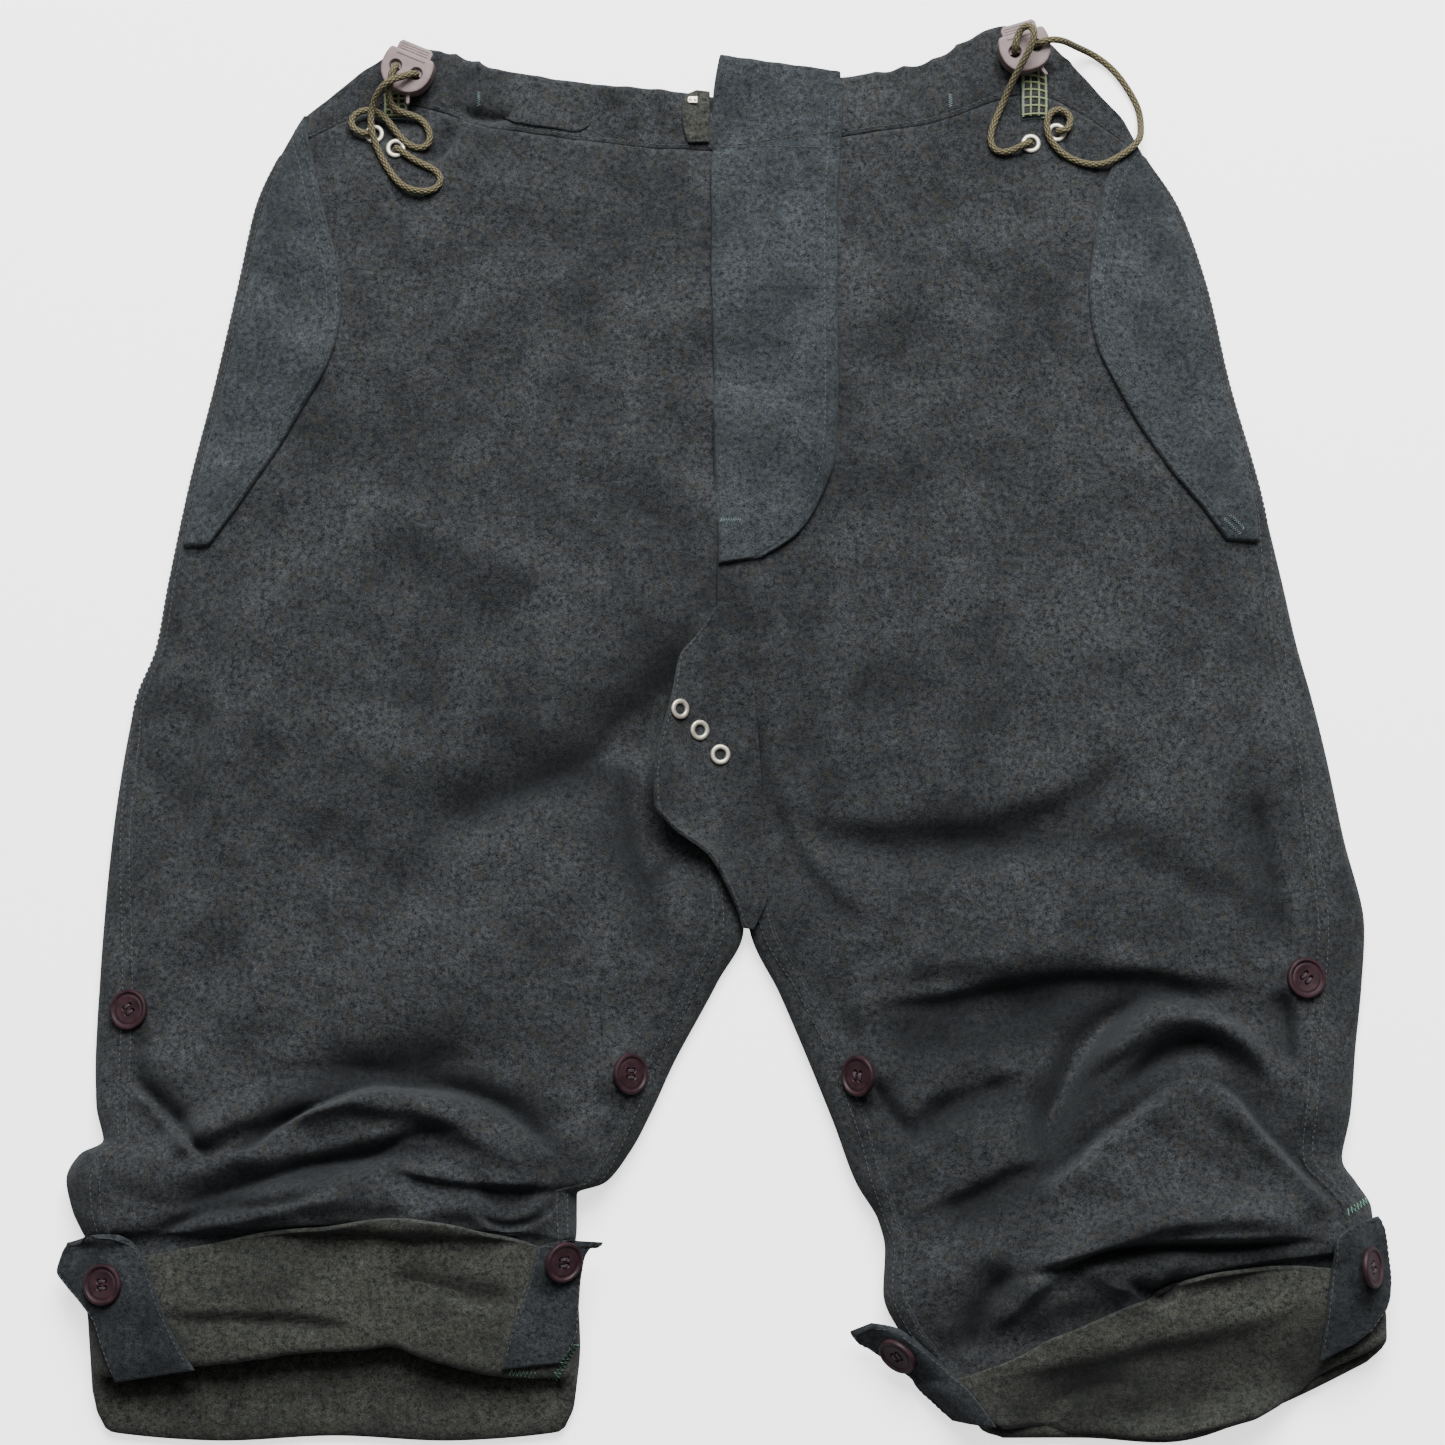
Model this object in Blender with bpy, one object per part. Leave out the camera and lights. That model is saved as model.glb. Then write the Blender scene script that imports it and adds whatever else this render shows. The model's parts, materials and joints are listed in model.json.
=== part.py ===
"""Wool trousers lying flat with the legs rolled up, built from the pieces a maker cuts and sews.

The cloth is one wall, worked out from sections laid across each leg. Sizes in the tables are in
millimetres, with the waist towards +Y, the hems towards -Y and the wearer's right leg at -X.
"""

import math
from collections import namedtuple

import bmesh
import bpy
import numpy as np
from mathutils import Matrix, Vector
from mathutils.bvhtree import BVHTree

MM = 0.001

WALL = 2.0              # fulled wool
BAND_WALL = 2.8         # waistband, two layers pressed
DOUBLE = 3.0            # placket, flaps and tabs, two layers stitched
SEAM_GAP = 0.3          # between neighbouring pieces
LIFT = 0.6              # under a piece that lies on a panel
CUFF_LAYER = 2.2        # turned-up layer, outside to inside
CUFF_INSET = 3.2        # how deep the leg lies inside it
CUFF_TURN = 6.2         # how deep the turn inside lies
SWELL = 35.0            # how far in from an edge the front reaches most of its height
FADE = 14.0             # how far in from an edge the folds begin
PLAN_SHIFT = (-0.17, -3.6)     # puts the middle of the part's box on the origin

Section = namedtuple("Section", "name out_x out_y in_x in_y bow_1 bow_2 bow_3 "
                                "height edge closed inset outseam inseam hem_drop")
Fold = namedtuple("Fold", "name x_1 y_1 x_2 y_2 bend upper lower rise lean")

# A section runs from the outer point to the inner point of a leg and bows towards the waist at a
# quarter, half and three quarters of its width. Edge is the radius of the folded edge, closed is 1
# where a leg is a tube, inset is how deep the leg lies inside its cuff, outseam and inseam are how
# far in from the edges the seams lie, and hem_drop is how far the back lies beyond the front.
RIGHT_ROWS = (
    Section("waist", -213, 305, -2.5, 317, 33, 19, 8, 14, 4.5, 0, 0, 8, 0, 0),
    Section("band_seam", -223, 286, -2.5, 287, 25, 13, 5, 16, 4.5, 0, 0, 8, 0, 0),
    Section("hip_top", -233, 263, -2.5, 256, 12, 6, 2, 19, 4.5, 0, 0, 8, 0, 0),
    Section("hip_1", -242, 219, -2.5, 214, 3, 1, 0, 23, 4.5, 0, 0, 8, 0, 0),
    Section("hip_2", -252, 171, -2.5, 168, 0, 0, 0, 25, 4.5, 0, 0, 8, 0, 0),
    Section("hip_3", -264, 119, -2.5, 120, 0, 0, 0, 26, 4.5, 0, 0, 8, 0, 0),
    Section("hip_4", -273, 71, -2.5, 73, 0, 0, 0, 26, 4.5, 0, 0, 8, 0, 0),
    Section("rise_end", -279, 37, -2.5, 38, 0, 0, 0, 26, 4.5, 0, 0, 9, 0, 0),
    Section("crotch_1", -288, 13, -0.4, 12, 0, 0, 0, 26, 4.5, 0.6, 0, 9, 0, 0),
    Section("crotch_2", -293, -13, 3.1, -18, 0, 0, 0, 26, 4.5, 1, 0, 12, 0, 0),
    Section("thigh_1", -298, -52, 7.1, -60, 0, 0, 0, 25, 4.5, 1, 0, 14, 19, 0),
    Section("thigh_2", -301, -89, 10.4, -100, 0, 0, 0, 25, 4.5, 1, 0, 18, 19, 0),
    Section("thigh_3", -303, -128, -3, -128, 0, 0, 0, 25, 4.5, 1, 0, 22, 18, 0),
    Section("knee_1", -304, -162, -24, -167, 0, 0, 0, 27, 5, 1, 0, 23, 17, 0),
    Section("knee_2", -303, -186, -34, -189, 0, 0, 0, 31, 6, 1, 0, 22, 17, 0),
    Section("bunch_1", -299, -203, -44, -208, 0, 0, 0, 34, 7, 1, 0, 20, 16, 0),
    Section("bunch_2", -310, -210, -57, -224, 0, 0, 0, 37, 8, 1, 0, 24, 14, 0),
    Section("bunch_3", -316, -222, -70, -229, 0, 0, 0, 38, 9, 1, 0, 26, 16, 0),
    Section("bunch_4", -313, -236, -70, -238, 0, 0, 0, 37, 9, 1, 0, 24, 16, 0),
    Section("bunch_5", -309, -247, -69, -248, 0, 0, 0, 34, 9, 1, 1, 22, 16, 0),
    Section("cuff_top", -307, -255, -68, -256, 2, 6, 3, 27, 9, 1, CUFF_INSET, 20, 16, 0),
    Section("cuff_1", -305, -275, -69, -276, 2, 5, 3, 28, 9, 1, CUFF_INSET, 20, 16, 3),
    Section("cuff_2", -303, -296, -68, -296, 4, 7, 4, 28, 9, 1, CUFF_INSET, 20, 16, 10),
    Section("hem", -301, -313, -70, -313, 7, 13, 7, 27, 9, 1, CUFF_INSET, 20, 16, 22),
)
LEFT_ROWS = (
    Section("waist", 202, 306, -2.5, 317, 44, 23, 11, 14, 4.5, 0, 0, 8, 0, 0),
    Section("band_seam", 213, 285, -2.5, 287, 31, 16, 7, 16, 4.5, 0, 0, 8, 0, 0),
    Section("hip_top", 228, 261, -2.5, 256, 14, 7, 3, 19, 4.5, 0, 0, 8, 0, 0),
    Section("hip_1", 242, 219, -2.5, 214, 3, 1, 0, 23, 4.5, 0, 0, 8, 0, 0),
    Section("hip_2", 252, 171, -2.5, 168, 0, 0, 0, 25, 4.5, 0, 0, 8, 0, 0),
    Section("hip_3", 265, 122, -2.5, 120, 0, 0, 0, 26, 4.5, 0, 0, 8, 0, 0),
    Section("hip_4", 276, 73, -2.5, 73, 0, 0, 0, 26, 4.5, 0, 0, 14, 0, 0),
    Section("rise_end", 283, 39, -2.5, 38, 0, 0, 0, 26, 4.5, 0, 0, 17, 0, 0),
    Section("crotch_1", 290, 12, 0.4, 12, 0, 0, 0, 26, 4.5, 0.6, 0, 19, 0, 0),
    Section("crotch_2", 296, -15, 3.9, -18, 0, 0, 0, 27, 4.5, 1, 0, 20, 0, 0),
    Section("thigh_1", 304, -57, 8.1, -60, 0, 0, 0, 27, 4.5, 1, 0, 24, 13, 0),
    Section("thigh_2", 313, -99, 13, -101, 0, 0, 0, 27, 4.5, 1, 0, 29, 15, 0),
    Section("thigh_3", 311, -128, 28, -133, 0, 0, 0, 28, 4.5, 1, 0, 29, 18, 0),
    Section("knee_1", 307, -160, 42, -166, 0, 0, 0, 29, 5, 1, 0, 29, 20, 0),
    Section("knee_2", 304, -189, 54, -196, 0, 0, 0, 31, 6, 1, 0, 29, 20, 0),
    Section("bunch_1", 299, -212, 64, -223, 0, 0, 0, 33, 7, 1, 0, 26, 18, 0),
    Section("bunch_2", 305, -223, 75, -242, 0, 0, 0, 36, 8, 1, 0, 24, 14, 0),
    Section("bunch_3", 312, -235, 78, -256, 0, 0, 0, 38, 9, 1, 0, 22, 16, 0),
    Section("bunch_4", 313, -245, 77, -276, 0, 0, 0, 37, 9, 1, 0, 20, 16, 0),
    Section("bunch_5", 314, -254, 84, -295, 0, 0, 0, 32, 9, 1, 1, 20, 16, 0),
    Section("cuff_top", 314, -261, 99, -313, 7, 7, 0, 25, 9, 1, CUFF_INSET, 20, 16, 0),
    Section("cuff_1", 316, -275, 109, -324, -2, 0, 0, 27, 9, 1, CUFF_INSET, 20, 16, 0),
    Section("cuff_2", 318, -287, 117, -332, -6, -8, -4, 27, 9, 1, CUFF_INSET, 20, 16, 2),
    Section("hem", 318, -297, 124, -338, -12, -19, -9, 26, 9, 1, CUFF_INSET, 20, 16, 5),
)

# A fold's spine bends from point 1 to point 2. Upper and lower are its widths to the left and to
# the right of that way, rise is its height or, below zero, its depth, and lean tips its crest over.
RIGHT_FOLDS = (
    Fold("hip_diagonal", -156, -55, -25, 25, -13, 26, 30, -5, 0),
    Fold("thigh_diagonal", -165, -91, -117, -43, 2, 18, 22, -4, 0),
    Fold("side_hollow", -241, 80, -267, -89, -4, 14, 14, -3.5, 0),
    Fold("knee_swell", -251, -128, -116, -130, 8, 45, 45, 4, 0),
    Fold("above_roll", -247, -206, -81, -171, 23, 20, 13, -9, 0),
    Fold("roll", -289, -227, -72, -230, 48, 14, 16, 11, 3),
    Fold("under_roll", -277, -233, -116, -208, 4, 10, 10, -6, 0),
    Fold("second_roll", -272, -248, -100, -240, 14, 11, 12, 5, 2),
    Fold("side_pinch", -279, -186, -247, -211, -9, 11, 11, -4, 0),
    Fold("inner_pinch", -120, -220, -84, -226, -12, 11, 11, -5, 0),
)
LEFT_FOLDS = (
    Fold("inner_hollow", 41, 61, 33, -42, 4, 16, 14, -4, 0),
    Fold("thigh_line", 24, -51, 207, -17, -28, 16, 22, -8, 0),
    Fold("thigh_side", 196, -60, 251, -91, -5, 16, 16, -5, 0),
    Fold("knee_line", 67, -140, 206, -128, 8, 15, 13, -9, 0),
    Fold("inseam_hollow", 57, -113, 93, -206, -13, 12, 14, -6, 0),
    Fold("inner_line", 91, -201, 137, -171, 4, 11, 12, -7, 0),
    Fold("diagonal", 204, -132, 148, -239, -13, 13, 15, -9, 0),
    Fold("arch", 165, -179, 271, -181, 34, 13, 12, 9, 0),
    Fold("under_arch", 189, -181, 255, -178, 20, 11, 11, -8, 0),
    Fold("face_left", 149, -227, 228, -173, 5, 16, 20, 5, 0),
    Fold("face_right", 228, -173, 299, -240, 2, 14, 16, 7, 0),
    Fold("overhang", 113, -311, 289, -245, 35, 14, 12, 9, 3),
)

# Gathers of the elastic in the waistband: count waves between two places across a leg.
Gather = namedtuple("Gather", "x_1 x_2 count depth")
RIGHT_GATHERS = (Gather(-144, -110, 3, 1.8), Gather(-62, -16, 3, 0.9))
LEFT_GATHERS = (Gather(64, 130, 5, 1.8), Gather(172, 190, 1, 1.2))

# Stations are row numbers with the places between them. The seams fall on the named rows.
WAIST, BAND_SEAM, CUFF_TOP, HEM = 0.0, 1.0, 20.0, 23.0
STATION_GAP = 0.018     # half the gap along the band's lower seam, as a part of its depth
PANEL_STATIONS = (BAND_SEAM + STATION_GAP, 1.6, 2.4, 3.4, 4.5, 5.6, 6.4, 7.2, 8, 8.7, 9.4, 10,
                  10.7, 11.4, 12, 12.7, 13.4, 14, 14.6, 15.1, 15.6, 16.1, 16.6, 17.1, 17.6,
                  18.1, 18.6, 19.1, 19.6, CUFF_TOP, 21.4, HEM - 0.35)
FRONT_COLUMNS = 16
BAND_STATIONS = (WAIST, 0.5, BAND_SEAM - STATION_GAP)
BAND_COLUMNS = 36
BAND_TRIM = 0.5         # half the gap along the slanted side seams of the band

# The placket's rows, each with its place on the left and on the right.
PlacketRow = namedtuple("PlacketRow", "station_1 x_1 station_2 x_2")
PLACKET = (
    PlacketRow(-0.68, -1, -0.05, 59), PlacketRow(0.4, -5.5, 0.5, 60), PlacketRow(1.2, -6, 1.2, 59),
    PlacketRow(2.2, -5.5, 2.2, 57), PlacketRow(3.2, -5, 3.2, 57), PlacketRow(4.2, -4.5, 4.1, 57),
    PlacketRow(5.0, -4, 4.8, 55.5), PlacketRow(5.4, -3, 5.25, 48), PlacketRow(5.75, -2, 5.6, 37),
    PlacketRow(5.95, -2, 5.85, 20),
)

# A flap's free edge at each station, from the waist to its foot.
FlapRow = namedtuple("FlapRow", "station free_x")
RIGHT_FLAP = (
    FlapRow(0.2, -207.5), FlapRow(0.6, -208), FlapRow(1.05, -207), FlapRow(1.6, -204),
    FlapRow(2.2, -200), FlapRow(2.7, -193), FlapRow(3.2, -188), FlapRow(3.7, -191),
    FlapRow(4.3, -206), FlapRow(4.9, -225), FlapRow(5.35, -241), FlapRow(5.65, -252),
)
LEFT_FLAP = (
    FlapRow(0.75, 203), FlapRow(1.05, 201), FlapRow(1.5, 197), FlapRow(2.0, 191),
    FlapRow(2.6, 185), FlapRow(3.1, 181), FlapRow(3.6, 183), FlapRow(4.1, 194),
    FlapRow(4.6, 208), FlapRow(5.0, 221), FlapRow(5.35, 236), FlapRow(5.65, 247),
)

# Patches on the waist: a rounded casing patch and the ground of each stitched lattice.
PatchRow = namedtuple("PatchRow", "name station_1 station_2 x_1 x_2 lift thickness")
CASING = PatchRow("casing_patch", 0.12, 0.88, -111, -66, 0.5, 1.5)
LATTICES = (PatchRow("lattice_patch_right", 0.78, 1.20, -170, -157, 0.7, 1.2),
            PatchRow("lattice_patch_left", 0.62, 1.30, 149, 163, 0.7, 1.2))

# A strip lies over the pieces under it. Each row goes from its left to its right edge, with the
# least heights that it has there.
StripRow = namedtuple("StripRow", "x_1 y_1 z_1 x_2 y_2 z_2")
GUSSET = (
    StripRow(-1, 57, 0, 5, 56, 0), StripRow(-14, 39, 0, 10, 44, 0),
    StripRow(-22, 28, 29, 14, 30, 0), StripRow(-26, 4, 30, 16, 8, 0),
    StripRow(-32, -16, 30, 18, -14, 0), StripRow(-34, -36, 29, 19, -34, 0),
    StripRow(-30, -49, 27, 20, -54, 0), StripRow(-11, -62, 24, 21, -68, 0),
    StripRow(2, -80, 20, 24, -84, 0), StripRow(9, -96, 14, 27, -97, 16),
)
TABS = {
    "tab_right_outer": (
        StripRow(-288, -318, 18, -250, -312, 20), StripRow(-294, -305, 18, -259, -298, 0),
        StripRow(-299, -290, 17, -267, -281, 0), StripRow(-310, -275, 15, -273, -265, 0),
        StripRow(-318, -266, 13, -281, -252, 0), StripRow(-316, -257, 13, -291, -248, 0),
        StripRow(-313, -252, 14, -302, -249, 20)),
    "tab_right_inner": (
        StripRow(-105, -312, 22, -77, -309, 18), StripRow(-101, -296, 0, -69, -294, 15),
        StripRow(-95, -280, 0, -69, -276, 14), StripRow(-90, -264, 0, -67, -262, 18),
        StripRow(-87, -254, 0, -62, -254, 22), StripRow(-74, -251, 26, -57, -252, 24)),
    "tab_left_outer": (
        StripRow(284, -308, 0, 301, -299, 0), StripRow(286, -292, 0, 315, -285, 0),
        StripRow(288, -276, 0, 318, -272, 8), StripRow(290, -262, 0, 317, -258, 10),
        StripRow(291, -251, 0, 315, -246, 14), StripRow(303, -242, 20, 312, -240, 18)),
    "tab_left_inner": (
        StripRow(112, -335, 4, 130, -339, 0), StripRow(98, -323, 4, 119, -324, 0),
        StripRow(84, -312, 5, 106, -311, 0), StripRow(72, -304, 7, 94, -300, 0),
        StripRow(64, -298, 10, 82, -292, 16), StripRow(61, -294, 14, 71, -290, 18)),
}
UNDERLAP = (
    StripRow(-21, 318, 0, -6.8, 318, 0), StripRow(-19, 311, 0, -6.8, 311, 0),
    StripRow(-16, 301, 0, -6.8, 301, 0), StripRow(-12, 291, 0, -6.8, 291, 0),
)

TAB_REACH, TAB_LIFT = 3.5, 0.8      # how far about a point of a tab the cloth is felt for

# Places of the buttons, with the degrees that each leans further than the cloth, and which way.
ButtonPlace = namedtuple("ButtonPlace", "name x y lean towards")
BUTTON_RADIUS, BUTTON_HEIGHT, BUTTON_RIM, BUTTON_HOLE, BUTTON_HOLE_OUT = 10.0, 3.0, 1.9, 1.1, 2.3
BUTTON_SIDES = 12
BUTTONS = (
    ButtonPlace("button_right_outer_leg", -286, -141, 4, 180),
    ButtonPlace("button_right_inner_leg", -45, -172, 22, 0),
    ButtonPlace("button_left_inner_leg", 66, -173, 22, 180),
    ButtonPlace("button_left_outer_leg", 281, -126, 3, 0),
    ButtonPlace("button_right_outer_tab", -294, -272, 8, 180),
    ButtonPlace("button_right_inner_tab", -76, -261, 26, -30),
    ButtonPlace("button_left_inner_tab", 84, -305, 12, 215),
    ButtonPlace("button_left_outer_tab", 307, -264, 40, 10),
)

EyeletPlace = namedtuple("EyeletPlace", "name x y")
EYELET_RADIUS, EYELET_HOLE, EYELET_HEIGHT = 5.0, 2.6, 1.0
EYELETS = (
    EyeletPlace("eyelet_right_1", -174, 296), EyeletPlace("eyelet_right_2", -163, 288),
    EyeletPlace("eyelet_left_1", 154, 291), EyeletPlace("eyelet_left_2", 167, 297),
    EyeletPlace("eyelet_gusset_1", -20.5, 4), EyeletPlace("eyelet_gusset_2", -11, -5.5),
    EyeletPlace("eyelet_gusset_3", -1, -17),
)

# Cord locks: a body with two cord holes and a mouth at its top that takes a sprung plunger.
LockPlace = namedtuple("LockPlace", "name x y z turn tip")
LOCKS = (LockPlace("right", -157.5, 326, 24.0, -23, 4), LockPlace("left", 151, 337, 24.0, 17, 4))
LOCK_HALF_WIDTH, LOCK_TOP, LOCK_FOOT, LOCK_HALF_DEPTH, LOCK_BEVEL = 13.0, 9.0, -11.0, 5.0, 1.2
LOCK_HOLE_OUT, LOCK_HOLE = 5.6, 2.9
MOUTH_HALF_WIDTH, MOUTH_HALF_DEPTH, MOUTH_FLOOR = 9.3, 3.2, -5.0
PLUNGER_PLAY, PLUNGER_TRAVEL, PLUNGER_HEAD = 0.3, 4.0, 5.0
TONGUE = (5.0, 2.4, 7.0)
HOOK_PLACE = (-15, 313)

# Elastic cords, each from its end in a lock's hole to its end in an eyelet.
CORD_DIAMETER = 3.4
CORD_STEP = 5.6
CORD_END_STEPS = (0.0, 1.8, 3.8)
CORDS = {
    "cord_right_upper": (
        (-152.4, 323.6, 26.8), (-153, 323.3, 28.2), (-153.8, 323, 29.4), (-154.8, 322.5, 30.3),
        (-158.8, 320.8, 32.1), (-162.8, 319.1, 34), (-167, 317.2, 33.8), (-170.5, 315, 31.7),
        (-172.4, 312.2, 28.4), (-173.6, 309.6, 24.7), (-175, 306.2, 21.8), (-176.2, 301.8, 21.2),
        (-175.4, 297.3, 22.3), (-174.1, 292.9, 21.7), (-172.8, 288.8, 19.7), (-171.1, 284.6, 18.7),
        (-168.6, 280.5, 19.1), (-166.2, 276.5, 19.5), (-163.7, 272.5, 19.9), (-161.1, 268.6, 20.2),
        (-157.3, 266.1, 20.5), (-152.7, 265.1, 20.7), (-148, 264.3, 20.9), (-143.4, 264.9, 20.8),
        (-139.4, 267.2, 20.7), (-138.4, 271.5, 20.4), (-140.2, 275.7, 20), (-144.1, 278, 19.8),
        (-148.8, 278.6, 19.7), (-153, 280.5, 19.8), (-156.5, 283.5, 20.9), (-159.7, 285.9, 20.4),
        (-160.8, 286.8, 20.1), (-161.9, 287.5, 19.4), (-162.9, 288.2, 18.5)),
    "cord_right_lower": (
        (-162.7, 327.9, 26.8), (-162.9, 327.3, 28.2), (-163.1, 326.4, 29.4), (-163.5, 325.3, 30.3),
        (-164.7, 321, 31.1), (-166, 316.7, 29.3), (-166.9, 312.9, 26.6), (-166.7, 309.9, 22.8),
        (-164.9, 306.9, 19.7), (-160.6, 305.2, 19.3), (-155.8, 305.6, 19.2), (-151.3, 305.1, 18.1),
        (-147.9, 301.9, 17.9), (-146.1, 297.5, 18.3), (-144.5, 293, 18.6), (-145.2, 288.5, 18.9),
        (-149.2, 286.5, 19.1), (-154, 286.8, 19.3), (-157.9, 289.3, 19.9), (-160.7, 293.2, 19.5),
        (-163.3, 297, 18.5), (-166, 301, 18.5), (-168.8, 305, 19), (-172.2, 308.2, 18.6),
        (-176.6, 309, 17.1), (-181.3, 308.9, 16.1), (-185.5, 306.9, 15.8), (-187.4, 302.7, 16),
        (-186.3, 298.2, 16.6), (-182.6, 295.7, 17.8), (-178.2, 295.6, 19.3), (-176.7, 295.7, 19),
        (-175.4, 295.7, 18.3), (-174.2, 295.8, 17.4)),
    "cord_left_inner": (
        (145.7, 335.2, 26.6), (145.7, 335.7, 28.2), (145.8, 336.8, 29.7), (145.9, 338.4, 30.7),
        (146.1, 341.9, 31.2), (147.5, 346.2, 32.1), (151, 348, 34.6), (154.5, 346.2, 37.1),
        (156, 341.7, 38.2), (154.8, 337.2, 37.6), (152.4, 333.2, 35.8), (149.8, 329.2, 33),
        (147, 325, 29.6), (144.6, 320.9, 25.8), (142.2, 316.4, 22), (140, 311.6, 19.2),
        (139.3, 308.8, 18.8), (137.1, 304.7, 18), (134.8, 300.4, 18.3), (133.5, 295.8, 18.6),
        (132.7, 291.1, 18.9), (133.3, 286.5, 19.2), (137.2, 284.3, 19.4), (141.9, 284.7, 19.3),
        (146.1, 287, 19.5), (150.2, 289.4, 20.4), (151.5, 290, 20.1), (152.7, 290.5, 19.4),
        (153.8, 291, 18.5)),
    "cord_left_outer": (
        (156.5, 338.5, 26.6), (157.1, 338.7, 28), (158, 338.9, 29.2), (159.1, 339.2, 30.2),
        (163.5, 340.3, 30.9), (167.5, 341.2, 28.4), (170.5, 341.6, 24.7), (173, 341.9, 20.5),
        (175.3, 342.2, 16.3), (177.8, 342.5, 12.2), (180.4, 342.8, 8.1), (183.4, 343.1, 4.3),
        (187.4, 342.1, 2.2), (191.3, 339.2, 2.1), (195, 336.2, 2.1), (198.7, 333, 2.1),
        (201.4, 329, 2), (203.8, 324.9, 2), (206.3, 320.7, 2), (208.8, 316.5, 2.1),
        (210.9, 312.2, 2.1), (210.9, 307.5, 2.1), (210.4, 303, 3.7), (210, 300, 7.4),
        (209.7, 297.4, 11.5), (209.2, 294, 14.8), (206.9, 290.2, 16.6), (203.2, 287.4, 17.8),
        (199.4, 284.7, 18.8), (195.5, 281.9, 19.5), (191.5, 279.3, 18.8), (187, 278.7, 17.7),
        (182.3, 279.7, 17.9), (177.6, 280.8, 18.2), (172.9, 282.1, 18.5), (169.2, 285, 18.5),
        (165.8, 288.5, 18.4), (162.7, 292.1, 18.7), (161.3, 296.6, 19), (161.1, 301.5, 19),
        (161.8, 306.1, 19.2), (165.1, 309.3, 18.6), (169.5, 309.9, 17.1), (173.6, 307.8, 16.4),
        (175.5, 303.6, 16.6), (174.9, 299.2, 17.8), (171.2, 297.2, 19.4), (169.7, 297.1, 19),
        (168.4, 297.1, 18.4), (167.2, 297, 17.4)),
}


def hermite(first, second, slope_1, slope_2, part):
    """A cubic from the first value to the second, with its slopes at both."""
    squared, cubed = part ** 2, part ** 3
    return (first * (2 * cubed - 3 * squared + 1) + slope_1 * (cubed - 2 * squared + part)
            + second * (3 * squared - 2 * cubed) + slope_2 * (cubed - squared))


def row_slopes(values):
    """Slopes of a smooth curve through equally spaced rows that doesn't swing past them."""
    steps = np.diff(values, axis=0)
    before, after = steps[:-1], steps[1:]
    same_way = before * after > 0
    inner = np.where(same_way, 2 * before * after / np.where(same_way, before + after, 1), 0)
    return np.concatenate([steps[:1], inner, steps[-1:]])


def read_rows(values, station):
    """The columns of a table at stations between its rows, and straight on past its ends."""
    slopes = row_slopes(values)
    last = len(values) - 1
    low = np.clip(np.floor(station), 0, last - 1).astype(int)
    part = np.clip(station - low, 0, 1)[..., None]
    inside = hermite(values[low], values[low + 1], slopes[low], slopes[low + 1], part)
    past = (station - np.clip(station, 0, last))[..., None]
    return inside + past * np.where(past < 0, slopes[0], slopes[-1])


def read_bow(first, second, third, part):
    """How far a section bows at a part of its width, from its three sizes."""
    knots = np.stack([0 * first, first, second, third, 0 * first])
    slopes = np.stack([first, second / 2, (third - first) / 2, -second / 2, -third])
    place = np.clip(part, 0, 1) * 4
    low = np.clip(np.floor(place), 0, 3).astype(int)[None]
    picked = [np.take_along_axis(row, index, 0)[0]
              for row in (knots, slopes) for index in (low, low + 1)]
    return hermite(picked[0], picked[1], picked[2], picked[3], place - low[0])


def ease(value):
    """A smooth step from 0 to 1."""
    value = np.clip(value, 0, 1)
    return value * value * (3 - 2 * value)


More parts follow.
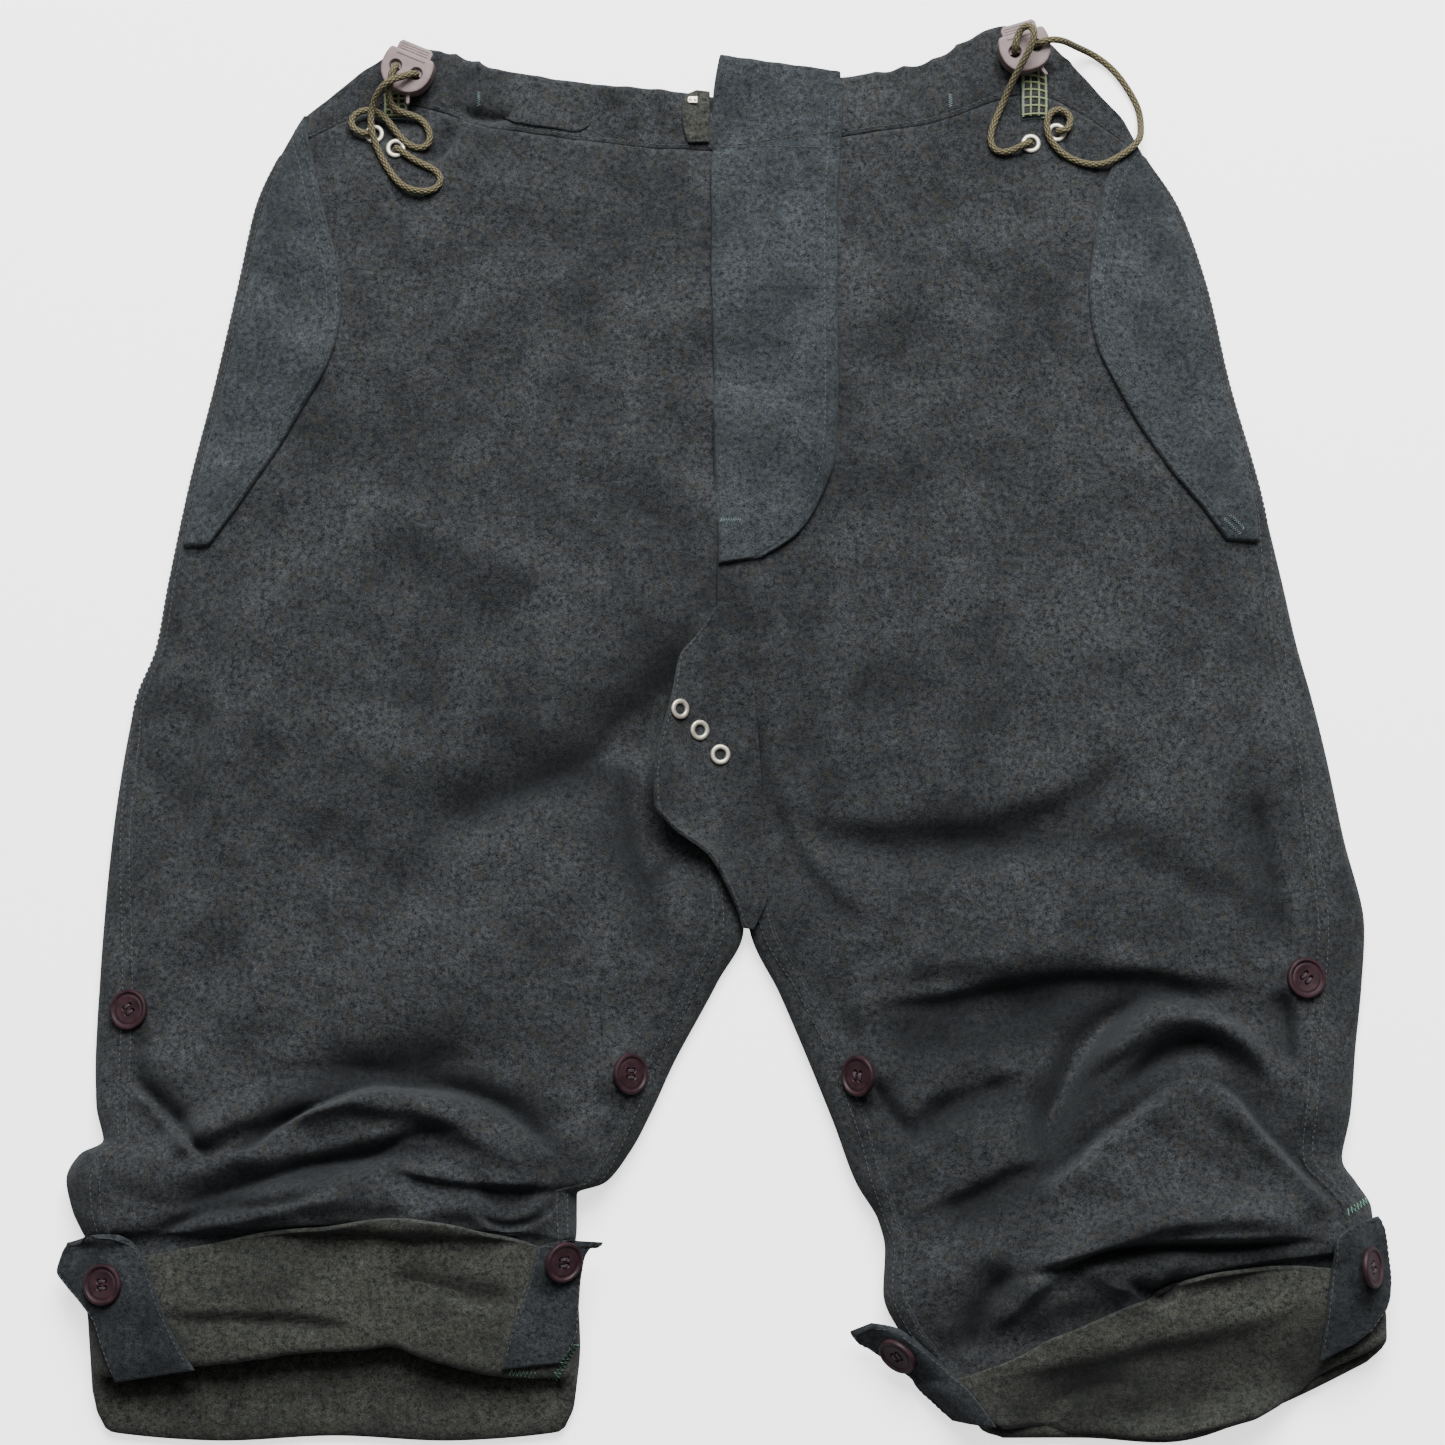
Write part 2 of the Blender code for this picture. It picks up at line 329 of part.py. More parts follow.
class Leg:
    """One half of the trousers: its smooth outer surface and its seam lines."""

    def __init__(self, side, rows, folds, gathers):
        self.side = side
        self.rows = np.array([row[1:] for row in rows], float)
        self.folds = folds
        self.gathers = gathers

    def columns(self, station):
        """The section table's columns at some stations, under their names."""
        values = np.moveaxis(read_rows(self.rows, np.asarray(station, float)), -1, 0)
        return Section("read", *values)

    def arcs(self, section):
        """Width of a section, the arcs of its outer and inner edges, and its length around."""
        width = np.hypot(section.in_x - section.out_x, section.in_y - section.out_y)
        outer_arc = section.edge * math.pi / 2
        inner_arc = section.edge * (1 + section.closed * (math.pi / 2 - 1))
        return width, outer_arc, inner_arc, width - 2 * section.edge + outer_arc + inner_arc

    def fold_shift(self, x, y):
        """How far the folds move a point of the front."""
        shift = np.zeros(x.shape + (3,))
        for fold in self.folds:
            along = np.array((fold.x_2 - fold.x_1, fold.y_2 - fold.y_1), float)
            length = math.hypot(*along)
            along /= length
            across = np.array((-along[1], along[0]))
            part = ((x - fold.x_1) * along[0] + (y - fold.y_1) * along[1]) / length
            away = (x - fold.x_1) * across[0] + (y - fold.y_1) * across[1]
            away = away - 4 * fold.bend * part * (1 - part)
            away = away / np.where(away > 0, fold.upper, fold.lower)
            taper = ease(part / 0.25) * ease((1 - part) / 0.25)
            swell = taper * (0.5 + 0.5 * np.cos(math.pi * np.clip(away, -1, 1)))
            shift[..., 0] -= swell * fold.lean * across[0]
            shift[..., 1] -= swell * fold.lean * across[1]
            shift[..., 2] += swell * fold.rise
        return shift

    def gather_rise(self, station, x):
        """Height of the waistband's gathers, most at the top edge and none at the seam."""
        rise = np.zeros(x.shape)
        for gather in self.gathers:
            part = (x - gather.x_1) / (gather.x_2 - gather.x_1)
            window = ease(part * 4) * ease((1 - part) * 4)
            rise += gather.depth * window * np.cos(2 * math.pi * gather.count * part)
        return rise * ease((BAND_SEAM - station) / 0.5)

    def skin(self, station, around):
        """Points of the outer surface.

        Around is the way along a section from its outer edge: over the front above zero, under
        the back below zero, and past the inner edge onto the front again.
        """
        station, around = np.broadcast_arrays(np.asarray(station, float), around)
        section = self.columns(station)
        width, outer_arc, inner_arc, span = self.arcs(section)
        wrapped = around < -span
        front = (around >= 0) | wrapped
        way = np.where(wrapped, 2 * span + around, np.abs(around))
        left = span - way
        outer_turn = np.clip(way / outer_arc, 0, 1) * math.pi / 2
        inner_part = np.clip(left / inner_arc, 0, 1)
        inner_turn = inner_part * math.pi / 2
        inward = np.where(way < outer_arc, section.edge * (1 - np.cos(outer_turn)),
                          section.edge + way - outer_arc)
        from_inner = section.edge * ((1 - section.closed) * inner_part
                                     + section.closed * (1 - np.cos(inner_turn)))
        inward = np.where(left < inner_arc, width - from_inner - np.minimum(left, 0), inward)
        rounding = np.sin(outer_turn) * (1 - section.closed + section.closed * np.sin(inner_turn))
        swell = ((section.height - 2 * section.edge) * (1 - np.exp(-inward / SWELL))
                 * (1 - section.closed * np.exp(-np.maximum(width - inward, 0) / SWELL)))
        z = section.edge + np.where(front, 1, -1) * section.edge * rounding + front * swell
        part = inward / width
        x = section.out_x + part * (section.in_x - section.out_x)
        y = section.out_y + part * (section.in_y - section.out_y)
        y = y + read_bow(section.bow_1, section.bow_2, section.bow_3, part)
        y = y - section.hem_drop * ease(1 - z / (2 * section.edge))
        fade = ((1 - np.exp(-(inward / FADE) ** 2))
                * (1 - section.closed * np.exp(-((width - inward) / FADE) ** 2)))
        shift = self.fold_shift(x, y) * (fade * front)[..., None]
        shift[..., 2] += self.gather_rise(station, x) * fade * front
        return np.stack([x, y, z], axis=-1) + shift

    def surface(self, station, around, lift=0.0):
        """Points at a lift over the outer surface, measured square to it."""
        station, around = np.broadcast_arrays(np.asarray(station, float), around)
        points = self.skin(station, around)
        span = self.arcs(self.columns(station))[3]
        ahead, behind = station + 0.02, station - 0.02
        down = (self.skin(ahead, around * self.arcs(self.columns(ahead))[3] / span)
                - self.skin(behind, around * self.arcs(self.columns(behind))[3] / span))
        across = self.skin(station, around + 0.3) - points
        normal = self.side * np.cross(down, across)
        normal /= np.linalg.norm(normal, axis=-1, keepdims=True)
        depth = lift - self.columns(station).inset
        return points + normal * np.asarray(depth)[..., None]

    def around_at(self, station, x):
        """The way around to a place on the front, from its x."""
        section = self.columns(station)
        width, outer_arc, inner_arc, span = self.arcs(section)
        part = (x - section.out_x) / (section.in_x - section.out_x)
        return part * width - section.edge + outer_arc

    def front_columns(self, station, count=FRONT_COLUMNS, trim=SEAM_GAP / 2):
        """Ways around of the front panel's columns, from its outseam to its inseam."""
        section = self.columns(station)
        span = self.arcs(section)[3]
        start, end = section.outseam + trim, span - section.inseam - trim
        return start[:, None] + (end - start)[:, None] * np.linspace(0, 1, count + 1)

    def back_columns(self, station, trim=SEAM_GAP / 2):
        """Ways around of the back panel's columns, round both edges to the front's seams."""
        section = self.columns(station)
        width, outer_arc, inner_arc, span = self.arcs(section)
        seam = section.outseam - trim
        low = np.minimum(0.6 * seam, outer_arc)
        outer = [seam, (seam + low) / 2, low, low / 2, 0 * seam, -outer_arc / 2, -outer_arc]
        wrap = np.clip(section.inseam / 12, 0, 1)
        far = section.inseam - trim
        near = np.minimum(0.6 * far, inner_arc)
        closed = [inner_arc, inner_arc / 2, 0 * far, -near / 2, -near, -far]
        opened = [40, 32, 24, 16, 8, trim]
        inner = [-span + (1 - wrap) * flat + wrap * turned for flat, turned in zip(opened, closed)]
        middle = [outer[-1] + part * (inner[0] - outer[-1]) for part in (0.3, 0.65)]
        return np.stack(outer + middle + inner, axis=1)

    def ring_columns(self, station):
        """Ways around of a whole ring: the back's columns and every second one of the front."""
        back = self.back_columns(station, 0)
        front = self.front_columns(station, FRONT_COLUMNS, 0)[:, 2:-1:2]
        return np.concatenate([front, back[:, ::-1]], axis=1)


RIGHT = Leg(1, RIGHT_ROWS, RIGHT_FOLDS, RIGHT_GATHERS)
LEFT = Leg(-1, LEFT_ROWS, LEFT_FOLDS, LEFT_GATHERS)


def material(name, colour, roughness, metallic=0.0):
    """A Principled material."""
    made = bpy.data.materials.new(name)
    made.use_nodes = True
    shader = made.node_tree.nodes["Principled BSDF"]
    shader.inputs["Base Color"].default_value = (*colour, 1)
    shader.inputs["Roughness"].default_value = roughness
    shader.inputs["Metallic"].default_value = metallic
    return made


def add_object(name, points, faces, finish):
    """An object from points in millimetres, with its faces turned outwards."""
    points = np.asarray(points, float)
    volume = 0.0
    for face in faces:
        for second, third in zip(face[1:-1], face[2:]):
            volume += np.dot(points[face[0]], np.cross(points[second], points[third]))
    if volume < 0:
        faces = [face[::-1] for face in faces]
    shift = np.array((*PLAN_SHIFT, 0.0))
    mesh = bpy.data.meshes.new(name)
    mesh.from_pydata(((points + shift) * MM).tolist(), [], [list(face) for face in faces])
    mesh.materials.append(finish)
    mesh.shade_smooth()
    mesh.set_sharp_from_angle(angle=math.radians(40))
    made = bpy.data.objects.new(name, mesh)
    bpy.context.scene.collection.objects.link(made)
    return made


def sheet_solid(name, outer, inner, finish):
    """A closed wall between two grids of points."""
    rows, columns = outer.shape[:2]
    count = rows * columns
    points = np.concatenate([outer.reshape(-1, 3), inner.reshape(-1, 3)])
    at = np.arange(count).reshape(rows, columns)
    faces = []
    for row in range(rows - 1):
        for column in range(columns - 1):
            a, b = at[row, column], at[row, column + 1]
            c, d = at[row + 1, column + 1], at[row + 1, column]
            faces += [(a, b, c), (a, c, d), (a + count, c + count, b + count),
                      (a + count, d + count, c + count)]
    rim = [*at[0, :], *at[1:, -1], *at[-1, -2::-1], *at[-2:0:-1, 0]]
    for a, b in zip(rim, rim[1:] + rim[:1]):
        faces += [(b, a, a + count), (b, a + count, b + count)]
    return add_object(name, points, faces, finish)


def ring_solid(name, loops, finish):
    """A closed ring from loops of points, the last joined to the first."""
    rows, columns = loops.shape[:2]
    at = np.arange(rows * columns).reshape(rows, columns)
    faces = []
    for row in range(rows):
        for column in range(columns):
            a, b = at[row, column], at[row, (column + 1) % columns]
            c, d = at[(row + 1) % rows, (column + 1) % columns], at[(row + 1) % rows, column]
            faces += [(a, b, c), (a, c, d)]
    return add_object(name, loops.reshape(-1, 3), faces, finish)


def wall(name, leg, stations, around, thickness, finish, lift=0.0):
    """A piece of cloth on a leg's surface, a row of columns at each station."""
    place = np.asarray(stations, float)
    place = place[:, None] if place.ndim == 1 else place
    outer = leg.surface(place, around, lift + (thickness if lift else 0))
    inner = leg.surface(place, around, lift if lift else -thickness)
    return sheet_solid(name, outer, inner, finish)


def spread(rows, count):
    """A table's rows as smooth columns, at evenly spaced places through it."""
    values = np.array([list(row) for row in rows], float)
    places = np.linspace(0, len(rows) - 1, count)
    return np.moveaxis(read_rows(values, places), -1, 0)


def between(first, second, count):
    """Values from a first to a second column, row by row."""
    return first[:, None] + (second - first)[:, None] * np.linspace(0, 1, count)


def support():
    """Everything built so far, in the tables' millimetres, to lay other pieces on."""
    points, faces = [], []
    shift = Vector((*PLAN_SHIFT, 0))
    for made in bpy.context.scene.objects:
        if made.type == "MESH":
            start = len(points)
            points += [(made.matrix_basis @ vertex.co) / MM - shift
                       for vertex in made.data.vertices]
            faces += [[start + index for index in face.vertices] for face in made.data.polygons]
    return BVHTree.FromPolygons(points, faces)


def top_height(tree, x, y, reach, ways=8):
    """The greatest height within reach of a place, or None where nothing lies."""
    heights = []
    for ring in (0.0, 0.5, 1.0):
        for way in range(ways if ring else 1):
            turn = 2 * math.pi * way / ways
            start = Vector((x + ring * reach * math.cos(turn), y + ring * reach * math.sin(turn), 200))
            hit = tree.ray_cast(start, Vector((0, 0, -1)))[0]
            if hit is not None:
                heights.append(hit.z)
    return max(heights) if heights else None


def grid_normals(points):
    """Upward normals of a grid of points."""
    down, across = np.gradient(points, axis=0), np.gradient(points, axis=1)
    normal = np.cross(down, across)
    normal /= np.linalg.norm(normal, axis=-1, keepdims=True)
    return normal * np.where(normal[..., 2:] < 0, -1, 1)


def strip(name, rows, finish, thickness, rows_wanted, columns_wanted, reach, lift=LIFT):
    """A piece that lies over what is under it, from its left edge to its right."""
    x_1, y_1, z_1, x_2, y_2, z_2 = spread(rows, rows_wanted)
    x, y, z = (between(first, second, columns_wanted)
               for first, second in ((x_1, x_2), (y_1, y_2), (z_1, z_2)))
    tree = support()
    for place in np.ndindex(x.shape):
        height = top_height(tree, x[place], y[place], reach)
        if height is not None:
            z[place] = max(z[place], height + lift)
    for smoothing in range(2):
        padded = np.pad(z, 1, mode="edge")
        around = (padded[:-2, 1:-1] + padded[2:, 1:-1] + padded[1:-1, :-2] + padded[1:-1, 2:]) / 4
        z = np.maximum(z, around)
    lower = np.stack([x, y, z], axis=-1)
    nearest = min(tree.find_nearest(Vector(point))[3] for point in lower.reshape(-1, 3))
    lower[..., 2] -= max(nearest - lift, 0)
    return sheet_solid(name, lower + grid_normals(lower) * thickness, lower, finish)


def seat(tree, x, y, radius, lean=0.0, towards=0.0, clearance=0.35):
    """A place and turn for a round piece that lies on the cloth, just clear of it."""
    spots = [(x + radius * 0.7 * math.cos(turn), y + radius * 0.7 * math.sin(turn))
             for turn in np.linspace(0, 2 * math.pi, 8, endpoint=False)]
    points = [(a, b, top_height(tree, a, b, 0.5)) for a, b in spots]
    points = np.array([point for point in points if point[2] is not None])
    centre = points.mean(axis=0)
    normal = Vector(np.linalg.svd(points - centre)[2][2])
    if normal.z < 0:
        normal.negate()
    turn = normal.to_track_quat("Z", "Y")
    if lean:
        way = math.radians(towards)
        axis = Vector((-math.sin(way), math.cos(way), 0))
        turn = Matrix.Rotation(math.radians(lean), 3, axis).to_quaternion() @ turn
    place = Vector((x, y, float(centre[2])))
    short = -100.0
    for ring in (0.0, 0.35, 0.7, 1.0):
        for way in np.linspace(0, 2 * math.pi, 20, endpoint=False):
            local = Vector((ring * radius * math.cos(way), ring * radius * math.sin(way), 0))
            point = place + turn @ local
            height = top_height(tree, point.x, point.y, 0.6, 6)
            if height is not None:
                short = max(short, height + clearance - point.z)
    place.z += short
    return place, turn


def place_at(made, place, turn):
    """Put an object at a place in millimetres, turned."""
    shift = Vector((*PLAN_SHIFT, 0))
    made.rotation_mode = "QUATERNION"
    made.rotation_quaternion = turn
    made.location = (place + shift) * MM
    return made


def from_bmesh(name, form, finish):
    """An object of a bmesh that is modelled in millimetres."""
    bmesh.ops.recalc_face_normals(form, faces=form.faces)
    bmesh.ops.scale(form, vec=(MM, MM, MM), verts=form.verts)
    mesh = bpy.data.meshes.new(name)
    form.to_mesh(mesh)
    form.free()
    mesh.materials.append(finish)
    mesh.shade_smooth()
    mesh.set_sharp_from_angle(angle=math.radians(35))
    made = bpy.data.objects.new(name, mesh)
    bpy.context.scene.collection.objects.link(made)
    return made


def prism(outline, low, high):
    """A bmesh of an outline pushed up from a low to a high level."""
    form = bmesh.new()
    base = form.faces.new([form.verts.new((x, y, low)) for x, y in outline])
    raised = bmesh.ops.extrude_face_region(form, geom=[base])["geom"]
    corners = [item for item in raised if isinstance(item, bmesh.types.BMVert)]
    bmesh.ops.translate(form, vec=(0, 0, high - low), verts=corners)
    return form


def circle(x, y, radius, count, start=0.0):
    """Points round a circle."""
    turns = [start + 2 * math.pi * number / count for number in range(count)]
    return [(x + radius * math.cos(turn), y + radius * math.sin(turn)) for turn in turns]


def carve(made, forms, finish, operation="DIFFERENCE"):
    """Cut forms from an object, or join them to it, and keep the result as its mesh."""
    for number, form in enumerate(forms):
        cutter = from_bmesh(f"cutter_{number}", form, finish)
        cutter.hide_render = True
        cutter.display_type = "WIRE"
        modifier = made.modifiers.new("carve", "BOOLEAN")
        modifier.object = cutter
        modifier.operation = operation
        bpy.context.view_layer.update()
        carved = bpy.data.meshes.new_from_object(
            made.evaluated_get(bpy.context.evaluated_depsgraph_get()))
        made.modifiers.clear()
        made.data = carved
        bpy.data.objects.remove(cutter)
    return made


def make_panels(finish):
    """The front and back panels of both legs."""
    stations = np.array(PANEL_STATIONS, float)
    for word, leg in (("right", RIGHT), ("left", LEFT)):
        wall(f"front_{word}", leg, stations, leg.front_columns(stations), WALL, finish)
        wall(f"back_{word}", leg, stations, leg.back_columns(stations), WALL, finish)


def make_waistband(finish):
    """The waistband over both fronts and both backs."""
    stations = np.array(BAND_STATIONS, float)
    for word, leg in (("right", RIGHT), ("left", LEFT)):
        front = leg.front_columns(stations, BAND_COLUMNS, BAND_TRIM)
        wall(f"waistband_front_{word}", leg, stations, front, BAND_WALL, finish)
        back = leg.back_columns(stations[[0, -1]], BAND_TRIM)
        wall(f"waistband_back_{word}", leg, stations[[0, -1]], back, BAND_WALL, finish)


def make_placket(finish):
    """The fly placket, which lies on the left front and stands above the waist."""
    station_1, x_1, station_2, x_2 = spread(PLACKET, 12)
    station, x = between(station_1, station_2, 6), between(x_1, x_2, 6)
    wall("fly_placket", LEFT, station, LEFT.around_at(station, x), DOUBLE, finish, LIFT)


def make_flap(name, leg, rows, finish):
    """A long curved pocket flap, sewn into the outseam."""
    station, free_x = spread(rows, 12)
    start = leg.columns(station).outseam + SEAM_GAP / 2
    around = between(start, leg.around_at(station, free_x), 5)
    wall(name, leg, station, around, DOUBLE, finish, LIFT)


def make_patch(leg, patch, finish):
    """A patch with round ends on the waist."""
    rounding = np.sqrt(1 - np.array([0.85, 0.5, 0, 0, 0, 0, 0.5, 0.85]) ** 2)
    x = patch.x_1 + (patch.x_2 - patch.x_1) * np.array([0, 0.06, 0.2, 0.4, 0.6, 0.8, 0.94, 1])
    middle, half = (patch.station_1 + patch.station_2) / 2, (patch.station_2 - patch.station_1) / 2
    station = middle + half * rounding * np.linspace(-1, 1, 4)[:, None]
    x = np.broadcast_to(x, station.shape)
    wall(patch.name, leg, station, leg.around_at(station, x), patch.thickness, finish, patch.lift)


def make_cuff(name, leg, finish):
    """A turned-up cuff: its outer layer, the fold at the hem and the turn inside."""
    last, end = 23.03, 23.2
    inner = CUFF_TURN + WALL
    profile = ((20.2, 0), (20.7, 0), (21.4, 0), (22.7, 0), (23.08, 1), (end, inner / 2),
               (23.08, inner - 1), (22.7, inner), (22.3, inner), (22.3, CUFF_TURN),
               (last - 0.04, CUFF_TURN), (last, inner / 2), (last - 0.04, CUFF_LAYER),
               (21.4, CUFF_LAYER), (20.7, CUFF_LAYER), (20.2, CUFF_LAYER))
    loops = []
    for station, depth in profile:
        row = np.array([station])
        lift = leg.columns(row).inset[:, None] - depth
        loops.append(leg.surface(row[:, None], leg.ring_columns(row), lift)[0])
    ring_solid(name, np.stack(loops), finish)


def make_button(finish):
    """The mesh of one button: a rim round a sunk middle with four holes."""
    form = bmesh.new()
    profile = ((BUTTON_RADIUS, 0), (BUTTON_RADIUS, BUTTON_HEIGHT - 0.4),
               (BUTTON_RADIUS - BUTTON_RIM, BUTTON_HEIGHT),
               (BUTTON_RADIUS - BUTTON_RIM - 0.8, BUTTON_HEIGHT - 0.9))
    rings = [[form.verts.new((x, y, height)) for x, y in circle(0, 0, radius, BUTTON_SIDES)]
             for radius, height in profile]
    for low, high in zip(rings, rings[1:]):
        for number in range(BUTTON_SIDES):
            after = (number + 1) % BUTTON_SIDES
            form.faces.new((low[number], low[after], high[after], high[number]))
    form.faces.new(rings[0][::-1])
    form.faces.new(rings[-1])
    made = from_bmesh("button", form, finish)
    out = BUTTON_HOLE_OUT / math.sqrt(2)
    holes = [prism(circle(x, y, BUTTON_HOLE, 4), -1, BUTTON_HEIGHT + 1)
             for x in (-out, out) for y in (-out, out)]
    carve(made, holes, finish)
    mesh = made.data
    bpy.data.objects.remove(made)
    return mesh


def make_buttons(finish):
    """The eight buttons, on the cloth and the tabs."""
    mesh = make_button(finish)
    tree = support()
    for spot in BUTTONS:
        made = bpy.data.objects.new(spot.name, mesh)
        bpy.context.scene.collection.objects.link(made)
        place_at(made, *seat(tree, spot.x, spot.y, BUTTON_RADIUS, spot.lean, spot.towards))


def make_eyelets(finish):
    """Pressed metal eyelets."""
    profile = ((EYELET_HOLE, 0), (EYELET_RADIUS, 0), (EYELET_RADIUS - 0.6, EYELET_HEIGHT * 0.8),
               (EYELET_HOLE + 0.6, EYELET_HEIGHT))
    tree = support()
    for spot in EYELETS:
        loops = np.array([[(x, y, height) for x, y in circle(0, 0, radius, 12)]
                          for radius, height in profile])
        place, turn = seat(tree, spot.x, spot.y, EYELET_RADIUS, clearance=0.3)
        around = np.array(turn.to_matrix())
        ring_solid(spot.name, loops @ around.T + np.array(place), finish)


def lock_frame(tree, spot):
    """Place and turn of a cord lock lying on the waistband."""
    turn = Matrix.Rotation(math.radians(spot.turn), 3, "Z") @ Matrix.Rotation(
        math.radians(spot.tip), 3, "X")
    place = Vector((spot.x, spot.y, 0))
    short = 0.0
    for x in np.linspace(-LOCK_HALF_WIDTH, LOCK_HALF_WIDTH, 9):
        for y in np.linspace(LOCK_FOOT, LOCK_TOP + PLUNGER_HEAD, 9):
            point = place + turn @ Vector((x, y, -LOCK_HALF_DEPTH))
            height = top_height(tree, point.x, point.y, 1.5)
            if height is not None:
                short = max(short, height + 0.4 - point.z)
    place.z = short
    return place, turn.to_quaternion()


def make_locks(finish):
    """Cord locks and their plungers, with the origins on the plungers' slides."""
    half = [(0, LOCK_FOOT), (7, -9.6), (11.5, -5), (LOCK_HALF_WIDTH, 0), (12.8, 5), (11.3, LOCK_TOP)]
    outline = half + [(-x, y) for x, y in half[:0:-1]]
    tree = support()
    for spot in LOCKS:
        place, turn = lock_frame(tree, spot)
        form = prism(outline, -LOCK_HALF_DEPTH, LOCK_HALF_DEPTH)
        rims = [edge for edge in form.edges
                if abs(edge.verts[0].co.z - edge.verts[1].co.z) < 0.1]
        bmesh.ops.bevel(form, geom=rims, offset=LOCK_BEVEL, segments=1, affect="EDGES")
        body = from_bmesh(f"cord_lock_{spot.name}", form, finish)
        mouth = prism([(-MOUTH_HALF_WIDTH, MOUTH_FLOOR), (MOUTH_HALF_WIDTH, MOUTH_FLOOR),
                       (MOUTH_HALF_WIDTH, LOCK_TOP + 5), (-MOUTH_HALF_WIDTH, LOCK_TOP + 5)],
                      -MOUTH_HALF_DEPTH, MOUTH_HALF_DEPTH)
        holes = [prism(circle(x, 0, LOCK_HOLE, 10), -9, 9) for x in (-LOCK_HOLE_OUT, LOCK_HOLE_OUT)]
        carve(body, [mouth, *holes], finish)
        middle, width, length = TONGUE
        tongue = prism([(middle - width / 2, LOCK_FOOT + 3), (middle + width / 2, LOCK_FOOT + 3),
                        (middle + width, LOCK_FOOT + 3 - length),
                        (middle + width / 3, LOCK_FOOT + 3 - length)], -1.2, 1.4)
        carve(body, [tongue], finish, "UNION")
        place_at(body, place, turn)
        side, depth = MOUTH_HALF_WIDTH - PLUNGER_PLAY, MOUTH_HALF_DEPTH - PLUNGER_PLAY
        foot, head = MOUTH_FLOOR + PLUNGER_PLAY + PLUNGER_TRAVEL, LOCK_TOP + PLUNGER_HEAD
        form = prism([(-side, foot), (side, foot), (side, head - 1.5), (side - 1.5, head),
                      (1.5 - side, head), (-side, head - 1.5)], -depth, depth)
        plunger = from_bmesh(f"lock_plunger_{spot.name}", form, finish)
        place_at(plunger, place, turn)


def cord_path(points):
    """A smooth curve through a cord's points, read at even steps and closer by its ends."""
    knots = np.array(points, float)
    reach = np.concatenate([[0], np.cumsum(np.linalg.norm(np.diff(knots, axis=0), axis=1))])
    slopes = np.gradient(knots, reach, axis=0)
    fine = [knots[:1]]
    for number, step in enumerate(np.diff(reach)):
        part = np.linspace(0, 1, 9)[1:, None]
        fine.append(hermite(knots[number], knots[number + 1], slopes[number] * step,
                            slopes[number + 1] * step, part))
    fine = np.concatenate(fine)
    length = np.concatenate([[0], np.cumsum(np.linalg.norm(np.diff(fine, axis=0), axis=1))])
    total, near = length[-1], np.array(CORD_END_STEPS)
    middle = np.linspace(near[-1], total - near[-1], round((total - 2 * near[-1]) / CORD_STEP) + 1)
    places = np.concatenate([near[:-1], middle, total - near[-2::-1]])
    return np.stack([np.interp(places, length, fine[:, axis]) for axis in range(3)], axis=1)


def make_cords(finish):
    """The elastic cords of both adjusters."""
    for name, points in CORDS.items():
        path = (cord_path(points) + (*PLAN_SHIFT, 0.0)) * MM
        curve = bpy.data.curves.new(name, "CURVE")
        curve.dimensions = "3D"
        curve.bevel_depth = CORD_DIAMETER / 2 * MM
        curve.bevel_resolution = 2
        curve.use_fill_caps = True
        spline = curve.splines.new("POLY")
        spline.points.add(len(path) - 1)
        for point, place in zip(spline.points, path):
            point.co = (*place, 1)
        curve.materials.append(finish)
        bpy.context.scene.collection.objects.link(bpy.data.objects.new(name, curve))


def make_hook(finish):
    """The small hook plate on the corner of the fly's underlap."""
    tree = support()
    place, turn = seat(tree, *HOOK_PLACE, 2.5, clearance=0.3)
    form = prism([(-2.4, -1.7), (1.6, -1.7), (2.4, -0.9), (2.4, 0.9), (1.6, 1.7), (-2.4, 1.7)], 0, 0.9)
    place_at(from_bmesh("fly_hook", form, finish), place, turn)


def main():
    """Build every piece."""
    for old in list(bpy.data.objects):
        bpy.data.objects.remove(old)
    wool = material("wool", (0.060, 0.066, 0.066), 0.95)
    facing = material("facing_wool", (0.062, 0.078, 0.084), 0.92)
    reverse = material("reverse_wool", (0.068, 0.068, 0.050), 0.95)
    horn = material("button_plum", (0.060, 0.026, 0.032), 0.4)
    nickel = material("eyelet_nickel", (0.78, 0.74, 0.66), 0.3, 1.0)
    pink = material("lock_pink", (0.42, 0.33, 0.33), 0.45)
    thread = material("lattice_thread", (0.30, 0.42, 0.22), 0.8)
    cord = material("cord_khaki", (0.30, 0.27, 0.16), 0.75)
    make_panels(wool)
    make_waistband(wool)
    strip("fly_underlap", UNDERLAP, reverse, 1.5, 6, 3, 1.5)
    make_placket(facing)
    make_flap("pocket_flap_right", RIGHT, RIGHT_FLAP, facing)
    make_flap("pocket_flap_left", LEFT, LEFT_FLAP, facing)
    make_patch(RIGHT, CASING, facing)
    for leg, patch in zip((RIGHT, LEFT), LATTICES):
        make_patch(leg, patch, thread)
    make_cuff("cuff_right", RIGHT, reverse)
    make_cuff("cuff_left", LEFT, reverse)
    strip("gusset", GUSSET, wool, WALL, 12, 6, 7.0)
    for name, rows in TABS.items():
        strip(name, rows, facing, DOUBLE, 10, 5, TAB_REACH, TAB_LIFT)
    make_buttons(horn)
    make_eyelets(nickel)
    make_hook(nickel)
    make_locks(pink)
    make_cords(cord)


main()
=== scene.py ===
"""Looks of the wool trousers: fine cloth, trims, stitching, cords, floor, light and camera.

The cloth repeats the part's sections and folds at a finer spacing. Tables are in millimetres, with
the waist towards +Y, the hems towards -Y and the wearer's right leg at -X.
"""

from __future__ import annotations

import json
import logging
import math
from dataclasses import dataclass
from enum import Enum
from typing import NamedTuple, Sequence

import bmesh
import bpy
import numpy as np
from mathutils import Matrix, Quaternion, Vector
from mathutils.bvhtree import BVHTree

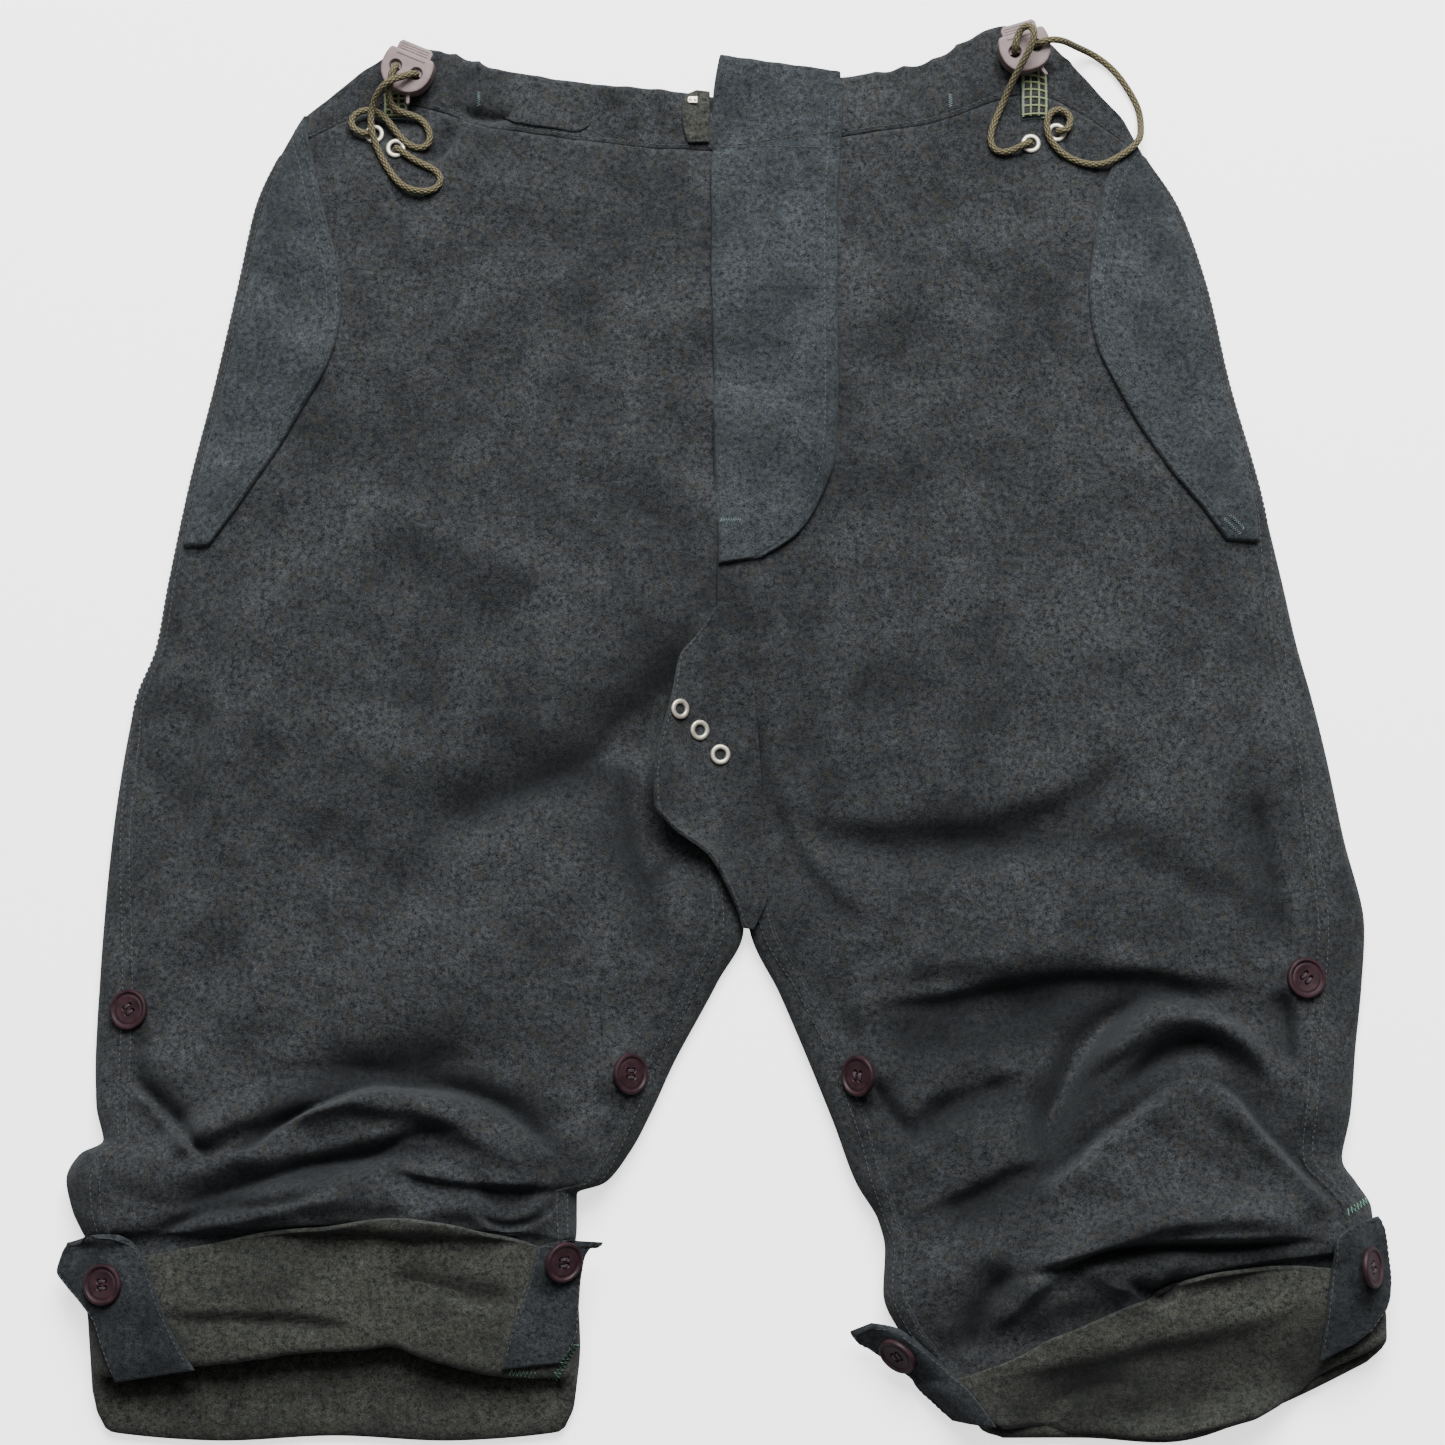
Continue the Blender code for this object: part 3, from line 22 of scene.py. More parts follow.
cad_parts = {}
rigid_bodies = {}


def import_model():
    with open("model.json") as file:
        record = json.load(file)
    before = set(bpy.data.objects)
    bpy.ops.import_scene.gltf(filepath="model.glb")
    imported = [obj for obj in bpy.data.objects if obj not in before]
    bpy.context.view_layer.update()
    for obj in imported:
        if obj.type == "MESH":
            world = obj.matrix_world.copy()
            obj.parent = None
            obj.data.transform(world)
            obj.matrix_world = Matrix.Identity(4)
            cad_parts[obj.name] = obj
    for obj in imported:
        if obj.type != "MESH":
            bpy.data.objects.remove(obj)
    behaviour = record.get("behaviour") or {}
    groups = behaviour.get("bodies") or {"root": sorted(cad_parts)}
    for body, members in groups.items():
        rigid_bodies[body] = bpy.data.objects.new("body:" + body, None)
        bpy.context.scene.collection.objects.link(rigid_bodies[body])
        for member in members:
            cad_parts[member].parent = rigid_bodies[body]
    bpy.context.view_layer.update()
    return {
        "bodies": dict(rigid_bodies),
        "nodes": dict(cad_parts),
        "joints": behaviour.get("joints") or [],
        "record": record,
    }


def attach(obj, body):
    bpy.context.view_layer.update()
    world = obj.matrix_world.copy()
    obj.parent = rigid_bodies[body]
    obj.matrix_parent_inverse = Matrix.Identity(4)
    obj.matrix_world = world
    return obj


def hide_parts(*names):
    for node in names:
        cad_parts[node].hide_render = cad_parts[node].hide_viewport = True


LOG = logging.getLogger("trousers")

Array = np.ndarray
Colour = tuple[float, float, float]

MM = 0.001
PLAN_SHIFT = (-0.17, -3.6)

WALL = 2.0
BAND_WALL = 2.8
DOUBLE = 3.0
LIFT = 0.6
CUFF_LAYER = 2.2
CUFF_INSET = 3.2
CUFF_TURN = 6.2
SWELL = 35.0
FADE = 14.0
# Painted shade in the creases: the crease depth at which it is full, its strength, how much of the
# folds' depth counts, the height above the floor below which the cloth gets none, and the span over
# which it grows.
PAINTED_SHADE_FULL_DEPTH = 12.0
PAINTED_SHADE_STRENGTH = 0.7
PAINTED_SHADE_FOLD_SHARE = 0.6
PAINTED_SHADE_LOWEST = 8
PAINTED_SHADE_RAMP = 5


class Held(Enum):
    """How a piece of cloth is held."""

    LAID = "laid"
    GATHERED = "gathered"
    FOLDED = "folded"


class Section(NamedTuple):
    """One section laid across a leg."""

    name: str
    out_x: float
    out_y: float
    in_x: float
    in_y: float
    bow_1: float
    bow_2: float
    bow_3: float
    height: float
    edge: float
    closed: float
    inset: float
    outseam: float
    inseam: float
    hem_drop: float


class Fold(NamedTuple):
    """A fold from point 1 to point 2."""

    name: str
    x_1: float
    y_1: float
    x_2: float
    y_2: float
    bend: float
    upper: float
    lower: float
    rise: float
    lean: float


class Crease(NamedTuple):
    """A crease along a path, with the reach and the rise of its left and its right side."""

    name: str
    left: float
    right: float
    left_rise: float
    right_rise: float
    path: tuple[tuple[float, float], ...]
    soft: float = 1.4


class Gather(NamedTuple):
    """Gathers of the elastic between two places across a leg."""

    x_1: float
    x_2: float
    count: float
    depth: float


RIGHT_ROWS = (
    Section("waist", -213, 305, -2.5, 317, 33, 19, 8, 14, 4.5, 0, 0, 8, 0, 0),
    Section("band_seam", -223, 286, -2.5, 287, 25, 13, 5, 16, 4.5, 0, 0, 8, 0, 0),
    Section("hip_top", -233, 263, -2.5, 256, 12, 6, 2, 19, 4.5, 0, 0, 8, 0, 0),
    Section("hip_1", -242, 219, -2.5, 214, 3, 1, 0, 23, 4.5, 0, 0, 8, 0, 0),
    Section("hip_2", -252, 171, -2.5, 168, 0, 0, 0, 25, 4.5, 0, 0, 8, 0, 0),
    Section("hip_3", -264, 119, -2.5, 120, 0, 0, 0, 26, 4.5, 0, 0, 8, 0, 0),
    Section("hip_4", -273, 71, -2.5, 73, 0, 0, 0, 26, 4.5, 0, 0, 8, 0, 0),
    Section("rise_end", -279, 37, -2.5, 38, 0, 0, 0, 26, 4.5, 0, 0, 9, 0, 0),
    Section("crotch_1", -288, 13, -0.4, 12, 0, 0, 0, 26, 4.5, 0.6, 0, 9, 0, 0),
    Section("crotch_2", -293, -13, 3.1, -18, 0, 0, 0, 26, 4.5, 1, 0, 12, 0, 0),
    Section("thigh_1", -298, -52, 7.1, -60, 0, 0, 0, 25, 4.5, 1, 0, 14, 19, 0),
    Section("thigh_2", -301, -89, 10.4, -100, 0, 0, 0, 25, 4.5, 1, 0, 18, 19, 0),
    Section("thigh_3", -303, -128, -3, -128, 0, 0, 0, 25, 4.5, 1, 0, 22, 18, 0),
    Section("knee_1", -304, -162, -24, -167, 0, 0, 0, 27, 5, 1, 0, 23, 17, 0),
    Section("knee_2", -303, -186, -34, -189, 0, 0, 0, 31, 6, 1, 0, 22, 17, 0),
    Section("bunch_1", -299, -203, -44, -208, 0, 0, 0, 34, 7, 1, 0, 20, 16, 0),
    Section("bunch_2", -310, -210, -57, -224, 0, 0, 0, 37, 8, 1, 0, 24, 14, 0),
    Section("bunch_3", -316, -222, -70, -229, 0, 0, 0, 38, 9, 1, 0, 26, 16, 0),
    Section("bunch_4", -313, -236, -70, -238, 0, 0, 0, 37, 9, 1, 0, 24, 16, 0),
    Section("bunch_5", -309, -247, -69, -248, 1, 3, 1.5, 34, 9, 1, 1, 22, 16, 0),
    Section("cuff_top", -307, -255, -68, -256, 2, 6, 3, 27, 9, 1, CUFF_INSET, 20, 16, 0),
    Section("cuff_1", -305, -275, -69, -276, 2, 5, 3, 28, 9, 1, CUFF_INSET, 20, 16, 3),
    Section("cuff_2", -303, -296, -68, -296, 4, 7, 4, 28, 9, 1, CUFF_INSET, 20, 16, 10),
    Section("hem", -301, -313, -70, -313, 7, 13, 7, 27, 9, 1, CUFF_INSET, 20, 16, 22),
)
LEFT_ROWS = (
    Section("waist", 202, 306, -2.5, 317, 44, 23, 11, 14, 4.5, 0, 0, 8, 0, 0),
    Section("band_seam", 213, 285, -2.5, 287, 31, 16, 7, 16, 4.5, 0, 0, 8, 0, 0),
    Section("hip_top", 228, 261, -2.5, 256, 14, 7, 3, 19, 4.5, 0, 0, 8, 0, 0),
    Section("hip_1", 242, 219, -2.5, 214, 3, 1, 0, 23, 4.5, 0, 0, 8, 0, 0),
    Section("hip_2", 252, 171, -2.5, 168, 0, 0, 0, 25, 4.5, 0, 0, 8, 0, 0),
    Section("hip_3", 265, 122, -2.5, 120, 0, 0, 0, 26, 4.5, 0, 0, 8, 0, 0),
    Section("hip_4", 276, 73, -2.5, 73, 0, 0, 0, 26, 4.5, 0, 0, 14, 0, 0),
    Section("rise_end", 283, 39, -2.5, 38, 0, 0, 0, 26, 4.5, 0, 0, 17, 0, 0),
    Section("crotch_1", 290, 12, 0.4, 12, 0, 0, 0, 26, 4.5, 0.6, 0, 19, 0, 0),
    Section("crotch_2", 296, -15, 3.9, -18, 0, 0, 0, 27, 4.5, 1, 0, 20, 0, 0),
    Section("thigh_1", 304, -57, 8.1, -60, 0, 0, 0, 27, 4.5, 1, 0, 24, 13, 0),
    Section("thigh_2", 313, -99, 13, -101, 0, 0, 0, 27, 4.5, 1, 0, 29, 15, 0),
    Section("thigh_3", 311, -128, 28, -133, 0, 0, 0, 28, 4.5, 1, 0, 29, 18, 0),
    Section("knee_1", 307, -160, 42, -166, 0, 0, 0, 29, 5, 1, 0, 29, 20, 0),
    Section("knee_2", 304, -189, 54, -196, 0, 0, 0, 31, 6, 1, 0, 29, 20, 0),
    Section("bunch_1", 299, -212, 64, -223, 0, 0, 0, 33, 7, 1, 0, 26, 18, 0),
    Section("bunch_2", 305, -223, 75, -242, 0, 0, 0, 36, 8, 1, 0, 24, 14, 0),
    Section("bunch_3", 312, -235, 78, -256, 0, 0, 0, 38, 9, 1, 0, 22, 16, 0),
    Section("bunch_4", 313, -245, 77, -276, 0, 0, 0, 37, 9, 1, 0, 20, 16, 0),
    Section("bunch_5", 314, -254, 84, -295, 3, 3, 0, 32, 9, 1, 1, 20, 16, 0),
    Section("cuff_top", 314, -261, 99, -313, 7, 7, 0, 25, 9, 1, CUFF_INSET, 20, 16, 0),
    Section("cuff_1", 316, -275, 109, -324, -2, 0, 0, 27, 9, 1, CUFF_INSET, 20, 16, 0),
    Section("cuff_2", 318, -287, 117, -332, -6, -8, -4, 27, 9, 1, CUFF_INSET, 20, 16, 2),
    Section("hem", 318, -297, 124, -338, -12, -19, -9, 26, 9, 1, CUFF_INSET, 20, 16, 5),
)

RIGHT_FOLDS = (
    Fold("hip_diagonal", -156, -55, -25, 25, -13, 26, 30, -5, 0),
    Fold("thigh_diagonal", -165, -91, -117, -43, 2, 18, 22, -4, 0),
    Fold("side_hollow", -241, 80, -267, -89, -4, 14, 14, -3.5, 0),
    Fold("knee_swell", -251, -128, -116, -130, 8, 45, 45, 4, 0),
    Fold("above_roll", -247, -206, -81, -171, 23, 22, 13, -5, 0),
    Fold("roll", -289, -227, -72, -230, 48, 14, 16, 11, 3),
    Fold("under_roll", -277, -233, -116, -208, 4, 10, 10, -6, 0),
    Fold("second_roll", -272, -248, -100, -240, 14, 11, 12, 5, 2),
    Fold("side_pinch", -279, -186, -247, -211, -9, 11, 11, -4, 0),
    Fold("inner_pinch", -120, -220, -84, -226, -12, 11, 11, -5, 0),
)
LEFT_FOLDS = (
    Fold("inner_hollow", 41, 61, 33, -42, 4, 16, 14, -4, 0),
    Fold("thigh_line", 24, -51, 207, -17, -28, 16, 22, -8, 0),
    Fold("thigh_side", 196, -60, 251, -91, -5, 16, 16, -5, 0),
    Fold("knee_line", 67, -140, 206, -128, 8, 13, 22, -6, 0),
    Fold("inseam_hollow", 57, -113, 93, -206, -13, 12, 14, -6, 0),
    Fold("inner_line", 91, -201, 137, -171, 4, 11, 16, -4, 0),
    Fold("diagonal", 204, -132, 148, -239, -13, 16, 18, -8, 0),
    Fold("arch", 165, -179, 271, -181, 34, 13, 12, 9, 0),
    Fold("under_arch", 189, -181, 255, -178, 20, 11, 11, -6, 0),
    Fold("face_left", 149, -227, 228, -173, 5, 16, 20, 5, 0),
    Fold("face_right", 228, -173, 299, -240, 2, 14, 16, 7, 0),
    Fold("overhang", 113, -311, 289, -245, 35, 14, 12, 9, 3),
    Fold("cuff_slope", 105, -350, 325, -308, 2, 38, 16, -12, 0),
)

# Creases that are too fine for the solids.
RIGHT_CREASES = (
    Crease("roll_edge", 27, 14, -18, 2, (
        (-247, -210), (-227, -208), (-212, -198), (-195, -186), (-164, -178), (-141, -179),
        (-105, -191), (-89, -203), (-71, -223))),
    Crease("roll_shadow", 10, 16, -8.5, -8, (
        (-288, -230), (-261, -234), (-240, -230), (-220, -223), (-195, -216), (-168, -210),
        (-149, -201), (-127, -197), (-105, -199))),
    Crease("second_edge", 10, 12, 4.5, -6.5, (
        (-165, -213), (-152, -219), (-141, -223), (-118, -226), (-96, -226), (-72, -229)), 1.8),
    Crease("second_shadow", 9, 12, -8, -6.5, (
        (-281, -252), (-266, -245), (-243, -237), (-220, -234), (-195, -228), (-174, -221))),
    Crease("pinch_curl", 6, 9, -8, 3.5, (
        (-121, -230), (-114, -241), (-102, -245), (-89, -242), (-78, -234), (-72, -230))),
    Crease("side_groove", 9, 6, -4, -2, ((-276, -147), (-280, -156), (-282, -173), (-279, -185)), 2.5),
    Crease("side_tuck", 15, 14, -14, 4, ((-287, -172), (-275, -184), (-260, -198), (-243, -217))),
    Crease("cuff_crease", 14, 15, 1.5, -6.5, (
        (-276, -285), (-255, -287), (-228, -287), (-205, -287), (-182, -290), (-164, -298)), 2.2),
    Crease("cuff_end", 17, 12, -9, 2, (
        (-166, -270), (-150, -275), (-133, -278), (-112, -281), (-92, -283)), 2.2),
    Crease("gusset_shadow", 22, 46, -8, -14, (
        (-6, 52), (-20, 31), (-28, 8), (-34, -16), (-36, -36), (-31, -51), (-14, -66), (-2, -82)), 3.0),
    Crease("thigh_valley", 24, 30, -6, -6, (
        (-28, -4), (-60, -18), (-90, -30), (-120, -42), (-152, -52)), 6.0),
    Crease("inner_shade", 20, 26, -5, -6, ((-40, -40), (-37, -70), (-33, -100), (-30, -126)), 5.0),
    Crease("band_pinch", 9, 8, -8, -4, ((-134, 313), (-127, 308), (-115, 306), (-103, 307)), 1.6),
    Crease("gather_shadow", 18, 17, 2.5, -9, ((-133, 303), (-134, 294), (-139, 284), (-150, 279)), 2.2),
)
LEFT_CREASES = (
    Crease("knee_edge", 18, 46, 4, -11, (
        (60, -152), (82, -138), (113, -134), (142, -129), (166, -124), (187, -123), (206, -124),
        (228, -129), (247, -130), (268, -136)), 3.2),
    Crease("knee_well", 22, 60, 2.5, -10, (
        (58, -150), (86, -147), (112, -143), (140, -138), (168, -134), (190, -132)), 8.0),
    Crease("seam_well", 5, 24, 0, -10, ((270, -126), (275, -140), (277, -156), (276, -174)), 1.6),
    Crease("diagonal_valley", 26, 22, -12, -12, (
        (207, -126), (193, -139), (183, -153), (174, -165), (165, -180), (157, -197), (149, -218)), 3.5),
    Crease("arch_valley", 7, 13, -4, -4, (
        (170, -190), (192, -177), (209, -165), (227, -156), (233, -154), (244, -160),
        (257, -172), (270, -184)), 1.8),
    Crease("arch_rim", 15, 11, 2.5, 2.5, (
        (172, -162), (192, -150), (209, -145), (227, -145), (243, -150), (260, -160), (273, -176)), 3.5),
    Crease("facet_left", 45, 28, 3, -12, (
        (227, -172), (205, -184), (185, -199), (164, -217), (146, -230)), 2.6),
    Crease("facet_right", 30, 45, -12, 3, (
        (227, -172), (243, -182), (259, -201), (276, -219), (294, -241)), 2.0),
    Crease("inner_trough", 16, 34, 1.5, -10, ((84, -210), (106, -186), (125, -178), (150, -168)), 4.5),
    Crease("low_trough", 16, 40, 1.5, -12, ((94, -236), (124, -226), (138, -219), (160, -213)), 4.0),
    Crease("inseam_groove", 16, 6, -8, -3, ((70, -172), (82, -192), (95, -208)), 1.8),
    Crease("overhang_edge", 16, 12, 6.0, -14, (
        (130, -270), (150, -261), (167, -257), (184, -254), (208, -253), (241, -253),
        (267, -252), (292, -250))),
    Crease("pocket", 9, 6, -9, -6, ((190, -271), (202, -276), (209, -278), (214, -274), (221, -268))),
    Crease("small_lobe", 9, 9, 3.5, 3.5, ((173, -261), (181, -271), (194, -278)), 2.0),
    Crease("side_hollow", 24, 20, -10, -9.5, ((142, -262), (127, -278), (120, -291), (114, -308)), 2.5),
    Crease("thigh_fold", 24, 17, 3, -6.5, ((13, 20), (21, -21), (33, -55), (57, -89), (90, -106)), 3.5),
    Crease("thigh_hollow", 26, 24, -4, -4.5, ((55, -52), (115, -57), (173, -62), (228, -48)), 4.0),
    Crease("cuff_band", 16, 24, 1.0, -6,
           ((118, -322), (160, -312), (205, -302), (250, -292), (292, -282)), 4.0),
    Crease("side_shade", 9, 36, -6, -7, ((256, -28), (264, -60), (269, -90), (272, -120)), 3.0),
    Crease("cuff_dent", 13, 11, -3, -2.5, ((150, -331), (176, -320), (200, -316)), 4.0),
)

RIGHT_GATHERS = (Gather(-144, -110, 3, 1.8), Gather(-62, -16, 3, 0.9))
LEFT_GATHERS = (Gather(64, 130, 5, 1.8), Gather(172, 190, 1, 1.2))

WAIST, BAND_SEAM, CUFF_TOP, HEM = 0.0, 1.0, 20.0, 23.0


class PlacketRow(NamedTuple):
    """A row of the placket, with its place on the left and on the right."""

    station_1: float
    x_1: float
    station_2: float
    x_2: float


PLACKET = (
    PlacketRow(-0.68, -1, -0.05, 59), PlacketRow(0.4, -5.5, 0.5, 60), PlacketRow(1.2, -6, 1.2, 59),
    PlacketRow(2.2, -5.5, 2.2, 57), PlacketRow(3.2, -5, 3.2, 57), PlacketRow(4.2, -4.5, 4.1, 57),
    PlacketRow(5.0, -4, 4.8, 55.5), PlacketRow(5.4, -3, 5.25, 48), PlacketRow(5.75, -2, 5.6, 37),
    PlacketRow(5.95, -2, 5.85, 20),
)


class FlapRow(NamedTuple):
    """A flap's free edge at a station."""

    station: float
    free_x: float


RIGHT_FLAP = (
    FlapRow(0.2, -207.5), FlapRow(0.6, -208), FlapRow(1.05, -207), FlapRow(1.6, -204),
    FlapRow(2.2, -200), FlapRow(2.7, -193), FlapRow(3.2, -188), FlapRow(3.7, -191),
    FlapRow(4.3, -206), FlapRow(4.9, -225), FlapRow(5.35, -241), FlapRow(5.65, -252),
)
LEFT_FLAP = (
    FlapRow(0.75, 203), FlapRow(1.05, 201), FlapRow(1.5, 197), FlapRow(2.0, 191),
    FlapRow(2.6, 185), FlapRow(3.1, 181), FlapRow(3.6, 183), FlapRow(4.1, 194),
    FlapRow(4.6, 208), FlapRow(5.0, 221), FlapRow(5.35, 236), FlapRow(5.65, 247),
)


class PatchRow(NamedTuple):
    """A patch on the waist."""

    name: str
    station_1: float
    station_2: float
    x_1: float
    x_2: float
    lift: float
    thickness: float


CASING = PatchRow("casing_patch", 0.12, 0.88, -111, -66, 0.3, 0.9)
LATTICE_RIGHT = PatchRow("lattice_patch_right", 0.78, 1.20, -170, -157, 0.7, 1.2)
LATTICE_LEFT = PatchRow("lattice_patch_left", 0.62, 1.30, 149, 163, 0.7, 1.2)


class StripRow(NamedTuple):
    """A row of a strip from its left to its right edge, with its least heights."""

    x_1: float
    y_1: float
    z_1: float
    x_2: float
    y_2: float
    z_2: float


GUSSET = (
    StripRow(-1, 57, 0, 5, 56, 0), StripRow(-14, 39, 0, 10, 44, 0),
    StripRow(-22, 28, 29, 14, 30, 0), StripRow(-26, 4, 30, 16, 8, 0),
    StripRow(-32, -16, 30, 18, -14, 0), StripRow(-34, -36, 29, 19, -34, 0),
    StripRow(-30, -49, 27, 20, -54, 0), StripRow(-11, -62, 24, 21, -68, 0),
    StripRow(1, -80, 20, 22, -83, 0), StripRow(7, -93, 16, 19, -94, 12),
    StripRow(9.5, -101, 12, 15, -102, 10),
)
TABS = {
    "tab_right_outer": (
        StripRow(-288, -318, 18, -250, -312, 20), StripRow(-294, -305, 18, -259, -298, 0),
        StripRow(-299, -290, 17, -267, -281, 0), StripRow(-310, -275, 15, -273, -265, 0),
        StripRow(-318, -266, 13, -281, -252, 0), StripRow(-316, -257, 13, -291, -248, 0),
        StripRow(-313, -252, 14, -302, -249, 20)),
    "tab_right_inner": (
        StripRow(-105, -312, 22, -77, -309, 18), StripRow(-101, -296, 0, -69, -294, 15),
        StripRow(-95, -280, 0, -69, -276, 14), StripRow(-90, -264, 0, -67, -262, 18),
        StripRow(-87, -254, 0, -62, -254, 22), StripRow(-74, -251, 26, -57, -252, 24)),
    "tab_left_outer": (
        StripRow(284, -308, 0, 301, -299, 0), StripRow(286, -292, 0, 315, -285, 0),
        StripRow(288, -276, 0, 318, -272, 8), StripRow(290, -262, 0, 317, -258, 10),
        StripRow(291, -251, 0, 315, -246, 14), StripRow(303, -242, 20, 312, -240, 18)),
    "tab_left_inner": (
        StripRow(112, -335, 4, 130, -339, 0), StripRow(98, -323, 4, 119, -324, 0),
        StripRow(84, -312, 5, 106, -311, 0), StripRow(72, -304, 7, 94, -300, 0),
        StripRow(64, -298, 10, 82, -292, 16), StripRow(61, -294, 14, 71, -290, 18)),
}
UNDERLAP = (
    StripRow(-14, 318.5, 0, -6.8, 318.5, 0), StripRow(-19, 315, 0, -6.8, 314, 0),
    StripRow(-20.5, 308, 0, -6.8, 308, 0), StripRow(-19.5, 299, 0, -6.8, 300, 0),
    StripRow(-17, 291, 0, -6.8, 291, 0),
)


CORD_DIAMETER = 3.4
CORDS = {
    "cord_right_upper": (
        (-152.4, 323.6, 26.8), (-153, 323.3, 28.2), (-153.8, 323, 29.4), (-154.8, 322.5, 30.3),
        (-158.8, 320.8, 32.1), (-162.8, 319.1, 34), (-167, 317.2, 33.8), (-170.5, 315, 31.7),
        (-172.4, 312.2, 28.4), (-173.6, 309.6, 24.7), (-175, 306.2, 21.8), (-176.2, 301.8, 21.2),
        (-175.4, 297.3, 22.3), (-174.1, 292.9, 21.7), (-172.8, 288.8, 19.7), (-171.1, 284.6, 18.7),
        (-168.6, 280.5, 19.1), (-166.2, 276.5, 19.5), (-163.7, 272.5, 19.9), (-161.1, 268.6, 20.2),
        (-157.3, 266.1, 20.5), (-152.7, 265.1, 20.7), (-148, 264.3, 20.9), (-143.4, 264.9, 20.8),
        (-139.4, 267.2, 20.7), (-138.4, 271.5, 20.4), (-140.2, 275.7, 20), (-144.1, 278, 19.8),
        (-148.8, 278.6, 19.7), (-153, 280.5, 19.8), (-156.5, 283.5, 20.9), (-159.7, 285.9, 20.4),
        (-160.8, 286.8, 20.1), (-161.9, 287.5, 19.4), (-162.9, 288.2, 18.5)),
    "cord_right_lower": (
        (-162.7, 327.9, 26.8), (-162.9, 327.3, 28.2), (-163.1, 326.4, 29.4), (-163.5, 325.3, 30.3),
        (-164.7, 321, 31.1), (-166, 316.7, 29.3), (-166.9, 312.9, 26.6), (-166.7, 309.9, 22.8),
        (-164.9, 306.9, 19.7), (-160.6, 305.2, 19.3), (-155.8, 305.6, 19.2), (-151.3, 305.1, 18.1),
        (-147.9, 301.9, 17.9), (-146.1, 297.5, 18.3), (-144.5, 293, 18.6), (-145.2, 288.5, 18.9),
        (-149.2, 286.5, 19.1), (-154, 286.8, 19.3), (-157.9, 289.3, 19.9), (-160.7, 293.2, 19.5),
        (-163.3, 297, 18.5), (-166, 301, 18.5), (-168.8, 305, 19), (-172.2, 308.2, 18.6),
        (-176.6, 309, 17.1), (-181.3, 308.9, 16.1), (-185.5, 306.9, 15.8), (-187.4, 302.7, 16),
        (-186.3, 298.2, 16.6), (-182.6, 295.7, 17.8), (-178.2, 295.6, 19.3), (-176.7, 295.7, 19),
        (-175.4, 295.7, 18.3), (-174.2, 295.8, 17.4)),
    "cord_left_inner": (
        (145.7, 335.2, 26.6), (145.7, 335.7, 28.2), (145.8, 336.8, 29.7), (145.9, 338.4, 30.7),
        (146.1, 341.9, 31.2), (147.5, 346.2, 32.1), (151, 348, 34.6), (154.5, 346.2, 37.1),
        (156, 341.7, 38.2), (154.8, 337.2, 37.6), (152.4, 333.2, 35.8), (149.8, 329.2, 33),
        (147, 325, 29.6), (144.6, 320.9, 25.8), (142.2, 316.4, 22), (140, 311.6, 19.2),
        (139.3, 308.8, 18.8), (137.1, 304.7, 18), (134.8, 300.4, 18.3), (133.5, 295.8, 18.6),
        (132.7, 291.1, 18.9), (133.3, 286.5, 19.2), (137.2, 284.3, 19.4), (141.9, 284.7, 19.3),
        (146.1, 287, 19.5), (150.2, 289.4, 20.4), (151.5, 290, 20.1), (152.7, 290.5, 19.4),
        (153.8, 291, 18.5)),
    "cord_left_outer": (
        (156.5, 338.5, 26.6), (157.1, 338.7, 28), (158, 338.9, 29.2), (159.1, 339.2, 30.2),
        (163.5, 340.3, 30.9), (167.5, 341.2, 28.4), (170.5, 341.6, 24.7), (173, 341.9, 20.5),
        (175.3, 342.2, 16.3), (177.8, 342.5, 12.2), (180.4, 342.8, 8.1), (183.4, 343.1, 4.3),
        (187.4, 342.1, 2.2), (191.3, 339.2, 2.1), (195, 336.2, 2.1), (198.7, 333, 2.1),
        (201.4, 329, 2), (203.8, 324.9, 2), (206.3, 320.7, 2), (208.8, 316.5, 2.1),
        (210.9, 312.2, 2.1), (210.9, 307.5, 2.1), (210.4, 303, 3.7), (210, 300, 7.4),
        (209.7, 297.4, 11.5), (209.2, 294, 14.8), (206.9, 290.2, 16.6), (203.2, 287.4, 17.8),
        (199.4, 284.7, 18.8), (195.5, 281.9, 19.5), (191.5, 279.3, 18.8), (187, 278.7, 17.7),
        (182.3, 279.7, 17.9), (177.6, 280.8, 18.2), (172.9, 282.1, 18.5), (169.2, 285, 18.5),
        (165.8, 288.5, 18.4), (162.7, 292.1, 18.7), (161.3, 296.6, 19), (161.1, 301.5, 19),
        (161.8, 306.1, 19.2), (165.1, 309.3, 18.6), (169.5, 309.9, 17.1), (173.6, 307.8, 16.4),
        (175.5, 303.6, 16.6), (174.9, 299.2, 17.8), (171.2, 297.2, 19.4), (169.7, 297.1, 19),
        (168.4, 297.1, 18.4), (167.2, 297, 17.4)),
}


def hermite(first: Array, second: Array, slope_1: Array, slope_2: Array, part: Array) -> Array:
    """A cubic from the first value to the second, with its slopes at both.

    Args:
        first, second: values at the two ends.
        slope_1, slope_2: slopes at the two ends.
        part: places between the ends, 0 to 1.

    Returns:
        The values at those places.
    """
    squared, cubed = part ** 2, part ** 3
    return (first * (2 * cubed - 3 * squared + 1) + slope_1 * (cubed - 2 * squared + part)
            + second * (3 * squared - 2 * cubed) + slope_2 * (cubed - squared))


def read_rows(values: Array, station: Array) -> Array:
    """The columns of a table at stations between its rows, and straight on past its ends.

    Args:
        values: a table with a row for each whole station.
        station: the places to read.

    Returns:
        The table's columns at each place, along a new last axis.
    """
    steps = np.diff(values, axis=0)
    before, after = steps[:-1], steps[1:]
    same_way = before * after > 0
    inner = np.where(same_way, 2 * before * after / np.where(same_way, before + after, 1), 0)
    slopes = np.concatenate([steps[:1], inner, steps[-1:]])
    last = len(values) - 1
    low = np.clip(np.floor(station), 0, last - 1).astype(int)
    part = np.clip(station - low, 0, 1)[..., None]
    inside = hermite(values[low], values[low + 1], slopes[low], slopes[low + 1], part)
    past = (station - np.clip(station, 0, last))[..., None]
    return inside + past * np.where(past < 0, slopes[0], slopes[-1])


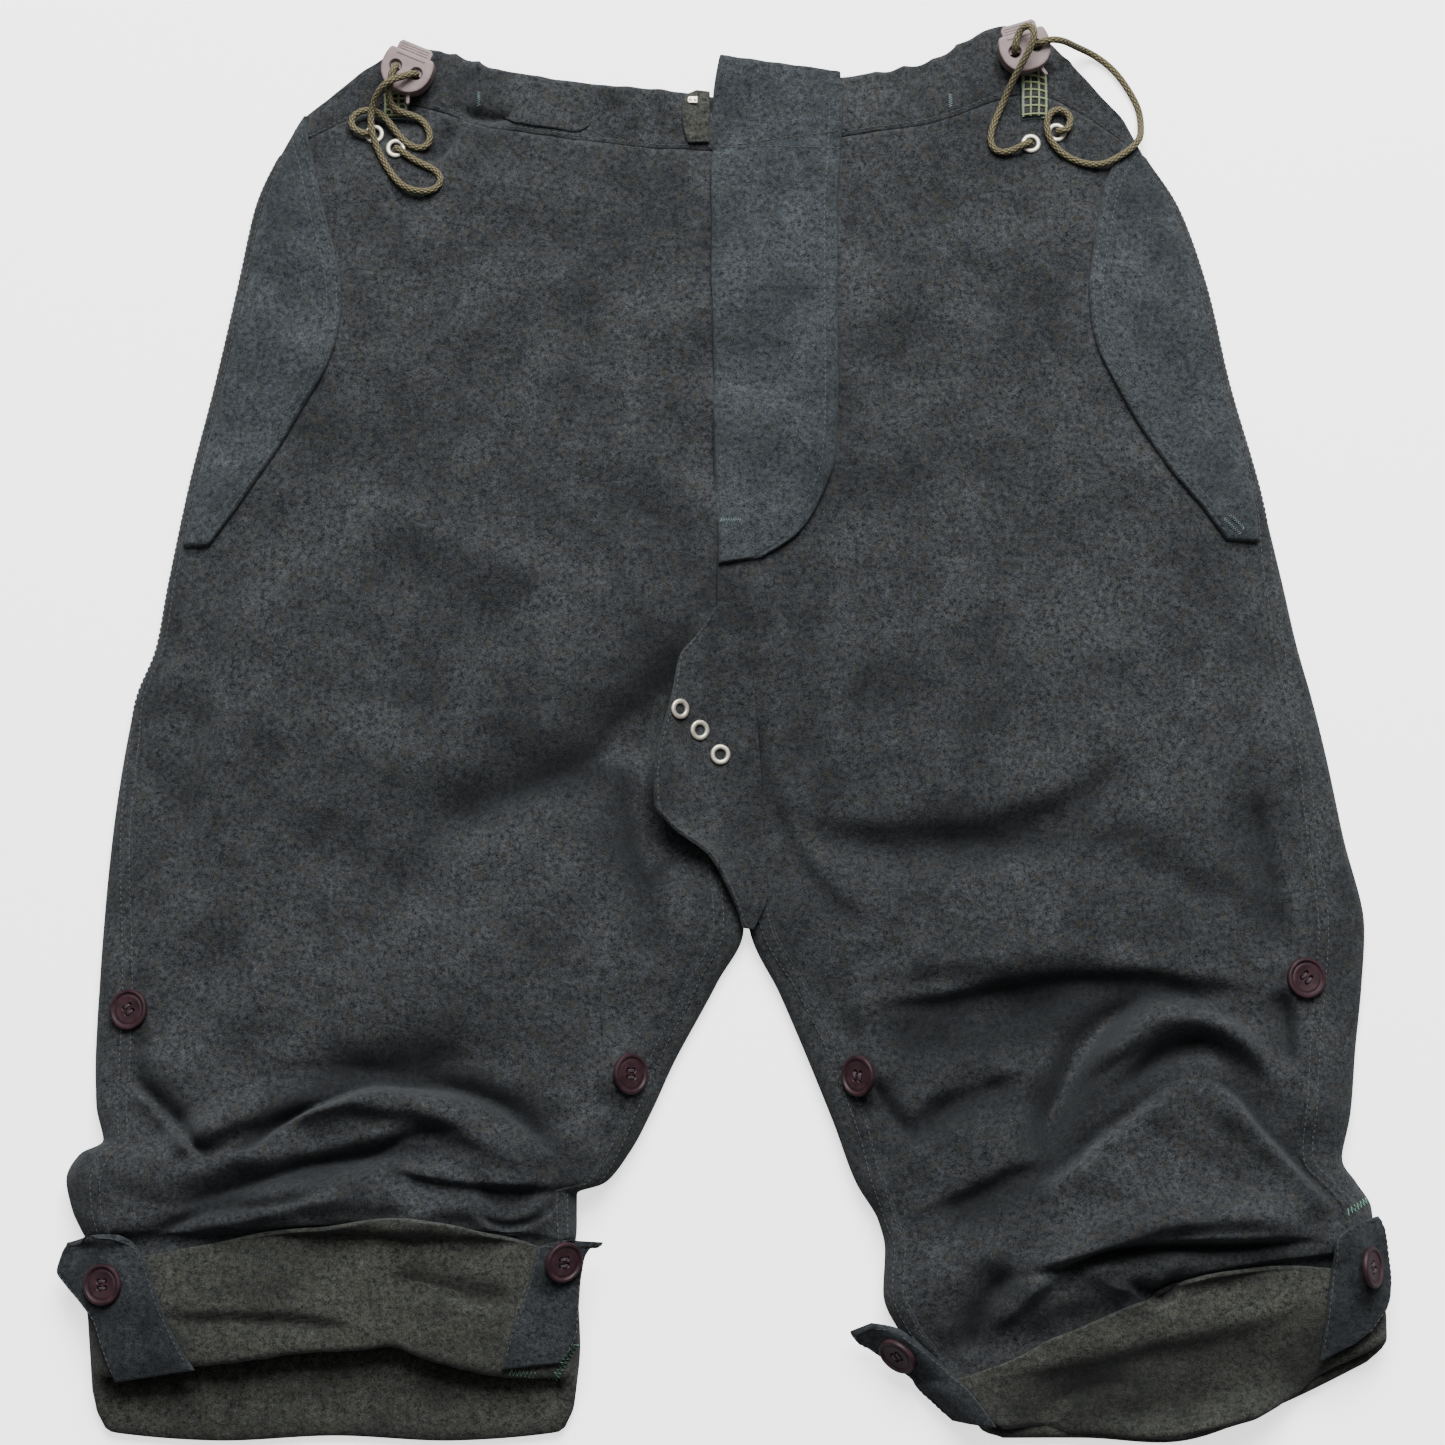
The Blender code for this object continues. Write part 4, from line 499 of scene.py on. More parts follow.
def read_bow(first: Array, second: Array, third: Array, part: Array) -> Array:
    """How far a section bows at a part of its width, from its three sizes."""
    knots = np.stack([0 * first, first, second, third, 0 * first])
    slopes = np.stack([first, second / 2, (third - first) / 2, -second / 2, -third])
    place = np.clip(part, 0, 1) * 4
    low = np.clip(np.floor(place), 0, 3).astype(int)[None]
    picked = [np.take_along_axis(row, index, 0)[0]
              for row in (knots, slopes) for index in (low, low + 1)]
    return hermite(picked[0], picked[1], picked[2], picked[3], place - low[0])


def ease(value: Array) -> Array:
    """A smooth step from 0 to 1."""
    value = np.clip(value, 0, 1)
    return value * value * (3 - 2 * value)


def ripple(x: Array, y: Array, seed: int, shortest: float, longest: float, count: int = 22) -> Array:
    """An uneven smooth field, the same on each run.

    Args:
        x, y: places in millimetres.
        seed: picks the field.
        shortest, longest: range of its wave lengths in millimetres.
        count: how many waves it has.

    Returns:
        Values that are mostly between -1 and 1.
    """
    chance = np.random.default_rng(seed)
    total = np.zeros(np.broadcast(x, y).shape)
    for _ in range(count):
        turn, phase = chance.uniform(0, 2 * math.pi, 2)
        wave = 2 * math.pi / chance.uniform(shortest, longest)
        total += np.sin(wave * (x * math.cos(turn) + y * math.sin(turn)) + phase)
    return total / math.sqrt(count) * 0.8


def smooth_line(knots: Sequence[tuple[float, float]], step: float = 2.0) -> Array:
    """A smooth line through points of the plan, read at even steps."""
    knots = np.array(knots, float)
    if len(knots) == 2:
        count = max(2, round(np.linalg.norm(knots[1] - knots[0]) / step) + 1)
        return knots[0] + (knots[1] - knots[0]) * np.linspace(0, 1, count)[:, None]
    fine = read_rows(knots, np.linspace(0, len(knots) - 1, 24 * len(knots)))
    reach = np.concatenate([[0], np.cumsum(np.linalg.norm(np.diff(fine, axis=0), axis=1))])
    places = np.linspace(0, reach[-1], max(3, round(reach[-1] / step) + 1))
    return np.stack([np.interp(places, reach, fine[:, axis]) for axis in range(2)], axis=1)


class LegForm:
    """One half of the trousers: its smooth outer surface and its seam lines."""

    def __init__(self, side: int, rows: Sequence[Section], folds: Sequence[Fold],
                 creases: Sequence[Crease], gathers: Sequence[Gather], seed: int,
                 belly: float) -> None:
        """Keep a leg's tables.

        Args:
            side: 1 for the right leg and -1 for the left.
            rows: its sections.
            folds: its large folds.
            creases: its fine ones.
            gathers: gathers of its waistband.
            seed: picks its unevenness.
            belly: how much more the underside of the hem hangs down in its middle.
        """
        self.belly = belly
        self.side = side
        self.rows = np.array([row[1:] for row in rows], float)
        self.folds = folds
        self.creases = [(crease, smooth_line(crease.path, 3.0)) for crease in creases]
        self.gathers = gathers
        self.seed = seed

    def columns(self, station: Array) -> Section:
        """The section table's columns at some stations, under their names."""
        values = np.moveaxis(read_rows(self.rows, np.asarray(station, float)), -1, 0)
        return Section("read", *values)

    def arcs(self, section: Section) -> tuple[Array, Array, Array, Array]:
        """Width of a section, the arcs of its outer and inner edges, and its length around."""
        width = np.hypot(section.in_x - section.out_x, section.in_y - section.out_y)
        outer_arc = section.edge * math.pi / 2
        inner_arc = section.edge * (1 + section.closed * (math.pi / 2 - 1))
        return width, outer_arc, inner_arc, width - 2 * section.edge + outer_arc + inner_arc

    def span(self, station: Array) -> Array:
        """Length around a section from its outer to its inner edge."""
        return self.arcs(self.columns(station))[3]

    def fold_shift(self, x: Array, y: Array) -> Array:
        """How far the folds move a point of the front."""
        shift = np.zeros(x.shape + (3,))
        wander = ripple(x, y, self.seed + 7, 38, 90)
        for fold in self.folds:
            along = np.array((fold.x_2 - fold.x_1, fold.y_2 - fold.y_1), float)
            length = math.hypot(*along)
            along /= length
            across = np.array((-along[1], along[0]))
            part = ((x - fold.x_1) * along[0] + (y - fold.y_1) * along[1]) / length
            away = (x - fold.x_1) * across[0] + (y - fold.y_1) * across[1]
            away = away - 4 * fold.bend * part * (1 - part) + 1.6 * wander
            away = away / np.where(away > 0, fold.upper, fold.lower)
            taper = ease(part / 0.25) * ease((1 - part) / 0.25)
            swell = taper * (0.5 + 0.5 * np.cos(math.pi * np.clip(away, -1, 1)))
            shift[..., 0] -= swell * fold.lean * across[0]
            shift[..., 1] -= swell * fold.lean * across[1]
            shift[..., 2] += swell * fold.rise
        for crease, path in self.creases:
            shift[..., 2] += self.crease_rise(crease, path, x + 1.1 * wander, y - 1.1 * wander)
        return shift

    def crease_rise(self, crease: Crease, path: Array, x: Array, y: Array) -> Array:
        """How far a crease raises some points."""
        nearest = np.full(x.shape, 1e9)
        away, part = np.zeros(x.shape), np.zeros(x.shape)
        reach = max(crease.left, crease.right)
        low, high = path.min(axis=0) - reach, path.max(axis=0) + reach
        near = (x > low[0]) & (x < high[0]) & (y > low[1]) & (y < high[1])
        if not near.any():
            return np.zeros(x.shape)
        a, b = x[near], y[near]
        near_most, signed, place = nearest[near], away[near], part[near]
        for number, (start, end) in enumerate(zip(path, path[1:])):
            way = end - start
            length = math.hypot(*way)
            along = np.clip(((a - start[0]) * way[0] + (b - start[1]) * way[1]) / length ** 2, 0, 1)
            off_x, off_y = a - start[0] - along * way[0], b - start[1] - along * way[1]
            gap = np.hypot(off_x, off_y)
            closer = gap < near_most
            side = np.sign(way[0] * off_y - way[1] * off_x)
            near_most = np.where(closer, gap, near_most)
            signed = np.where(closer, gap * side, signed)
            place = np.where(closer, (number + along) / (len(path) - 1), place)
        left = crease.left_rise * (1 - np.clip(signed / crease.left, 0, 1)) ** 2
        right = crease.right_rise * (1 - np.clip(-signed / crease.right, 0, 1)) ** 2
        turn = 0.5 + 0.5 * np.tanh(signed / crease.soft)
        taper = ease(place / 0.28) * ease((1 - place) / 0.28)
        inside = np.where(signed > 0, signed < crease.left, -signed < crease.right)
        rise = np.zeros(x.shape)
        rise[near] = (turn * left + (1 - turn) * right) * taper * inside
        return rise

    def gather_rise(self, station: Array, x: Array) -> Array:
        """Height of the waistband's gathers, most at the top edge and none at the seam."""
        rise = np.zeros(x.shape)
        for gather in self.gathers:
            part = (x - gather.x_1) / (gather.x_2 - gather.x_1)
            window = ease(part * 4) * ease((1 - part) * 4)
            rise += gather.depth * window * np.cos(2 * math.pi * gather.count * part)
        return rise * ease((BAND_SEAM - station) / 0.5)

    def skin(self, station: Array, around: Array) -> Array:
        """Points of the outer surface.

        Args:
            station: row numbers of the section table, with the places between them.
            around: the way along a section from its outer edge: over the front above zero,
                under the back below zero, and past the inner edge onto the front again.

        Returns:
            Points in millimetres.
        """
        station, around = np.broadcast_arrays(np.asarray(station, float), around)
        section = self.columns(station)
        width, outer_arc, inner_arc, span = self.arcs(section)
        wrapped = around < -span
        front = (around >= 0) | wrapped
        way = np.where(wrapped, 2 * span + around, np.abs(around))
        left = span - way
        outer_turn = np.clip(way / outer_arc, 0, 1) * math.pi / 2
        inner_part = np.clip(left / inner_arc, 0, 1)
        inner_turn = inner_part * math.pi / 2
        inward = np.where(way < outer_arc, section.edge * (1 - np.cos(outer_turn)),
                          section.edge + way - outer_arc)
        from_inner = section.edge * ((1 - section.closed) * inner_part
                                     + section.closed * (1 - np.cos(inner_turn)))
        inward = np.where(left < inner_arc, width - from_inner - np.minimum(left, 0), inward)
        rounding = np.sin(outer_turn) * (1 - section.closed + section.closed * np.sin(inner_turn))
        swell = ((section.height - 2 * section.edge) * (1 - np.exp(-inward / SWELL))
                 * (1 - section.closed * np.exp(-np.maximum(width - inward, 0) / SWELL)))
        z = section.edge + np.where(front, 1, -1) * section.edge * rounding + front * swell
        part = inward / width
        x = section.out_x + part * (section.in_x - section.out_x)
        y = section.out_y + part * (section.in_y - section.out_y)
        y = y + read_bow(section.bow_1, section.bow_2, section.bow_3, part)
        drop = section.hem_drop * (1 + self.belly * 4 * part * (1 - part))
        y = y - drop * ease(1 - z / (2 * section.edge))
        fade = ((1 - np.exp(-(inward / FADE) ** 2))
                * (1 - section.closed * np.exp(-((width - inward) / FADE) ** 2)))
        shift = self.fold_shift(x, y) * (fade * front)[..., None]
        shift[..., 2] += self.gather_rise(station, x) * fade * front
        scrunch = ease((station - 11.5) / 4) * ease((20.6 - station) / 1.5)
        waist = 1 - ease((station - 0.5) / 2.6)
        uneven = (1.75 * ripple(x, y, self.seed, 34, 95) + 0.22 * ripple(x, y, self.seed + 3, 9, 22)
                  + 1.5 * scrunch * ripple(x * 0.55, y, self.seed + 5, 13, 30)
                  + 0.75 * waist * ripple(x, y * 0.22, self.seed + 9, 9, 24))
        shift[..., 2] += uneven * fade * front
        return np.stack([x, y, z], axis=-1) + shift

    def surface(self, station: Array, around: Array, lift: Array | float = 0.0) -> Array:
        """Points at a lift over the outer surface, measured square to it."""
        station, around = np.broadcast_arrays(np.asarray(station, float), around)
        points = self.skin(station, around)
        span = self.span(station)
        ahead, behind = station + 0.02, station - 0.02
        down = (self.skin(ahead, around * self.span(ahead) / span)
                - self.skin(behind, around * self.span(behind) / span))
        across = self.skin(station, around + 0.3) - points
        normal = self.side * np.cross(down, across)
        normal /= np.linalg.norm(normal, axis=-1, keepdims=True)
        depth = lift - self.columns(station).inset
        return points + normal * np.asarray(depth)[..., None]

    def around_at(self, station: Array, x: Array) -> Array:
        """The way around to a place on the front, from its x."""
        section = self.columns(station)
        width, outer_arc, _, _ = self.arcs(section)
        part = (x - section.out_x) / (section.in_x - section.out_x)
        return part * width - section.edge + outer_arc

    def stations(self, first: float, last: float, spacing: float) -> Array:
        """Stations from a first to a last one, about evenly spaced in millimetres."""
        dense = np.linspace(first, last, 1200)
        span = self.span(dense)
        steps = [np.linalg.norm(np.diff(self.skin(dense, part * span), axis=0), axis=1)
                 for part in (0.1, 0.5, 0.9)]
        reach = np.concatenate([[0], np.cumsum(np.max(steps, axis=0))])
        count = math.ceil(reach[-1] / spacing)
        return np.interp(np.linspace(0, reach[-1], count + 1), reach, dense)


RIGHT = LegForm(1, RIGHT_ROWS, RIGHT_FOLDS, RIGHT_CREASES, RIGHT_GATHERS, 11, 0.7)
LEFT = LegForm(-1, LEFT_ROWS, LEFT_FOLDS, LEFT_CREASES, LEFT_GATHERS, 23, 0.0)
LEGS = {"right": RIGHT, "left": LEFT}


class NodeSheet:
    """A node tree with a short way to add and link its nodes."""

    def __init__(self, tree: bpy.types.NodeTree) -> None:
        """Start with an empty tree."""
        self.tree = tree
        tree.nodes.clear()

    def add(self, kind: str, values: dict | None = None, **settings: object) -> bpy.types.Node:
        """Add a node.

        Args:
            kind: the node's type.
            values: values or sockets for its inputs, by name or number.
            settings: its own properties.

        Returns:
            The node.
        """
        node = self.tree.nodes.new(kind)
        for name, setting in settings.items():
            setattr(node, name, setting)
        for name, value in (values or {}).items():
            if isinstance(value, bpy.types.NodeSocket):
                self.tree.links.new(value, node.inputs[name])
            else:
                node.inputs[name].default_value = value
        return node

    def maths(self, operation: str, first: object, second: object = 0.0) -> bpy.types.NodeSocket:
        """The result of a sum."""
        return self.add("ShaderNodeMath", {0: first, 1: second}, operation=operation).outputs[0]

    def mixed(self, part: object, first: object, second: object) -> bpy.types.NodeSocket:
        """A mix of two colours."""
        node = self.add("ShaderNodeMix", data_type="RGBA")
        for index, value in ((0, part), (6, first), (7, second)):
            if isinstance(value, bpy.types.NodeSocket):
                self.tree.links.new(value, node.inputs[index])
            else:
                node.inputs[index].default_value = value
        return node.outputs[2]

    def noise(self, place: object, scale: float, detail: float = 3.0,
              roughness: float = 0.55) -> bpy.types.NodeSocket:
        """Values of a noise at a place."""
        return self.add("ShaderNodeTexNoise", {
            "Vector": place, "Scale": scale, "Detail": detail, "Roughness": roughness}).outputs[0]

    def window(self, value: object, low: float, high: float) -> bpy.types.NodeSocket:
        """A value stretched so that low is 0 and high is 1."""
        return self.add("ShaderNodeMapRange", {
            "Value": value, "From Min": low, "From Max": high}).outputs[0]


def shader_group(name: str, inputs: Sequence[tuple[str, str, object]],
                 outputs: Sequence[tuple[str, str]]) -> tuple[NodeSheet, bpy.types.NodeTree]:
    """An empty shader node group with named sockets.

    Args:
        name: the group's name.
        inputs: name, socket type and value of each input.
        outputs: name and socket type of each output.

    Returns:
        The sheet to add nodes with, and the group.
    """
    tree = bpy.data.node_groups.new(name, "ShaderNodeTree")
    for label, kind, value in inputs:
        socket = tree.interface.new_socket(label, in_out="INPUT", socket_type=kind)
        socket.default_value = value
    for label, kind in outputs:
        tree.interface.new_socket(label, in_out="OUTPUT", socket_type=kind)
    return NodeSheet(tree), tree


def felt_group() -> bpy.types.NodeTree:
    """Fulled wool: a mix of fibre colours, soft patches, painted shade in the creases and a fuzzy
    height.
    """
    sheet, tree = shader_group(
        "fulled_wool",
        (("Ground", "NodeSocketColor", (0.05, 0.05, 0.05, 1)),
         ("Shade", "NodeSocketColor", (0.03, 0.03, 0.03, 1)),
         ("Fleck", "NodeSocketColor", (0.12, 0.12, 0.12, 1)),
         ("Warm", "NodeSocketColor", (0.08, 0.07, 0.05, 1)),
         ("Weave", "NodeSocketFloat", 0.0)),
        (("Colour", "NodeSocketColor"), ("Height", "NodeSocketFloat"), ("Nap", "NodeSocketFloat")))
    given = sheet.add("NodeGroupInput").outputs
    place = sheet.add("ShaderNodeTexCoord").outputs["Object"]
    patches = sheet.window(sheet.noise(place, 26, 5, 0.6), 0.36, 0.66)
    clouds = sheet.window(sheet.noise(place, 95, 4, 0.6), 0.36, 0.66)
    coarse = sheet.noise(place, 420, 5, 0.75)
    fibres = sheet.noise(place, 1500, 3, 0.65)
    melange = sheet.window(sheet.maths("ADD", sheet.maths("MULTIPLY", coarse, 0.6),
                                       sheet.maths("MULTIPLY", fibres, 0.4)), 0.40, 0.61)
    warm_spots = sheet.window(sheet.noise(place, 240, 4, 0.7), 0.50, 0.68)
    bright = sheet.window(sheet.noise(place, 1150, 2, 0.5), 0.64, 0.72)
    depth = sheet.maths("ADD", sheet.maths("MULTIPLY", patches, 0.72),
                        sheet.maths("MULTIPLY", clouds, 0.32))
    colour = sheet.mixed(depth, given["Fleck"], given["Ground"])
    colour = sheet.mixed(sheet.maths("SUBTRACT", 1.0, melange), colour, given["Shade"])
    colour = sheet.mixed(sheet.maths("MULTIPLY", warm_spots, 0.5), colour, given["Warm"])
    colour = sheet.mixed(sheet.maths("MULTIPLY", bright, 0.6), colour, given["Fleck"])
    # painted shade: where the cloth lies deep in a crease or fold, its colour is mixed towards the
    # darkest fibre colour
    hollow = sheet.add("ShaderNodeAttribute", attribute_name="hollow").outputs["Fac"]
    colour = sheet.mixed(sheet.maths("MULTIPLY", hollow, PAINTED_SHADE_STRENGTH), colour, given["Shade"])
    way = sheet.add("ShaderNodeSeparateXYZ", {0: place}).outputs
    ribs = [sheet.maths("SINE", sheet.maths("MULTIPLY", axis, 2 * math.pi / 0.0011))
            for axis in (way["X"], way["Y"])]
    weave = sheet.maths("MULTIPLY", sheet.maths("MULTIPLY", ribs[0], ribs[1]), given["Weave"])
    height = sheet.maths("ADD", sheet.maths("MULTIPLY", melange, 0.6),
                         sheet.maths("MULTIPLY", fibres, 0.7))
    height = sheet.maths("ADD", height, sheet.maths("MULTIPLY", weave, 0.35))
    nap = sheet.add("ShaderNodeMapRange", {
        "Value": fibres, "To Min": 0.86, "To Max": 1.0}).outputs[0]
    sheet.add("NodeGroupOutput", {"Colour": colour, "Height": height, "Nap": nap})
    return tree


def wear_group() -> bpy.types.NodeTree:
    """Fine scuffs and dust on a hard trim."""
    sheet, tree = shader_group(
        "trim_wear",
        (("Ground", "NodeSocketColor", (0.5, 0.5, 0.5, 1)),
         ("Rubbed", "NodeSocketColor", (0.7, 0.7, 0.7, 1)),
         ("Scale", "NodeSocketFloat", 300.0)),
        (("Colour", "NodeSocketColor"), ("Height", "NodeSocketFloat"), ("Gloss", "NodeSocketFloat")))
    given = sheet.add("NodeGroupInput").outputs
    place = sheet.add("ShaderNodeTexCoord").outputs["Object"]
    cloud = sheet.add("ShaderNodeTexNoise", {
        "Vector": place, "Scale": given["Scale"], "Detail": 5.0, "Roughness": 0.65}).outputs[0]
    fine = sheet.noise(place, 2600, 2)
    colour = sheet.mixed(sheet.window(cloud, 0.38, 0.72), given["Ground"], given["Rubbed"])
    gloss = sheet.add("ShaderNodeMapRange", {
        "Value": cloud, "To Min": 0.40, "To Max": 0.62}).outputs[0]
    height = sheet.maths("ADD", cloud, sheet.maths("MULTIPLY", fine, 0.3))
    sheet.add("NodeGroupOutput", {"Colour": colour, "Height": height, "Gloss": gloss})
    return tree


def braid_group() -> bpy.types.NodeTree:
    """Over and under threads of a braided cord, from its own map, with painted shade in the gaps between
    them.
    """
    sheet, tree = shader_group(
        "braid",
        (("Ground", "NodeSocketColor", (0.3, 0.27, 0.16, 1)),
         ("Painted_Gap_Shade", "NodeSocketColor", (0.1, 0.09, 0.05, 1)),
         ("Light", "NodeSocketColor", (0.4, 0.38, 0.25, 1))),
        (("Colour", "NodeSocketColor"), ("Height", "NodeSocketFloat")))
    given = sheet.add("NodeGroupInput").outputs
    way = sheet.add("ShaderNodeSeparateXYZ", {
        0: sheet.add("ShaderNodeUVMap", uv_map="way").outputs[0]}).outputs
    first = sheet.maths("ADD", way["X"], way["Y"])
    second = sheet.maths("SUBTRACT", way["X"], way["Y"])
    parts = [sheet.maths("SINE", sheet.maths("MULTIPLY", value, math.pi)) for value in (first, second)]
    height = sheet.maths("MULTIPLY", sheet.maths("ABSOLUTE", parts[0]),
                         sheet.maths("ABSOLUTE", parts[1]))
    height = sheet.maths("POWER", height, 0.5)
    place = sheet.add("ShaderNodeTexCoord").outputs["Object"]
    fuzz = sheet.noise(place, 2200, 3)
    # painted shade: the low gaps between the strands are coloured darker
    colour = sheet.mixed(sheet.window(height, 0.3, 0.9), given["Painted_Gap_Shade"], given["Ground"])
    colour = sheet.mixed(sheet.window(fuzz, 0.45, 0.75), colour, given["Light"])
    height = sheet.maths("ADD", height, sheet.maths("MULTIPLY", fuzz, 0.25))
    sheet.add("NodeGroupOutput", {"Colour": colour, "Height": height})
    return tree


def coloured(colour: Colour) -> tuple[float, float, float, float]:
    """A colour with its alpha."""
    return (*colour, 1.0)


def new_material(name: str) -> tuple[bpy.types.Material, NodeSheet]:
    """An empty material with its sheet of nodes."""
    made = bpy.data.materials.new(name)
    made.use_nodes = True
    return made, NodeSheet(made.node_tree)


def worn(sheet: NodeSheet, groups: dict[str, bpy.types.NodeTree], ground: Colour,
         rubbed: Colour, scale: float) -> bpy.types.Node:
    """The wear group in a sheet, with its colours and scale."""
    wear = sheet.add("ShaderNodeGroup", node_tree=groups["wear"])
    wear.inputs["Ground"].default_value = coloured(ground)
    wear.inputs["Rubbed"].default_value = coloured(rubbed)
    wear.inputs["Scale"].default_value = scale
    return wear


@dataclass(frozen=True)
class FeltFinish:
    """Fulled wool cloth."""

    name: str
    slot: str
    ground: Colour
    shade: Colour
    fleck: Colour
    warm: Colour
    weave: float = 0.0
    sheen: float = 0.25

    def make(self, groups: dict[str, bpy.types.NodeTree]) -> bpy.types.Material:
        """Build the material."""
        made, sheet = new_material(self.name)
        felt = sheet.add("ShaderNodeGroup", node_tree=groups["felt"])
        for label, value in (("Ground", self.ground), ("Shade", self.shade),
                             ("Fleck", self.fleck), ("Warm", self.warm)):
            felt.inputs[label].default_value = coloured(value)
        felt.inputs["Weave"].default_value = self.weave
        bump = sheet.add("ShaderNodeBump", {
            "Height": felt.outputs["Height"], "Strength": 0.55, "Distance": 0.0006})
        shader = sheet.add("ShaderNodeBsdfPrincipled", {
            "Base Color": felt.outputs["Colour"], "Roughness": felt.outputs["Nap"],
            "Normal": bump.outputs[0], "Specular IOR Level": 0.12,
            "Sheen Weight": self.sheen, "Sheen Roughness": 0.55,
            "Sheen Tint": (0.62, 0.68, 0.72, 1.0)})
        sheet.add("ShaderNodeOutputMaterial", {"Surface": shader.outputs[0]})
        return made


@dataclass(frozen=True)
class TrimFinish:
    """Horn, plastic or metal of a small hard part."""

    name: str
    slot: str
    ground: Colour
    rubbed: Colour
    scale: float
    metallic: float = 0.0
    shine: float = 0.32
    bump: float = 0.12

    def make(self, groups: dict[str, bpy.types.NodeTree]) -> bpy.types.Material:
        """Build the material."""
        made, sheet = new_material(self.name)
        wear = worn(sheet, groups, self.ground, self.rubbed, self.scale)
        bump = sheet.add("ShaderNodeBump", {
            "Height": wear.outputs["Height"], "Strength": self.bump, "Distance": 0.0003})
        shader = sheet.add("ShaderNodeBsdfPrincipled", {
            "Base Color": wear.outputs["Colour"], "Roughness": wear.outputs["Gloss"],
            "Normal": bump.outputs[0], "Metallic": self.metallic,
            "Specular IOR Level": self.shine})
        sheet.add("ShaderNodeOutputMaterial", {"Surface": shader.outputs[0]})
        return made


@dataclass(frozen=True)
class ThreadFinish:
    """Sewing or embroidery thread."""

    name: str
    slot: str
    ground: Colour
    light: Colour
    scale: float = 1400.0

    def make(self, groups: dict[str, bpy.types.NodeTree]) -> bpy.types.Material:
        """Build the material."""
        made, sheet = new_material(self.name)
        wear = worn(sheet, groups, self.ground, self.light, self.scale)
        bump = sheet.add("ShaderNodeBump", {
            "Height": wear.outputs["Height"], "Strength": 0.4, "Distance": 0.0002})
        shader = sheet.add("ShaderNodeBsdfPrincipled", {
            "Base Color": wear.outputs["Colour"], "Roughness": 0.7,
            "Normal": bump.outputs[0], "Sheen Weight": 0.15})
        sheet.add("ShaderNodeOutputMaterial", {"Surface": shader.outputs[0]})
        return made


@dataclass(frozen=True)
class CordFinish:
    """Braided elastic cord."""

    name: str
    slot: str
    ground: Colour
    # painted shade in the gaps between the strands
    gap: Colour
    light: Colour

    def make(self, groups: dict[str, bpy.types.NodeTree]) -> bpy.types.Material:
        """Build the material."""
        made, sheet = new_material(self.name)
        braid = sheet.add("ShaderNodeGroup", node_tree=groups["braid"])
        for label, value in (("Ground", self.ground), ("Painted_Gap_Shade", self.gap), ("Light", self.light)):
            braid.inputs[label].default_value = coloured(value)
        bump = sheet.add("ShaderNodeBump", {
            "Height": braid.outputs["Height"], "Strength": 1.0, "Distance": 0.0007})
        shader = sheet.add("ShaderNodeBsdfPrincipled", {
            "Base Color": braid.outputs["Colour"], "Roughness": 0.72,
            "Normal": bump.outputs[0], "Sheen Weight": 0.04, "Specular IOR Level": 0.25})
        sheet.add("ShaderNodeOutputMaterial", {"Surface": shader.outputs[0]})
        return made


FINISHES = (
    FeltFinish("charcoal_felt", "wool", (0.0180, 0.0200, 0.0222), (0.0028, 0.0034, 0.0042),
               (0.056, 0.060, 0.064), (0.027, 0.023, 0.0155), sheen=0.08),
    FeltFinish("facing_felt", "facing_wool", (0.0220, 0.0265, 0.0298), (0.0046, 0.0060, 0.0075),
               (0.064, 0.074, 0.080), (0.030, 0.031, 0.026), 0.8, sheen=0.08),
    FeltFinish("tab_felt", "facing_wool", (0.0145, 0.0168, 0.0190), (0.0026, 0.0034, 0.0044),
               (0.042, 0.047, 0.052), (0.020, 0.020, 0.017), 0.8, sheen=0.06),
    FeltFinish("reverse_felt", "reverse_wool", (0.0255, 0.0272, 0.0240), (0.0046, 0.0053, 0.0050),
               (0.070, 0.073, 0.063), (0.033, 0.030, 0.020), sheen=0.08),
    TrimFinish("plum_horn", "button_plum", (0.0150, 0.0062, 0.0086), (0.034, 0.015, 0.020), 160,
               shine=0.2),
    TrimFinish("ivory_nickel", "eyelet_nickel", (0.46, 0.42, 0.35), (0.60, 0.57, 0.50), 240,
               metallic=0.85),
    TrimFinish("dusty_pink", "lock_pink", (0.150, 0.106, 0.106), (0.205, 0.158, 0.154), 130),
    ThreadFinish("lattice_green", "lattice_thread", (0.105, 0.130, 0.056), (0.165, 0.19, 0.095)),
    ThreadFinish("seam_thread", "wool", (0.010, 0.012, 0.0135), (0.024, 0.028, 0.031)),
    ThreadFinish("blue_thread", "facing_wool", (0.055, 0.088, 0.092), (0.11, 0.16, 0.16)),
    ThreadFinish("hem_green", "lattice_thread", (0.05, 0.15, 0.10), (0.13, 0.30, 0.21)),
    ThreadFinish("plum_thread", "button_plum", (0.022, 0.012, 0.016), (0.045, 0.027, 0.034)),
    # the cord's second colour is painted shade in the gaps between its strands
    CordFinish("khaki_braid", "cord_khaki", (0.118, 0.100, 0.050), (0.026, 0.021, 0.010),
               (0.170, 0.148, 0.082)),
)


class Wardrobe:
    """All finishes, made once."""

    def __init__(self) -> None:
        """Build the shared groups and every material."""
        groups = {"felt": felt_group(), "wear": wear_group(), "braid": braid_group()}
        self.made = {finish.name: finish.make(groups) for finish in FINISHES}
        self.slots = {finish.name: finish.slot for finish in FINISHES}

    def dress(self, piece: bpy.types.Object, finish: str, body: str = "root") -> bpy.types.Object:
        """Give a piece its finish and the body it rides on."""
        piece.data.materials.clear()
        piece.data.materials.append(self.made[finish])
        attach(piece, body)
        return piece


def linked(name: str, data: bpy.types.ID) -> bpy.types.Object:
    """A new object in the scene."""
    made = bpy.data.objects.new(name, data)
    bpy.context.scene.collection.objects.link(made)
    return made


def apply_modifiers(made: bpy.types.Object) -> None:
    """Make the result of an object's modifiers its mesh."""
    bpy.context.view_layer.update()
    result = bpy.data.meshes.new_from_object(
        made.evaluated_get(bpy.context.evaluated_depsgraph_get()))
    made.modifiers.clear()
    made.data = result


